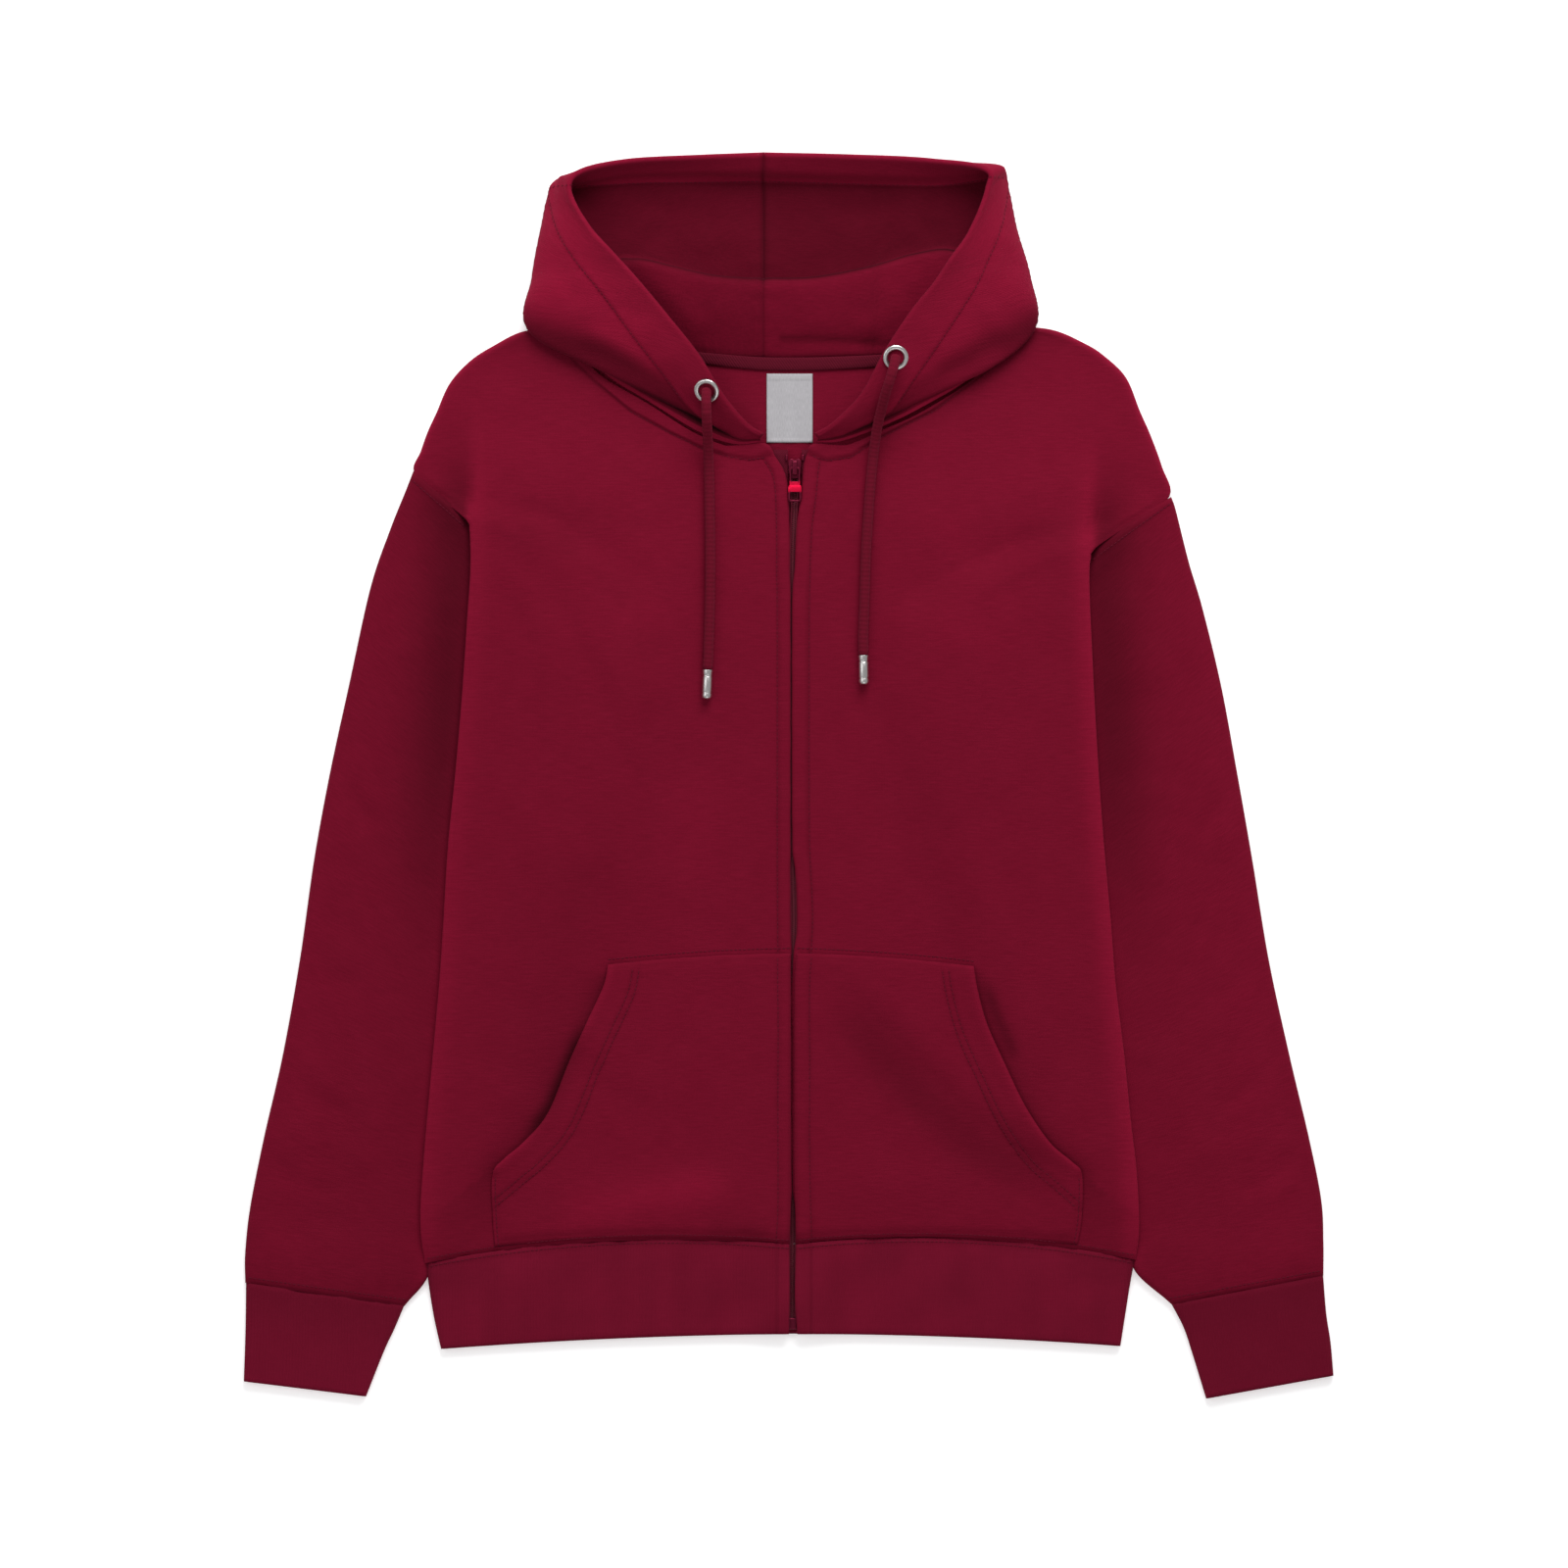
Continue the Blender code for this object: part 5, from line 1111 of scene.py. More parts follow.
leftBasin = [
    ((112, 300, 1.9), (128, 354, 17), (167, 344, 6.6), (152, 358, 24), (112, 357, 40)),
    ((93, 294.7, 1.9), (112, 365, 22), (157, 374, 5.4), (148, 384, 22), (125, 375.5, 37)),
    ((74, 292, 1.9), (86, 361.4, 25), (146.5, 402, 4.6), (147.5, 413, 16), (137, 404, 31)),
    ((62, 291.2, 1.9), (68, 356, 26.8), (134, 406, 4.3), (144, 420.5, 16), (135.5, 419, 29.5)),
    ((49, 290.4, 1.9), (52, 351.8, 28), (92, 404.5, 4), (96, 418, 15), (97, 426.4, 27)),
    ((16, 289.2, 1.9), (18, 345.6, 29), (42, 405.5, 4), (42, 419, 16), (41, 429.2, 26)),
    ((-16.7, 288.9, 1.9), (-16.7, 344.6, 29), (-16.7, 408.5, 4), (-16.7, 420, 16.5),
     (-16.7, 430.6, 25.5)),
]
# creases of the hood: height, width, lip, path
hoodCreases = [
    (-1.1, 6.0, -0.4, [(0, 303), (34, 302), (72, 300)]),
    (-0.9, 6.0, -0.5, [(-120, 350), (-100, 366), (-84, 386)]),
    (-0.9, 6.0, -0.5, [(120, 346), (104, 368), (92, 392)]),
    (-1.2, 5.0, -0.5, [(-52, 256), (-40, 246), (-32, 238)]),
    (-1.0, 6.0, -0.5, [(-150, 300), (-122, 286), (-96, 276)]),
    (-1.0, 6.0, -0.5, [(150, 304), (122, 286), (98, 274)]),
    (0.9, 10.0, 0.0, [(-150, 330), (-126, 300), (-96, 284)]),
    (0.9, 10.0, 0.0, [(146, 330), (124, 304), (96, 286)]),
    (-0.9, 7.0, -0.5, [(-166, 372), (-156, 344), (-140, 320)]),
    (-0.9, 7.0, -0.5, [(158, 372), (150, 346), (136, 322)]),
    (-0.8, 7.0, -0.4, [(-60, 330), (-52, 312), (-56, 298)]),
    (-0.8, 7.0, -0.4, [(52, 330), (44, 312), (50, 298)]),
    (-0.8, 8.0, -0.4, [(-110, 400), (-80, 392), (-50, 396)]),
    (-0.8, 8.0, -0.4, [(80, 402), (50, 392), (20, 396)]),
]
hoodHemLines = {-1: [], 1: []}


def wallNormals(grid):
    # which way each point of a grid faces
    normals = np.cross(np.gradient(grid, axis=0), np.gradient(grid, axis=1))
    return normals / np.maximum(np.linalg.norm(normals, axis=2, keepdims=True), 1e-9)


def softened(values, passes):
    # takes small kinks out of a grid, and leaves its rims
    for _ in range(passes):
        inner = values[1:-1, 1:-1]
        ring = values[:-2, 1:-1] + values[2:, 1:-1] + values[1:-1, :-2] + values[1:-1, 2:]
        values[1:-1, 1:-1] = 0.5 * inner + 0.125 * ring
    return values


def fullRib(neck, crest, foot, valley=None):
    # points from the neck over the crest to the basin; without a valley the roll drops steeply
    neck, crest, foot = (np.array(point, float) for point in (neck, crest, foot))
    if valley is not None:
        valley = np.array(valley, float)
        return [neck, lerp(neck, crest, 0.5), lerp(neck, crest, 0.85), crest,
                lerp(crest, valley, 0.2), lerp(crest, valley, 0.7), valley, foot]
    before, dip, past, drop, toe, end = hood["roll"]
    out = unit((crest - neck) * (1, 1, 0))
    crest = crest - hood["crestBack"] * out
    low = np.array((0, 0, 1.0))
    return [neck, lerp(neck, crest, 0.5) + 1.2 * low, crest - before * out - dip * low, crest,
            crest + past * out - drop * low, crest + toe * out - (crest[2] - foot[2]) * 0.8 * low,
            crest + end * out - (crest[2] - foot[2]) * low, foot]


def hoodGrid(side, along, across):
    # half of the hood as one sheet, smooth through its ribs
    ribs = []
    for rib in (leftHood if side > 0 else rightHood)[:hood["firstRoll"]]:
        neck, crest, valley, foot, beside, face = rib
        ribs.append(fullRib(neck, crest, foot, valley) + [beside, face])
    for neck, crest, foot, beside, face in (leftBasin if side > 0 else rightBasin):
        ribs.append(fullRib(neck, crest, foot) + [beside, face])
    ribs = np.array([[np.asarray(point, float) for point in rib] for rib in ribs])
    grid = catmull(ribs, [count * along for count in hood["stationSteps"]])
    grid = catmull(np.moveaxis(grid, 1, 0), [count * across for count in hood["ribSteps"]])
    return np.moveaxis(grid, 0, 1)


def arcs(grid):
    # the way gone along every rib
    steps = np.linalg.norm(np.diff(grid, axis=1), axis=2)
    return np.concatenate([np.zeros((len(grid), 1)), np.cumsum(steps, axis=1)], axis=1)


def hoodLaidOut(side, along):
    # the hood's columns follow the crest and the hem's stitch line
    grid = hoodGrid(side, along, 8)
    reach = arcs(grid)
    crest = sum(hood["ribSteps"][:3]) * 8
    first, second, third = (count // coarse for count in hood["columns"])
    rows, hems = [], []
    for line, length in zip(grid, reach):
        total = length[-1]
        hem = min(hood["hem"], 0.72 * total)
        seam = total - hem
        top = min(length[crest], 0.6 * seam)
        near = min(1.2, 0.12 * (seam - top), 0.1 * hem)
        spots = np.concatenate([
            np.linspace(0, top, first + 1)[:-1],
            top + (seam - 2 * near - top) * np.linspace(0, 1, second + 1)[:-1] ** 1.2,
            seam + near * np.arange(-2, 3),
            np.linspace(seam + 2 * near, total, third + 1)[1:]])
        rows.append(stacked(*(np.interp(spots, length, line[:, axis]) for axis in range(3))))
        hems.append(hem)
    return np.array(rows), np.array(hems)[:, None], first, first + second + 2


def hoodHalf(side, name, material):
    along = max(2, hood["finer"] // coarse)
    grid, hem, crest, hemColumn = hoodLaidOut(side, along)
    # the halves meet at the seam down the back
    shut = ease((np.arange(len(grid)) - len(grid) + 1 + 4 * along) / (4.0 * along))
    grid[..., 0] -= side * 0.31 * shut[:, None]
    normals = unit(softened(wallNormals(grid) * side, 3))
    fromNeck = arcs(grid)
    fromFace = fromNeck[:, -1:] - fromNeck
    run = runAlong(grid[:, -1])[:, None] * np.ones_like(fromFace)
    thick = lerp(cloth["hemWall"], cloth["wall"], ease((fromFace - hem + 1) / 3))
    x, y = grid[..., 0], grid[..., 1]
    shape = creaseHeight(hoodCreases, x, y) + undulation(x, y, 50 + side, 40, 0.5)
    shape = shape + undulation(x, y, 70 + side, 20, 0.16)
    calm = ease(fromFace / 20) * ease(fromNeck / 8)
    fromBack = np.linalg.norm(grid - grid[-1:], axis=2)
    calm = calm * ease(fromBack / 12)
    shape = shape * calm
    groove = -0.4 * bell(fromFace - hem, 1.5) + 0.35 * bell(fromFace - 0.52 * hem, 8)
    pucker = 0.2 * ripple(run, 100 + side, 11) * bell(fromFace - hem, 6)
    pucker = pucker + 0.25 * ripple(run, 110 + side, 16) * bell(fromNeck - 6, 7)
    pucker = pucker + 0.3 * ripple(fromNeck, 115, 15) * bell(fromBack - 4, 6)
    seam = -0.75 * (1 - ease(fromBack / 2.4)) + 0.3 * bell(fromBack - 5, 4)
    middle = grid.copy()
    middle[..., 2] += shape * np.abs(normals[..., 2])
    half = 0.5 * thick + groove + pucker + seam
    outer = middle + normals * np.maximum(half, 0.45)[..., None]
    inner = middle - normals * np.maximum(half, 0.45)[..., None]
    # the face edge is a soft turned fold
    last = ease(fromFace / 1.8)[..., None]
    outer = lerp(middle + normals * 0.9, outer, last)
    inner = lerp(middle - normals * 0.9, inner, last)
    outer[..., 2], inner[..., 2] = np.maximum(outer[..., 2], 0.02), np.maximum(inner[..., 2], 0.02)
    place = stacked(run, fromNeck)
    onRoll = ease((fromNeck - fromNeck[:, crest:crest + 1] + 2) / 4)
    channel = 0.08 + 0.2 * ease((345 - y) / 60)
    channel = np.where(fromBack < 140, 0.5, channel)
    shade = channel * bell(fromFace - hem, 1.3)
    shade = np.maximum(shade, bell(fromBack, 2.6) * lerp(0.3, 0.85, onRoll))
    # painted light and shade: the outer panels are painted lighter where they face the light, the
    # basin inside is painted darker as in shade, the hem's rim is painted lighter
    column = np.arange(grid.shape[1])[None, :] * np.ones((len(grid), 1))
    share = ease((fromNeck / fromNeck[:, -1:] - 0.35) / 0.2)
    facing = ease((normals[..., 2] + 0.1) / 0.5)
    outside = hoodOutside(along, len(grid))
    panel = facing * share * outside
    above = y - 250 + 0.55 * np.maximum(np.abs(x) - 70, 0)
    outward = ease(above / 90) * (0.55 + 0.45 * ease((fromFace - 4) / 24))
    outward = outward + 0.5 * ease((np.abs(x) - 80) / 60) * bell(fromNeck - 14, 14)
    toneAndPaintedLight = panel * hood["outside"][side] * outward
    low = ease((340 - y) / 40) * ease((np.abs(x) - 50) / 50)
    low = low * facing * outside
    toneAndPaintedLight = toneAndPaintedLight + hood["low"][side] * low * bell(fromNeck - 14, 22)
    # painted light on the slope before the crest and on the hem's rim, painted shade in the basin
    # behind the crest
    behind = ease((column - crest) / 2.0)
    slope = hood["slope"][side] * (1 - behind) * (0.6 + 0.4 * column / crest)
    rim = hood["rim"][side] * ease((hem + 1 - fromFace) / 3) * behind
    toneAndPaintedLight = toneAndPaintedLight + (1 - panel) * (slope - hood["inside"][side] * behind + rim)
    # painted shade along the crest
    rounding = bell(column - crest, 1.0) + bell(column - crest - 2, 1.6)
    toneAndPaintedLight = toneAndPaintedLight + hood["crestPaintedShade"] * np.minimum(rounding, 1) * behindNeck(along, len(grid))
    # painted shade in the crease and just above the neck tape
    depth, width, path = hood["crease"]
    dark = depth * bell(pathDistance(x, y, path)[0], width)
    dark = dark - 0.4 * bell(pathDistance(x, y, [edge[:2] for edge in neck["tape"]])[0] - 1.6, 1.8)
    toneAndPaintedLight = toneAndPaintedLight + dark * (1 - panel) * (column < crest)
    # painted shade in the fold above the neck seam
    where, width, depth, first, last = hood["fold"][side]
    tuck = bell(fromNeck - where, width) * ease((run - first) / 14) * ease((last - run) / 40)
    toneAndPaintedLight = toneAndPaintedLight - depth * tuck
    mesh = shellMesh(name, outer, inner, place, {"shade": shade, "toneAndPaintedLight": toneAndPaintedLight})
    made = addObject(name, mesh, material)
    hoodHemLines[side] = outer[:, hemColumn]
    return made


def behindNeck(along, count):
    # one at the ribs with the roll
    steps = np.cumsum((0, *hood["stationSteps"])) * along
    return ease((np.arange(count) - steps[hood["firstRoll"]]) / along)[:, None]


def hoodOutside(along, count):
    # one where the ribs show their outside, none where they line the basin
    steps = np.cumsum((0, *hood["stationSteps"])) * along
    shares = (1, 1, 1, 1, 1, 1, 1, 1, 0.9, 0.3, 0, 0, 0)
    return np.interp(np.arange(count), steps, shares)[:, None]


def hoodBack(name, material):
    # the folded part that lies under the roll
    along = max(2, hood["finer"] // 2 // coarse)
    halves = []
    first = sum(hood["stationSteps"][:hood["firstRoll"]]) * along
    for side in (-1, 1):
        half = hoodGrid(side, along, 3)[first:, :sum(hood["ribSteps"][:3]) * 3 + 1].copy()
        half[..., 2] -= 0.5 * cloth["wall"] + 1.3
        ends = hood["foldEnds"]
        rise = np.interp(np.arange(len(half)), np.arange(len(ends) + 1) * along, (*ends, 1.0))
        half[..., 2] *= rise[:, None]
        halves.append(half)
    top = np.concatenate([halves[0], halves[1][::-1]])
    top[..., 2] = np.maximum(top[..., 2], 0.4)
    bottom = top.copy()
    bottom[..., 2] = 0.0
    return addObject(name, shellMesh(name, top, bottom, top[..., :2]), material)


# pockets

# rows of a pocket: outer x, y, zip side x, y, bow
rightPocket = [
    (-203.5, -327, 0.6, -324.6, 5), (-205, -306, 1.8, -302, 2), (-205, -277, 2, -277, 0),
    (-197, -266, 2, -264, 0), (-184, -255, 2, -252, 0), (-167, -235, 2, -235, 0),
    (-152, -199, 2, -199, 0), (-139, -170, 2, -168, 0), (-128, -146, 1.8, -142, 0),
    (-125, -131.5, 1.8, -123.5, 1.5),
]
leftPocket = [
    (201, -325.5, 5.8, -323.6, 4), (204, -306, 5.2, -302, 2), (204, -277, 4.6, -277, 0),
    (197, -268, 4.4, -264, 0), (182, -255, 4.4, -252, 0), (165, -230, 4.4, -230, 0),
    (150, -199, 4.4, -199, 0), (138, -172, 4.4, -168, 0), (131.5, -148, 4.6, -142, 0),
    (129, -132.5, 6, -123.5, 1.5),
]
pocket = {
    "laid": 0.75, "mouthLift": 1.2,
    "stitchRows": (17.5, 22.0),      # from the mouth
    "runOn": 26,                     # past the mouth, to the side seam
    "topHem": 3.4,
    "columns": 66,
}
pocketStitches = {-1: [], 1: []}


def pocketPiece(side, name, rows, material):
    steps = stepsAt(np.asarray(rows)[:, :2], cloth["pitch"] * 0.8)
    rows = catmull(rows, steps)
    share = np.linspace(0, 1, pocket["columns"] // coarse)[None, :] ** 1.25
    x = lerp(rows[:, 0:1], rows[:, 2:3], share)
    y = lerp(rows[:, 1:2], rows[:, 3:4], share) + rows[:, 4:5] * 4 * share * (1 - share)
    mouth = pocket["mouthLift"] * bell(share, 0.12) * ease((y + 300) / 40)
    topLine = stacked(x[-1], y[-1])
    fromTop = np.abs(pathDistance(x, y, topLine)[0])
    sideLine = rows[rows[:, 1] <= -278][:, :2]
    fromSide = np.abs(pathDistance(x, y, sideLine)[0])
    pressed = np.maximum(1 - ease(fromSide / 7), 1 - ease((y - y[:1]) / 8))
    pressed = np.maximum(pressed, 0.6 * (1 - ease(fromTop / 5)))
    low = frontTop(side, x, y) + lerp(pocket["laid"] + mouth, 0.1, pressed)
    low = low + 0.85 * np.maximum(frontDetail(side, x, y), -0.5)
    # the mouth's hem and its double stitching, then the seam along the top
    edge = rows[rows[:, 1] > -266][:, :2]
    away = edge[0] - edge[6]
    edge = np.concatenate([[edge[0] + pocket["runOn"] * unit(away)], edge])
    fromMouth = np.abs(pathDistance(x, y, edge)[0])
    high = low + lerp(cloth["wall"], 0.9, pressed)
    inHem = ease((pocket["stitchRows"][1] + 1 - fromMouth) / 2.5)
    high = high + 0.45 * inHem * ease(fromMouth / 1.5)
    run = y - 0.6 * x
    # the placket's welt runs on beside the zip
    fromZip = np.abs(rows[:, 2:3] - x)
    welt = front["placketWelt"][side]
    high = high + front["weltRise"] * ease(fromZip / 1.6) * ease((welt - fromZip) / 2)
    high = high - 0.5 * bell(fromZip - welt, 1.2) - 0.5 * (1 - ease(fromZip / 1.8))
    for k, width in enumerate(pocket["stitchRows"]):
        high = high - 0.34 * bell(fromMouth - width, 1.0)
        high = high + 0.16 * ripple(run, 120 + k + side, 9) * bell(fromMouth - width, 4)
    high = high - 0.4 * bell(fromTop - pocket["topHem"], 1.1) - 0.3 * (1 - ease(fromTop / 1.4))
    high = high - 0.7 * (1 - ease(fromMouth / 1.4)) * (1 - pressed)
    shade = np.maximum(bell(fromTop - pocket["topHem"], 1.6), bell(fromZip - welt, 1.4))
    for width in pocket["stitchRows"]:
        shade = np.maximum(shade, bell(fromMouth - width, 1.5))
    outer = stacked(x, y, high)
    inner = stacked(x, y, low)
    # painted light along the mouth's hem edge, over the body's painted light and shade
    toneAndPaintedLight = bodyPaintedShading(x, y) + 0.16 * bell(fromMouth - 1.5, 3)
    mesh = shellMesh(name, outer, inner, outer[..., :2], {"shade": 0.5 * shade, "toneAndPaintedLight": toneAndPaintedLight})
    made = addObject(name, mesh, material)
    sign = 1 if side < 0 else -1
    for width in pocket["stitchRows"]:
        pocketStitches[side].append(offsetPath(edge, -sign * width))
    pocketStitches[side].append(offsetPath(topLine, sign * pocket["topHem"]))
    pocketStitches[side].append(sideLine + (2.6 * sign, 0))
    pocketStitches[side].append(stacked(rows[:-1, 2] - sign * welt, rows[:-1, 3]))
    return made


def offsetPath(path, reach):
    # the same path, moved to its left by reach
    path = np.asarray(path, float)
    ways = unit(np.gradient(path, axis=0))
    return path + stacked(-ways[:, 1], ways[:, 0]) * reach


# neck tape and label

neck = {
    # the tape's two edges: x, upper y, lower y
    "tape": [(-64, 294, 286.4), (-46, 292.4, 284.2), (-32, 291.2, 282.6), (-14, 290.2, 281.3),
             (15, 290.2, 281.2), (36, 290.8, 282), (56, 291.6, 283.2), (67, 292.2, 284.2)],
    "tapeThick": 0.8, "tapePuff": 1.1,
    "labelWidth": 32.0, "labelHeight": 48.0, "labelThick": 0.6,
    "labelX": 1.2, "labelBottom": 231.0,
}


def neckTape(name, material):
    edges = catmull(neck["tape"], [22 // coarse] * (len(neck["tape"]) - 1))
    part = np.linspace(0, 1, 15)[None, :]
    x = edges[:, :1]
    y = lerp(edges[:, 2:3], edges[:, 1:2], part)
    z = cloth["wall"] + cloth["laid"] + 0.4 + np.interp(part, (0, 0.55, 1), (0, 0.4, 1.6))
    ends = ease((x - x[0]) / 4) * ease((x[-1] - x) / 4)
    bulge = neck["tapePuff"] * np.sin(np.pi * part) ** 0.7 * ends * (1 + 0.12 * ripple(x, 140, 17))
    rib = 0.07 * np.cos(2 * np.pi * (x + 0.6 * y) / 1.9)
    outer = stacked(x, y, z + neck["tapeThick"] + bulge + rib)
    inner = stacked(x, y, z)
    return addObject(name, shellMesh(name, outer, inner, outer[..., :2]), material)


def neckLabel(name, material):
    width, height = neck["labelWidth"], neck["labelHeight"]
    u = np.linspace(-0.5, 0.5, 41)[None, :] * np.ones((61, 1))
    v = np.linspace(0, 1, 61)[:, None] * np.ones((1, 41))
    x, y = neck["labelX"] + width * u, neck["labelBottom"] + height * v
    low = cloth["wall"] + cloth["laid"] + 0.3 * np.sin(np.pi * v)
    low = low + 0.25 * np.sin(np.pi * v) * np.cos(3 * np.pi * u + 1.1) ** 2
    low = low + 0.35 * (1 - v) ** 3 * np.cos(2 * np.pi * u) ** 2
    edge = ease(height * (1 - v) / 0.8) * ease(height * v / 0.8)
    edge = edge * ease(width * (0.5 - np.abs(u)) / 0.7)
    fold = 0.25 * ease((v - 0.9) / 0.02) + 0.2 * ease((0.06 - v) / 0.02)
    high = low + neck["labelThick"] * (0.45 + 0.55 * edge) + fold * edge
    outer, inner = stacked(x, y, high), stacked(x, y, low)
    return addObject(name, shellMesh(name, outer, inner, outer[..., :2]), material)

# zip

teeth = {"pitch": 1.42, "reach": 2.45, "thick": 0.92, "overlap": 0.55}
zipTape = {
    "chainWidth": 5.4, "chainHeight": 2.6, "reach": 15.0, "thick": 0.8, "topY": 226.0,
    "boxSize": (6.4, 8.0, 2.9), "stopSize": (1.6, 4.0, 2.2),
}
slider = {
    "x": 4.8, "width": 9.0, "bottomY": 206.0, "length": 14.0, "plate": 1.0,
    "bridgeWidth": 3.0, "bridgePlate": 1.0, "pinY": 213.0, "pinZ": 9.35,
}
pull = {
    "thick": 1.4, "length": 24.0, "headWidth": 7.4, "footWidth": 9.2,
    "slot": (-9.2, -0.75, 5.0), "window": (-22.0, -16.6, 6.2), "frameRise": 0.35,
    "outlinePoints": 48,
}


def joined(parts):
    # several (points, faces) in one
    points, faces, before = [], [], 0
    for some, quads in parts:
        points.append(np.asarray(some, float))
        faces += [[before + i for i in face] for face in quads]
        before += len(some)
    return np.concatenate(points), faces


def ringFaces(rings, count, closed=False):
    # quads between rings of points that follow each other; both ends are capped, or it is a loop
    faces = []
    for ring in range(rings if closed else rings - 1):
        a, b = ring * count, (ring + 1) % rings * count
        faces += [[a + i, a + (i + 1) % count, b + (i + 1) % count, b + i] for i in range(count)]
    if not closed:
        last = (rings - 1) * count
        faces += [list(range(count))[::-1], list(range(last, last + count))]
    return faces


def edgeProfile(low, high, edge, count=4):
    # inset and height round a rounded edge, from the lower face to the upper one
    turns = [(1 - math.cos(t), 1 - math.sin(t)) for t in np.linspace(0, 0.5 * np.pi, count)]
    return ([(edge * inset, low + edge * z) for inset, z in turns[::-1]]
            + [(edge * inset, high - edge * z) for inset, z in turns])


def solidPiece(name, parts, material, sharp):
    points, faces = joined(parts)
    return addObject(name, meshFrom(name, points, faces, sharp=sharp), material)


def roundedBlock(size, radius, corners=3):
    # a block with rounded edges, from rings of a rounded rectangle
    hx, hy, hz = (0.5 * part for part in size)
    radius = min(radius, 0.98 * hx, 0.98 * hy, 0.98 * hz)
    turns = np.linspace(0, 0.5 * np.pi, corners + 1)
    rings = edgeProfile(-hz, hz, radius, corners + 1)
    points = []
    for inset, z in rings:
        own = max(radius - inset, 0.05 * radius)
        for quarter, (sx, sy) in enumerate(((1, 1), (-1, 1), (-1, -1), (1, -1))):
            for t in turns:
                angle = quarter * 0.5 * np.pi + t
                points.append((sx * (hx - radius) + own * math.cos(angle),
                               sy * (hy - radius) + own * math.sin(angle), z))
    return np.array(points), ringFaces(len(rings), 4 * (corners + 1))


def moved(part, by, turn=None):
    # points and faces, turned first where a turn is given
    points, faces = part
    if turn is not None:
        points = points @ np.array(turn, float).T
    return points + np.asarray(by, float), faces


def tubeAlong(line, radii, around, relief=None):
    # a closed tube along a line, with a frame that doesn't twist
    ways = unit(np.gradient(line, axis=0))
    side = np.cross(ways[0], (0.0, 0.0, 1.0) if abs(ways[0][2]) < 0.9 else (1.0, 0.0, 0.0))
    frames = []
    for way in ways:
        side = unit(side - way * (side @ way))
        frames.append((side, np.cross(way, side)))
    angles = np.linspace(0, 2 * np.pi, around, endpoint=False)
    run = runAlong(line)
    points, place = [], []
    for k, (spot, (a, b)) in enumerate(zip(line, frames)):
        radius = radii[k] + (relief(angles, run[k]) if relief else 0 * angles)
        points.append(spot + np.outer(np.cos(angles) * radius, a)
                      + np.outer(np.sin(angles) * radius, b))
        place.append(stacked(angles * radii[k], np.full(around, run[k])))
    return np.concatenate(points), ringFaces(len(line), around), np.concatenate(place)


def zipChain(name, material):
    # two rows of moulded teeth that lock into each other, on a cord at each side
    path = np.array(zipPath)
    line, ways = evenPoints(path[:-1, :3].tolist() + [[slider["x"], slider["bottomY"] - 0.4, 3.7]],
                            0.5 * teeth["pitch"])
    reach = teeth["reach"]
    tooth = roundedBlock((reach, 0.62 * teeth["pitch"], teeth["thick"]), 0.2, 1)
    parts = []
    lift = (0, 0, 0.5 * zipTape["chainHeight"])
    for k, (spot, way) in enumerate(zip(line, ways)):
        side = 1 if k % 2 else -1
        across = np.array((way[1], -way[0], 0.0))
        turn = np.stack([across, way, (0.0, 0.0, 1.0)], axis=1)
        parts.append(moved(tooth, spot + lift + across * side * (0.5 * reach - teeth["overlap"]),
                           turn))
    for side in (-1, 1):
        across = stacked(ways[:, 1], -ways[:, 0], 0 * ways[:, 0])
        core = line + lift + across * side * (reach - teeth["overlap"] + 0.1)
        points, faces, _ = tubeAlong(core, np.full(len(core), 0.85), 8)
        parts.append((points, faces))
    return solidPiece(name, parts, material, 50)


def zipTapePiece(side, name, material):
    top, low = zipTape["topY"], zipPath[0][1]
    y = np.linspace(low, top, int((top - low) / (4 * coarse)))[:, None]
    share = np.linspace(0, 1, 15)[None, :]
    x0, z0 = zipAt(y)
    wide = y > slider["bottomY"] - 8
    inner = np.where(wide, 0.5 * slider["width"], 0.5 * zipTape["chainWidth"]) + cloth["seam"]
    x = x0 + side * lerp(inner, zipTape["reach"], share)
    thick = zipTape["thick"]
    low = z0 + 0.5 * (zipTape["chainHeight"] - thick)
    cord = 0.35 * bell(share - 0.03, 0.06)
    outer = stacked(x, y, low + thick + cord)
    under = stacked(x, y, low)
    return addObject(name, shellMesh(name, outer, under, outer[..., :2]), material)


def zipBoxPiece(name, material):
    x, z = zipAt(zipPath[0][1])
    size = zipTape["boxSize"]
    y = zipPath[0][1] - 0.5 * size[1] - cloth["seam"]
    middle = np.array((x, y, z + 0.5 * zipTape["chainHeight"]))
    parts = [moved(roundedBlock(size, 0.7, 4), middle)]
    rail = roundedBlock((0.7, 6.4, 0.4), 0.18, 2)
    parts += [moved(rail, middle + (dx, 0, 0.5 * size[2])) for dx in (-2.3, 2.3)]
    return solidPiece(name, parts, material, 35)


def zipStopPiece(side, name, material):
    topY = slider["bottomY"] + slider["length"] - 2
    x, z = zipAt(topY)
    size = zipTape["stopSize"]
    x = x + side * (0.5 * slider["width"] + cloth["seam"] + 0.5 * size[0])
    z = (z + 0.5 * zipTape["chainHeight"] + 0.5 * zipTape["thick"] + cloth["laid"] + 0.5 * size[2])
    parts = [moved(roundedBlock(size, 0.5, 4), (x, topY + 2.5, z))]
    groove = roundedBlock((1.7, 0.5, 1.5), 0.2, 2)
    parts += [moved(groove, (x, topY + 2.5 + dy, z)) for dy in (-1.0, 1.0)]
    return solidPiece(name, parts, material, 35)


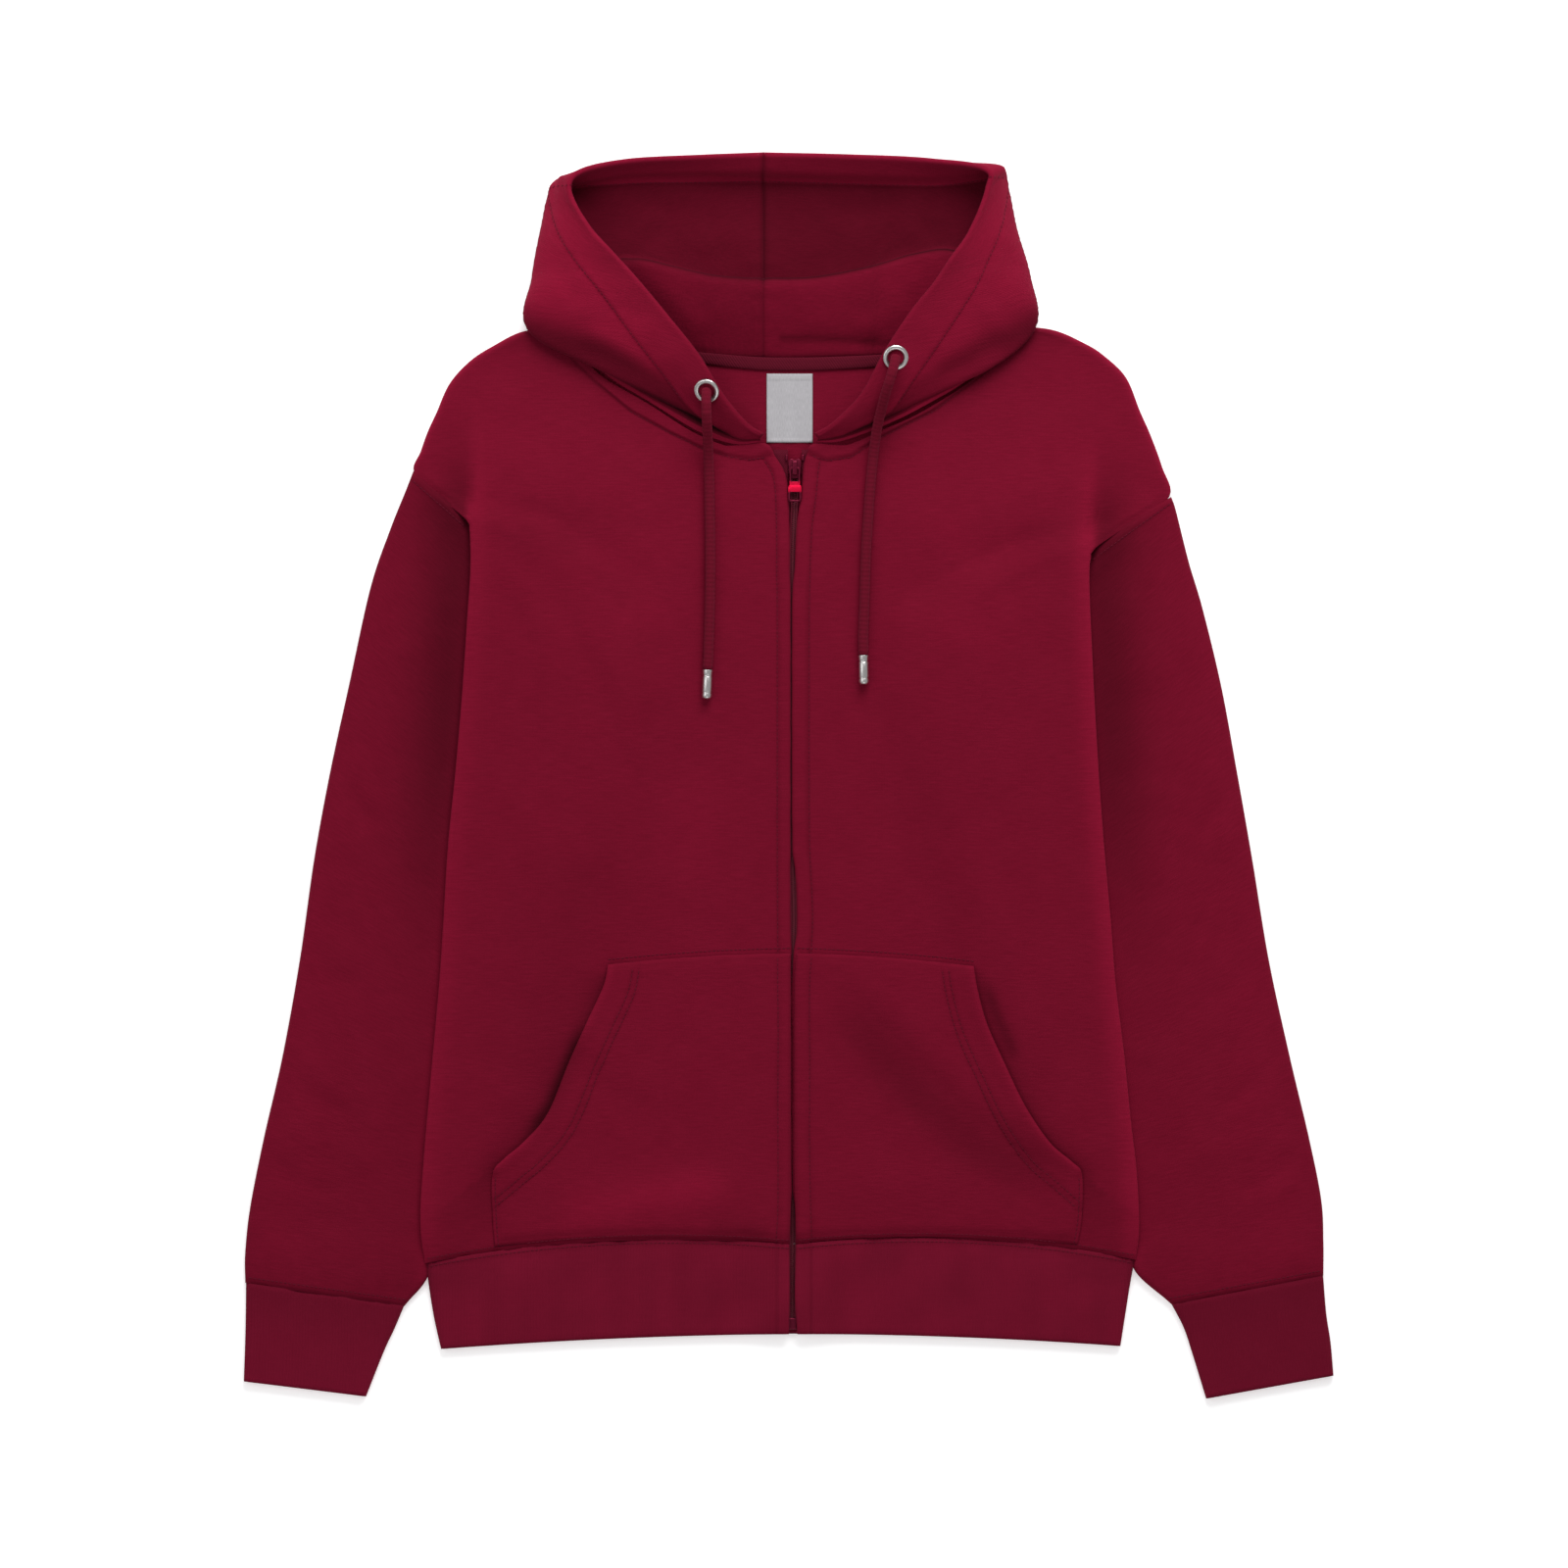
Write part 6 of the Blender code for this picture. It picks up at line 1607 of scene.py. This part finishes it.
def plateRings(outline, low, high, edge):
    # a plate with the given outline (x, y), its upper and lower edges rounded
    outline = np.asarray(outline, float)
    ways = unit(np.roll(outline, -1, 0) - np.roll(outline, 1, 0))
    inward = stacked(-ways[:, 1], ways[:, 0])
    rings = edgeProfile(low, high, edge)
    points = [(*spot, z) for inset, z in rings for spot in outline + inward * inset]
    return np.array(points), ringFaces(len(rings), len(outline))


def roundedOutline(corners, radius, count=5):
    # an outline with its corners rounded, taken anticlockwise
    corners = np.asarray(corners, float)
    found = []
    for before, corner, after in zip(np.roll(corners, 1, 0), corners, np.roll(corners, -1, 0)):
        toBefore, toAfter = unit(before - corner), unit(after - corner)
        reach = min(radius, 0.45 * np.linalg.norm(before - corner),
                    0.45 * np.linalg.norm(after - corner))
        a, b = corner + toBefore * reach, corner + toAfter * reach
        for t in np.linspace(0, 1, count):
            found.append((1 - t) ** 2 * a + 2 * t * (1 - t) * corner + t * t * b)
    return np.array(found)


def sliderPiece(name, material):
    low = zipPath[-1][2] - 0.3 - slider["plate"]
    high = zipPath[-1][2] + zipTape["chainHeight"] + 0.3 + slider["plate"]
    x, y0 = slider["x"], slider["bottomY"]
    y1 = y0 + slider["length"]
    half = 0.5 * slider["width"]
    # the plates are wide at the shoulders and drawn in at the tail, with a notch at the top
    oneSide = [(0.74, y0), (0.86, y0 + 4), (1, y1 - 5), (1, y1 - 1.6), (0.62, y1), (0.2, y1 - 0.9)]
    corners = [(-0.74 * half, y0), *[(part * half, y) for part, y in oneSide],
               *[(-part * half, y) for part, y in oneSide[:0:-1]]]
    outline = roundedOutline([(x + px, py) for px, py in corners], 1.2)
    plate = slider["plate"]
    parts = [plateRings(outline, low, low + plate, 0.35),
             plateRings(outline, high - plate, high, 0.4)]
    # flanges along both sides, and the post between the plates at the top
    for side in (-1, 1):
        wall = roundedBlock((0.9, 0.62 * slider["length"], high - low - 0.3), 0.3, 3)
        parts.append(moved(wall, (x + side * (half - 0.62), y0 + 0.56 * slider["length"],
                                  0.5 * (low + high))))
    post = roundedBlock((2.4, 3.4, high - low - 0.2), 0.6, 3)
    parts.append(moved(post, (x, y1 - 3.0, 0.5 * (low + high))))
    # the bridge that holds the pull's pin
    window = slider["pinZ"] + 0.5 * pull["thick"] + 0.3
    roof = window + slider["bridgePlate"]
    b0, b1 = y0 + 2.0, y1 - 1.2
    shape = [(b0, high - 0.5), (b0 + 1.2, high - 0.5), (b0 + 1.2, window - 0.7),
             (b0 + 1.9, window), (b1 - 2.1, window), (b1 - 1.4, window - 0.7),
             (b1 - 1.4, high - 0.5), (b1, high - 0.5), (b1, roof - 1.2), (b1 - 1.2, roof),
             (b0 + 1.2, roof), (b0, roof - 1.2)]
    outline = roundedOutline(shape, 0.5, 4)
    points, faces = plateRings(outline, -0.5 * slider["bridgeWidth"], 0.5 * slider["bridgeWidth"],
                               0.35)
    turned = stacked(points[:, 2] + x, points[:, 0], points[:, 1])
    parts.append((turned, faces))
    return solidPiece(name, parts, material, 40)


def frameRing(outer, inner, low, high, edge):
    # a closed ring between two outlines of the same number of points, with rounded edges
    outer, inner = np.asarray(outer, float), np.asarray(inner, float)
    profile = edgeProfile(low, high, edge)
    width = np.linalg.norm(outer - inner, axis=1, keepdims=True)
    rings = []
    for here, there, insets in ((outer, inner, profile), (inner, outer, profile[::-1])):
        for inset, z in insets:
            spots = here + (there - here) * (inset / width)
            rings.append(np.column_stack([spots, np.full(len(spots), z)]))
    return np.concatenate(rings), ringFaces(len(rings), len(outer), closed=True)


def boxOutline(halfX, low, high, radius):
    # points round a rounded box, evenly by angle, so that two of them pair up
    centre = np.array((0.0, 0.5 * (low + high)))
    half = np.array((halfX, 0.5 * (high - low)))
    found = []
    for angle in np.linspace(0, 2 * np.pi, pull["outlinePoints"], endpoint=False):
        way = np.array((math.cos(angle), math.sin(angle)))
        scaled = way / max(abs(way[0]) / half[0], abs(way[1]) / half[1])
        core = half - radius
        over = np.maximum(np.abs(scaled) - core, 0)
        if over.min() > 0:
            over = over / np.linalg.norm(over) * radius
            scaled = np.sign(scaled) * (core + over)
        found.append(centre + scaled)
    return np.array(found)


def pullPiece(name, material):
    # a slotted head over the bridge, a solid waist and a wider foot with a window
    x, pinY, pinZ = slider["x"], slider["pinY"], slider["pinZ"]
    half = 0.5 * pull["thick"]
    head, foot = 0.5 * pull["headWidth"], 0.5 * pull["footWidth"]
    slotLow, slotHigh, slotWidth = pull["slot"]
    winLow, winHigh, winWidth = pull["window"]
    split = 0.5 * (slotLow + winHigh) + 1.2
    parts = [frameRing(boxOutline(head, split + 0.6, 0.8, 1.3),
                       boxOutline(0.5 * slotWidth, slotLow, slotHigh, 0.7), -half, half, 0.35)]
    waist = roundedOutline([(-head + 0.1, split - 1.4), (head - 0.1, split - 1.4),
                            (head - 0.1, slotLow - 0.4), (-head + 0.1, slotLow - 0.4)], 0.4)
    parts.append(plateRings(waist, -half + 0.02, half - 0.02, 0.3))
    low = 0.6 - pull["length"]
    parts.append(frameRing(boxOutline(foot, low, split + 0.2, 1.8),
                           boxOutline(0.5 * winWidth, winLow, winHigh, 0.8), -half, half, 0.4))
    rim = pull["frameRise"]
    parts.append(frameRing(boxOutline(foot - 0.5, low + 0.5, split - 0.4, 1.5),
                           boxOutline(0.5 * winWidth + 0.35, winLow - 0.35, winHigh + 0.35, 0.9),
                           half - 0.1, half + rim, 0.16))
    points, faces = joined(parts)
    bright = ease((slotLow - points[:, 1]) / 0.6) * ease((points[:, 1] - winHigh) / 0.6)
    points = points + (x, pinY, pinZ)
    mesh = meshFrom(name, points, faces, marks={"bright": bright}, sharp=40)
    return addObject(name, mesh, material)


# eyelets and drawcords

eyelet = {"outer": 8.8, "inner": 5.4, "height": 1.6, "around": 72}
# x, y, z and the cloth's slope in x and y
eyelets = {-1: (-56.4, 265.9, 24.1, 0.24, 0.46), 1: (74.6, 288.8, 30.1, -0.04, 0.25)}
cord = {
    "radius": 3.5, "points": 34, "tipRadius": 3.7,
    "around": 32, "strands": 8, "turnLength": 21.0, "relief": 0.3,
}
rightCordRoute = [
    (-56.4, 266, 24.1), (-56.5, 264.2, 26), (-56.6, 261.8, 28.5), (-56.6, 258.4, 30.1),
    (-56.5, 254, 30.6), (-56.3, 248.5, 29.6), (-56, 242.5, 26.6), (-55.7, 236.5, 22.6),
    (-55.4, 230, 18.4), (-55.1, 222.5, 14.6), (-54.8, 213, 11.6), (-54.5, 201, 10.2),
    (-54.2, 184, 9.8), (-53.9, 150, 9.9), (-54.2, 116, 9.9), (-55, 90, 9.7), (-55.6, 73.6, 9.6),
]
leftCordRoute = [
    (74.6, 288.8, 31), (74.3, 287.1, 33), (73.8, 284.9, 34.8), (73, 281.6, 36.5),
    (71.7, 277.2, 37.1), (70, 271.8, 36.2), (68.1, 265.8, 33.4), (66.3, 259.8, 29.6),
    (64.8, 253.4, 25.2), (63, 246, 20.6), (61.4, 238, 16.4), (60, 228, 12.9), (58.6, 215, 10.9),
    (57, 198, 10.2), (55.4, 174, 10), (54, 150, 10), (53, 116, 10.2), (52.2, 97, 10.4),
    (52.4, 83.6, 10.6),
]


def lathe(profile, around):
    # a turned ring from (radius, height) pairs that close on themselves
    angles = np.linspace(0, 2 * np.pi, around, endpoint=False)
    points = np.array([(r * math.cos(a), r * math.sin(a), z) for a in angles for r, z in profile])
    size, faces = len(profile), []
    for k in range(around):
        for i in range(size):
            a, b = k * size + i, k * size + (i + 1) % size
            c, d = (k + 1) % around * size + (i + 1) % size, (k + 1) % around * size + i
            faces.append([a, d, c, b])
    return points, faces


def eyeletPiece(side, name, material):
    x, y, z, slopeX, slopeY = eyelets[side]
    turn = Vector((-slopeX, -slopeY, 1)).normalized().to_track_quat("Z", "Y").to_matrix()
    outer, inner, high = eyelet["outer"], eyelet["inner"], 0.5 * eyelet["height"]
    middle, half = 0.5 * (outer + inner), 0.5 * (outer - inner)
    profile = [(middle + half * math.cos(t), -0.2 + (high + 0.3) * max(math.sin(t), 0) ** 0.8)
               for t in np.linspace(0, np.pi, 15)]
    profile += [(inner, -high), (outer, -high)]
    points, faces = moved(lathe(profile, eyelet["around"]), (x, y, z), turn)
    return addObject(name, meshFrom(name, points, faces, sharp=60), material)


def cordLine(route):
    curve = catmull(route, [12] * (len(route) - 1))
    run = runAlong(curve)
    return spotsAt(curve, run, cord["points"]), run[-1]


def braidRelief(angles, run):
    # strands that cross over and under each other round the cord
    strands, turn = cord["strands"], 2 * np.pi * run / cord["turnLength"]
    one = np.cos(0.5 * strands * (angles + turn))
    two = np.cos(0.5 * strands * (angles - turn))
    over = np.sin(strands * angles) * np.sin(strands * turn)
    return cord["relief"] * (0.5 * np.maximum(np.abs(one), np.abs(two)) + 0.12 * over - 0.45)


def drawcordPiece(name, route, material):
    line, length = cordLine(route)
    fine, _ = evenPoints(line, 0.75 * coarse)
    left = length - np.linspace(0, length, len(fine))
    radii = cord["radius"] * (1 - 0.1 * (1 - ease(left / 3)))
    points, faces, place = tubeAlong(fine, radii, cord["around"] // coarse, braidRelief)
    made = addObject(name, meshFrom(name, points, faces, place), material)
    return made, line, length


def agletPiece(name, line, material):
    end = line[-1]
    way = unit(line[-1] - line[-3])
    # distance along the tip, and its radius there: a rolled mouth, two crimps, a rounded end
    shape = [(0.0, 0.86), (0.15, 0.97), (0.6, 1.0), (1.3, 0.98), (2.0, 0.95), (3.2, 0.95),
             (3.6, 0.9), (4.2, 0.87), (4.8, 0.9), (5.2, 0.95), (9.0, 0.955), (14.8, 0.95),
             (15.4, 0.9), (15.9, 0.88), (16.4, 0.9), (17.0, 0.95), (18.6, 0.93), (19.5, 0.84),
             (20.1, 0.66), (20.4, 0.42), (20.5, 0.2)]
    spots = np.array([end + way * (cloth["seam"] + along) for along, _ in shape])
    radii = [cord["tipRadius"] * part for _, part in shape]
    points, faces, _ = tubeAlong(spots, radii, 48 // coarse)
    return addObject(name, meshFrom(name, points, faces, sharp=50), material)

# stitches

stitch = {"length": 2.3, "gap": 0.75, "radius": 0.3, "sunk": 0.1, "around": 6}


def capsule(length, radius, around):
    half = 0.5 * length
    rings = [(-half, 0.35), (-half + 0.6 * radius, 0.85), (0.0, 1.0), (half - 0.6 * radius, 0.85),
             (half, 0.35)]
    points, faces = [], []
    for y, share in rings:
        for k in range(around):
            angle = 2 * math.pi * k / around
            points.append((share * radius * math.cos(angle), y, share * radius * math.sin(angle)))
    for ring in range(len(rings) - 1):
        for k in range(around):
            j = (k + 1) % around
            a, b = ring * around, (ring + 1) * around
            faces.append([a + k, b + k, b + j, a + j])
    faces.append(list(range(around)))
    faces.append(list(range(len(points) - around, len(points)))[::-1])
    return np.array(points), faces


def topOf(objects):
    # a tree of the given meshes, to find the surface under a point seen from above
    points, faces, before = [], [], 0
    for made in objects:
        count = len(made.data.vertices)
        some = np.zeros(3 * count, np.float32)
        made.data.vertices.foreach_get("co", some)
        points += some.reshape(-1, 3).tolist()
        faces += [[before + i for i in face.vertices] for face in made.data.polygons]
        before += count
    return BVHTree.FromPolygons(points, faces)


def stitchPiece(name, paths, tree):
    # short threads that lie along paths, half sunk in the cloth under them
    pitch = stitch["length"] + stitch["gap"]
    shape = capsule(stitch["length"], stitch["radius"], stitch["around"])
    parts = []
    down = Vector((0, 0, -1))
    for path in paths:
        path = np.asarray(path, float)[:, :2]
        line, ways = evenPoints(path, pitch)
        for spot, way in zip(line[:-1] + 0.5 * np.diff(line, axis=0), ways[:-1]):
            hit = tree.ray_cast(Vector((spot[0] * mm, spot[1] * mm, 0.2)), down)
            if hit[0] is None:
                continue
            normal = np.array(hit[1])
            if normal[2] < 0:
                normal = -normal
            along = np.array((way[0], way[1], 0.0))
            along = unit(along - normal * (along @ normal))
            turn = np.stack([np.cross(along, normal), along, normal], axis=1)
            middle = np.array(hit[0]) / mm + normal * stitch["sunk"]
            parts.append(moved(shape, middle, turn))
    points, faces = joined(parts)
    made = addObject(name, meshFrom(name, points, faces), looks["thread"])
    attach(made, "garment")
    return made


# materials

# the size of the knit's wales and courses and the depths are in metres
fleece = {
    "colour": (0.168, 0.0036, 0.0190), "deep": (0.114, 0.0023, 0.0125),
    "pale": (0.208, 0.0056, 0.0260),
    "streak": 0.30,              # strength of the heather streaks
    "rough": 0.93, "sheen": 0.12, "lumps": 1.4,
    "wale": 0.0011, "course": 0.0009, "knitDepth": 0.00006, "fuzzDepth": 0.00022,
}
ribbing = {
    "colour": (0.142, 0.0041, 0.0185), "deep": (0.09, 0.0026, 0.012),
    "pale": (0.175, 0.0062, 0.025),
    "streak": 0.14,
    "rough": 0.94, "sheen": 0.1, "lumps": 0.5,
    "wale": 0.0021, "course": 0.0008, "knitDepth": 0.00022, "fuzzDepth": 0.00014,
}
sheenTint = (1.0, 0.12, 0.25, 1)
# colours of the trims: dark, pale and what lies over them
trims = {
    "braid": ((0.112, 0.0028, 0.0125), (0.160, 0.0045, 0.0200), (0.190, 0.0070, 0.027)),
    "label": ((0.36, 0.350, 0.368), (0.46, 0.448, 0.468), (0.31, 0.297, 0.318)),
    "teeth": ((0.085, 0.0030, 0.012), (0.130, 0.0045, 0.020)),
    "thread": ((0.090, 0.0035, 0.0135), (0.150, 0.0070, 0.0250)),
}


def clothMaterial(name, look):
    # knit with heather streaks across, fine wales and a brushed surface
    made = Material(name, Roughness=look["rough"], Sheen_Weight=look["sheen"],
                    Sheen_Roughness=0.45, Sheen_Tint=sheenTint, Specular_IOR_Level=0.06)
    place = made.place()
    streaks = made.noise(made.stretched(place, 75, 1500), 1.0, 3.0, 0.6).between(0.30, 0.72)
    specks = made.noise(made.stretched(place, 420, 1300), 1.0, 2.0, 0.6).between(0.3, 0.75)
    patches = made.noise(place, 38.0, 3.0, 0.55).between(0.25, 0.75)
    shade = made.attribute("shade")
    base = made.mix(streaks * look["streak"] + specks * 0.12 + patches * 0.06,
                    rgb(look["colour"]), rgb(look["pale"]))
    deep = made.mix((1 - streaks) * look["streak"] + (1 - patches) * 0.05, base, rgb(look["deep"]))
    dark = made.mix(shade * 0.45, deep, rgb(look["deep"], 0.6))
    # painted light and shade: a mark scales the colour up where light falls and down where shade
    # lies; on the hem band it only lightens it, unevenly
    made.feed("Base Color", made.scaled(dark, 1 + made.attribute("toneAndPaintedLight")))
    across, along = made.split(place)
    wale = across.wave(look["wale"])
    course = along.wave(look["course"], wale * 1.2)
    fuzz = made.noise(place, 1500.0, 3.0, 0.65)
    lumps = made.noise(made.stretched(place, 160, 380), 1.0, 3.0, 0.55)
    knit = made.bump(wale * 0.5 + course * 0.3, look["knitDepth"])
    made.feed("Normal", made.bump(fuzz + lumps * look["lumps"], look["fuzzDepth"], knit))
    made.feed("Roughness", look["rough"] - patches * 0.06)
    return made.made


def tapeMaterial(name, colour, twill):
    made = Material(name, Roughness=0.85, Specular_IOR_Level=0.08)
    across, along = made.split(made.place())
    weave = (across + along * 0.7).wave(twill)
    cross = (across - along * 0.4).wave(twill * 0.6)
    mask = (weave * 0.5 + 0.5) * 0.5
    made.feed("Base Color", made.mix(mask, rgb(colour, 0.7), rgb(colour, 1.25)))
    made.feed("Normal", made.bump(weave * 0.6 + cross * 0.3, 0.00015))
    return made.made


def braidMaterial():
    made = Material("braid", Roughness=0.82, Sheen_Weight=0.12, Sheen_Roughness=0.4,
                    Sheen_Tint=sheenTint, Specular_IOR_Level=0.08)
    across, along = made.split(made.place())
    plait = 0.0062
    plaits = (across * 8 + along).wave(plait) * (along - across * 8).wave(plait)
    fuzz = made.noise(made.place(), 1400.0, 3.0, 0.6)
    dark, pale, over = (rgb(colour) for colour in trims["braid"])
    base = made.mix(plaits * 0.5 + 0.5, dark, pale)
    made.feed("Base Color", made.mix(fuzz.between(0.35, 0.75) * 0.25, base, over))
    made.feed("Normal", made.bump(plaits * 0.5 + fuzz * 0.8, 0.0002))
    return made.made


def labelMaterial():
    made = Material("label", Roughness=0.5, Sheen_Weight=0.25)
    place = made.place()
    _, along = made.split(place)
    satin = made.noise(made.stretched(place, 3000, 260), 1.0, 2.0, 0.5)
    weave = along.wave(0.00052)
    cloudy = made.noise(place, 60.0, 3.0, 0.5).between(0.3, 0.7)
    dark, pale, over = (rgb(colour) for colour in trims["label"])
    base = made.mix(satin.between(0.3, 0.7), dark, pale)
    made.feed("Base Color", made.mix(cloudy * 0.2, base, over))
    made.feed("Roughness", 0.42 + satin * 0.2)
    made.feed("Normal", made.bump(weave * 0.3 + satin * 0.6, 0.00006))
    return made.made


def metalMaterial(name, colour, rough, metallic, coat, wear, bright=None):
    # bright is the colour where the mesh is marked so
    made = Material(name, Metallic=metallic, Roughness=rough, Coat_Weight=coat)
    place = made.objectPlace()
    smear = made.noise(place, 900.0, 3.0, 0.6)
    scratch = made.noise(made.stretched(place, 4200, 500, 0.5), 1.0, 2.0, 0.6).between(0.55, 0.75)
    mask = scratch * wear
    base = made.mix(mask, rgb(colour), rgb(colour, 1.7))
    if bright:
        base = made.mix(made.attribute("bright"), base, rgb(bright))
    made.feed("Base Color", base)
    made.feed("Roughness", rough + smear * 0.12 + mask * 0.1)
    made.feed("Normal", made.bump(smear * 0.3 + scratch * 0.4, 0.00002))
    return made.made


def teethMaterial():
    made = Material("zipTeeth", Roughness=0.5, Specular_IOR_Level=0.2)
    place = made.objectPlace()
    speck = made.noise(place, 1100.0, 2.0, 0.5).between(0.3, 0.7)
    made.feed("Base Color", made.mix(speck, *(rgb(colour) for colour in trims["teeth"])))
    made.feed("Roughness", 0.36 + speck * 0.16)
    return made.made


def threadMaterial():
    made = Material("thread", Roughness=0.7, Specular_IOR_Level=0.1)
    place = made.objectPlace()
    twist = made.noise(place, 2600.0, 2.0, 0.6)
    made.feed("Base Color", made.mix(twist.between(0.3, 0.7),
                                     *(rgb(colour) for colour in trims["thread"])))
    made.feed("Normal", made.bump(twist, 0.0001))
    return made.made


def floorPiece():
    made = Material("floor", Roughness=floorLook["roughness"],
                    Emission_Strength=floorLook["glow"])
    made.shader.inputs["Emission Color"].default_value = (1, 1, 1, 1)
    place = made.objectPlace()
    cloudy = made.noise(place, 2.0, 2.0, 0.5)
    made.feed("Base Color", made.mix(cloudy.between(0.3, 0.7) * 0.3, rgb(floorLook["colour"]),
                                     rgb(floorLook["colour"], 0.985)))
    half = 0.5 * floorLook["size"]
    corners = [(right * half, up * half, floorLook["z"])
               for right, up in ((-1, -1), (1, -1), (1, 1), (-1, 1))]
    floor = addObject("floor", meshFrom("floor", corners, [[0, 1, 2, 3]], smooth=False), made.made)


# everything is put together

looks = {
    "fleece": clothMaterial("fleece", fleece),
    "ribbing": clothMaterial("ribbing", ribbing),
    "tape": tapeMaterial("neckTape", (0.13, 0.006, 0.02), 0.0019),
    "zip_cloth": tapeMaterial("zipCloth", (0.115, 0.005, 0.018), 0.0013),
    "zip_teeth": teethMaterial(),
    "lacquer": metalMaterial("lacquer", (0.135, 0.003, 0.022), 0.34, 0.8, 0.03, 0.3,
                             bright=(0.95, 0.004, 0.06)),
    "nickel": metalMaterial("nickel", (0.66, 0.64, 0.63), 0.24, 1.0, 0.0, 0.25),
    "label": labelMaterial(),
    "braid": braidMaterial(),
    "thread": threadMaterial(),
}
print("materials are ready")


def settle(made, node, body="garment"):
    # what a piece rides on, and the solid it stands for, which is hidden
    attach(made, body)
    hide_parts(node)
    return made


def single(build, name, node, slot, body="garment"):
    return settle(build(name, looks[slot]), node, body)


def pair(build, stem, node, slot, tables=((), ())):
    # the right and the left piece of a kind
    found = []
    for side, word, table in zip((-1, 1), ("Right", "Left"), tables):
        made = build(side, stem + word, *([table] if table else []), looks[slot])
        found.append(settle(made, node + "_" + word.lower()))
    return found


floorPiece()

for word, route in (("Right", rightCordRoute), ("Left", leftCordRoute)):
    made, line, length = drawcordPiece("drawcord" + word, route, looks["braid"])
    tip = agletPiece("aglet" + word, line, looks["nickel"])
    settle(tip, "aglet_" + word.lower())
    settle(made, "drawcord_" + word.lower())
    (line[0] * mm).tolist()
    length * mm
    (line * mm).tolist()
    print(made.name, "is", round(length), "mm long")

back = single(backPanel, "backPanel", "back_panel", "fleece")
frontRight, frontLeft = pair(frontPanel, "front", "front_panel", "fleece")
print("body panels are ready")
sleeveRight, sleeveLeft = pair(sleevePiece, "sleeve", "sleeve", "fleece",
                               (rightSleeve, leftSleeve))
cuffRight, cuffLeft = pair(cuffPiece, "cuff", "cuff", "ribbing", (rightCuff, leftCuff))
hem = single(hemBand, "hemBand", "waistband", "ribbing")
print("sleeves, cuffs and hem band are ready")
hoodRight, hoodLeft = pair(hoodHalf, "hood", "hood", "fleece")
hoodUnder = single(hoodBack, "hoodUnder", "hood_folded_back", "fleece")
print("hood is ready")
pocketRight, pocketLeft = pair(pocketPiece, "pocket", "pocket", "fleece",
                               (rightPocket, leftPocket))
tape = single(neckTape, "neckTape", "neck_tape", "tape")
label = single(neckLabel, "neckLabel", "neck_label", "label")
print("pockets, tape and label are ready")
single(zipChain, "zipTeeth", "zip_chain", "zip_teeth")
zipTapeRight, zipTapeLeft = pair(zipTapePiece, "zipTape", "zip_tape", "zip_cloth")
single(zipBoxPiece, "zipBox", "zip_box", "lacquer")
pair(zipStopPiece, "zipStop", "zip_stop", "lacquer")
single(sliderPiece, "zipSlider", "zip_slider", "lacquer")
single(pullPiece, "zipPull", "zip_pull", "lacquer", "pull")
pair(eyeletPiece, "eyelet", "eyelet", "nickel")
print("zip and eyelets are ready")

# stitching: plackets and neck, pockets, hem band, armholes and cuffs, the hood's channel
fronts = topOf([frontRight, frontLeft])
neckLines = [np.array(neckStitches[side][1:7]) for side in (-1, 1)]
stitchPiece("placketThread", [weltStitches[-1], weltStitches[1], *neckLines], fronts)
pockets = topOf([frontRight, frontLeft, pocketRight, pocketLeft])
overBand = [bandEdge[0][2:-2] + (0, band["stitch"])]
stitchPiece("pocketThread", pocketStitches[-1] + pocketStitches[1] + overBand, pockets)
stitchPiece("bandThread", [bandEdge[0] - (0, band["stitch"])], topOf([hem]))
stitchPiece("sleeveThread", tubeStitches, topOf([sleeveRight, sleeveLeft]))
hoodLines = [hoodHemLines[side][4 * hood["finer"] // coarse:] for side in (-1, 1)]
stitchPiece("hoodThread", hoodLines, topOf([hoodRight, hoodLeft]))
print("stitching is ready")
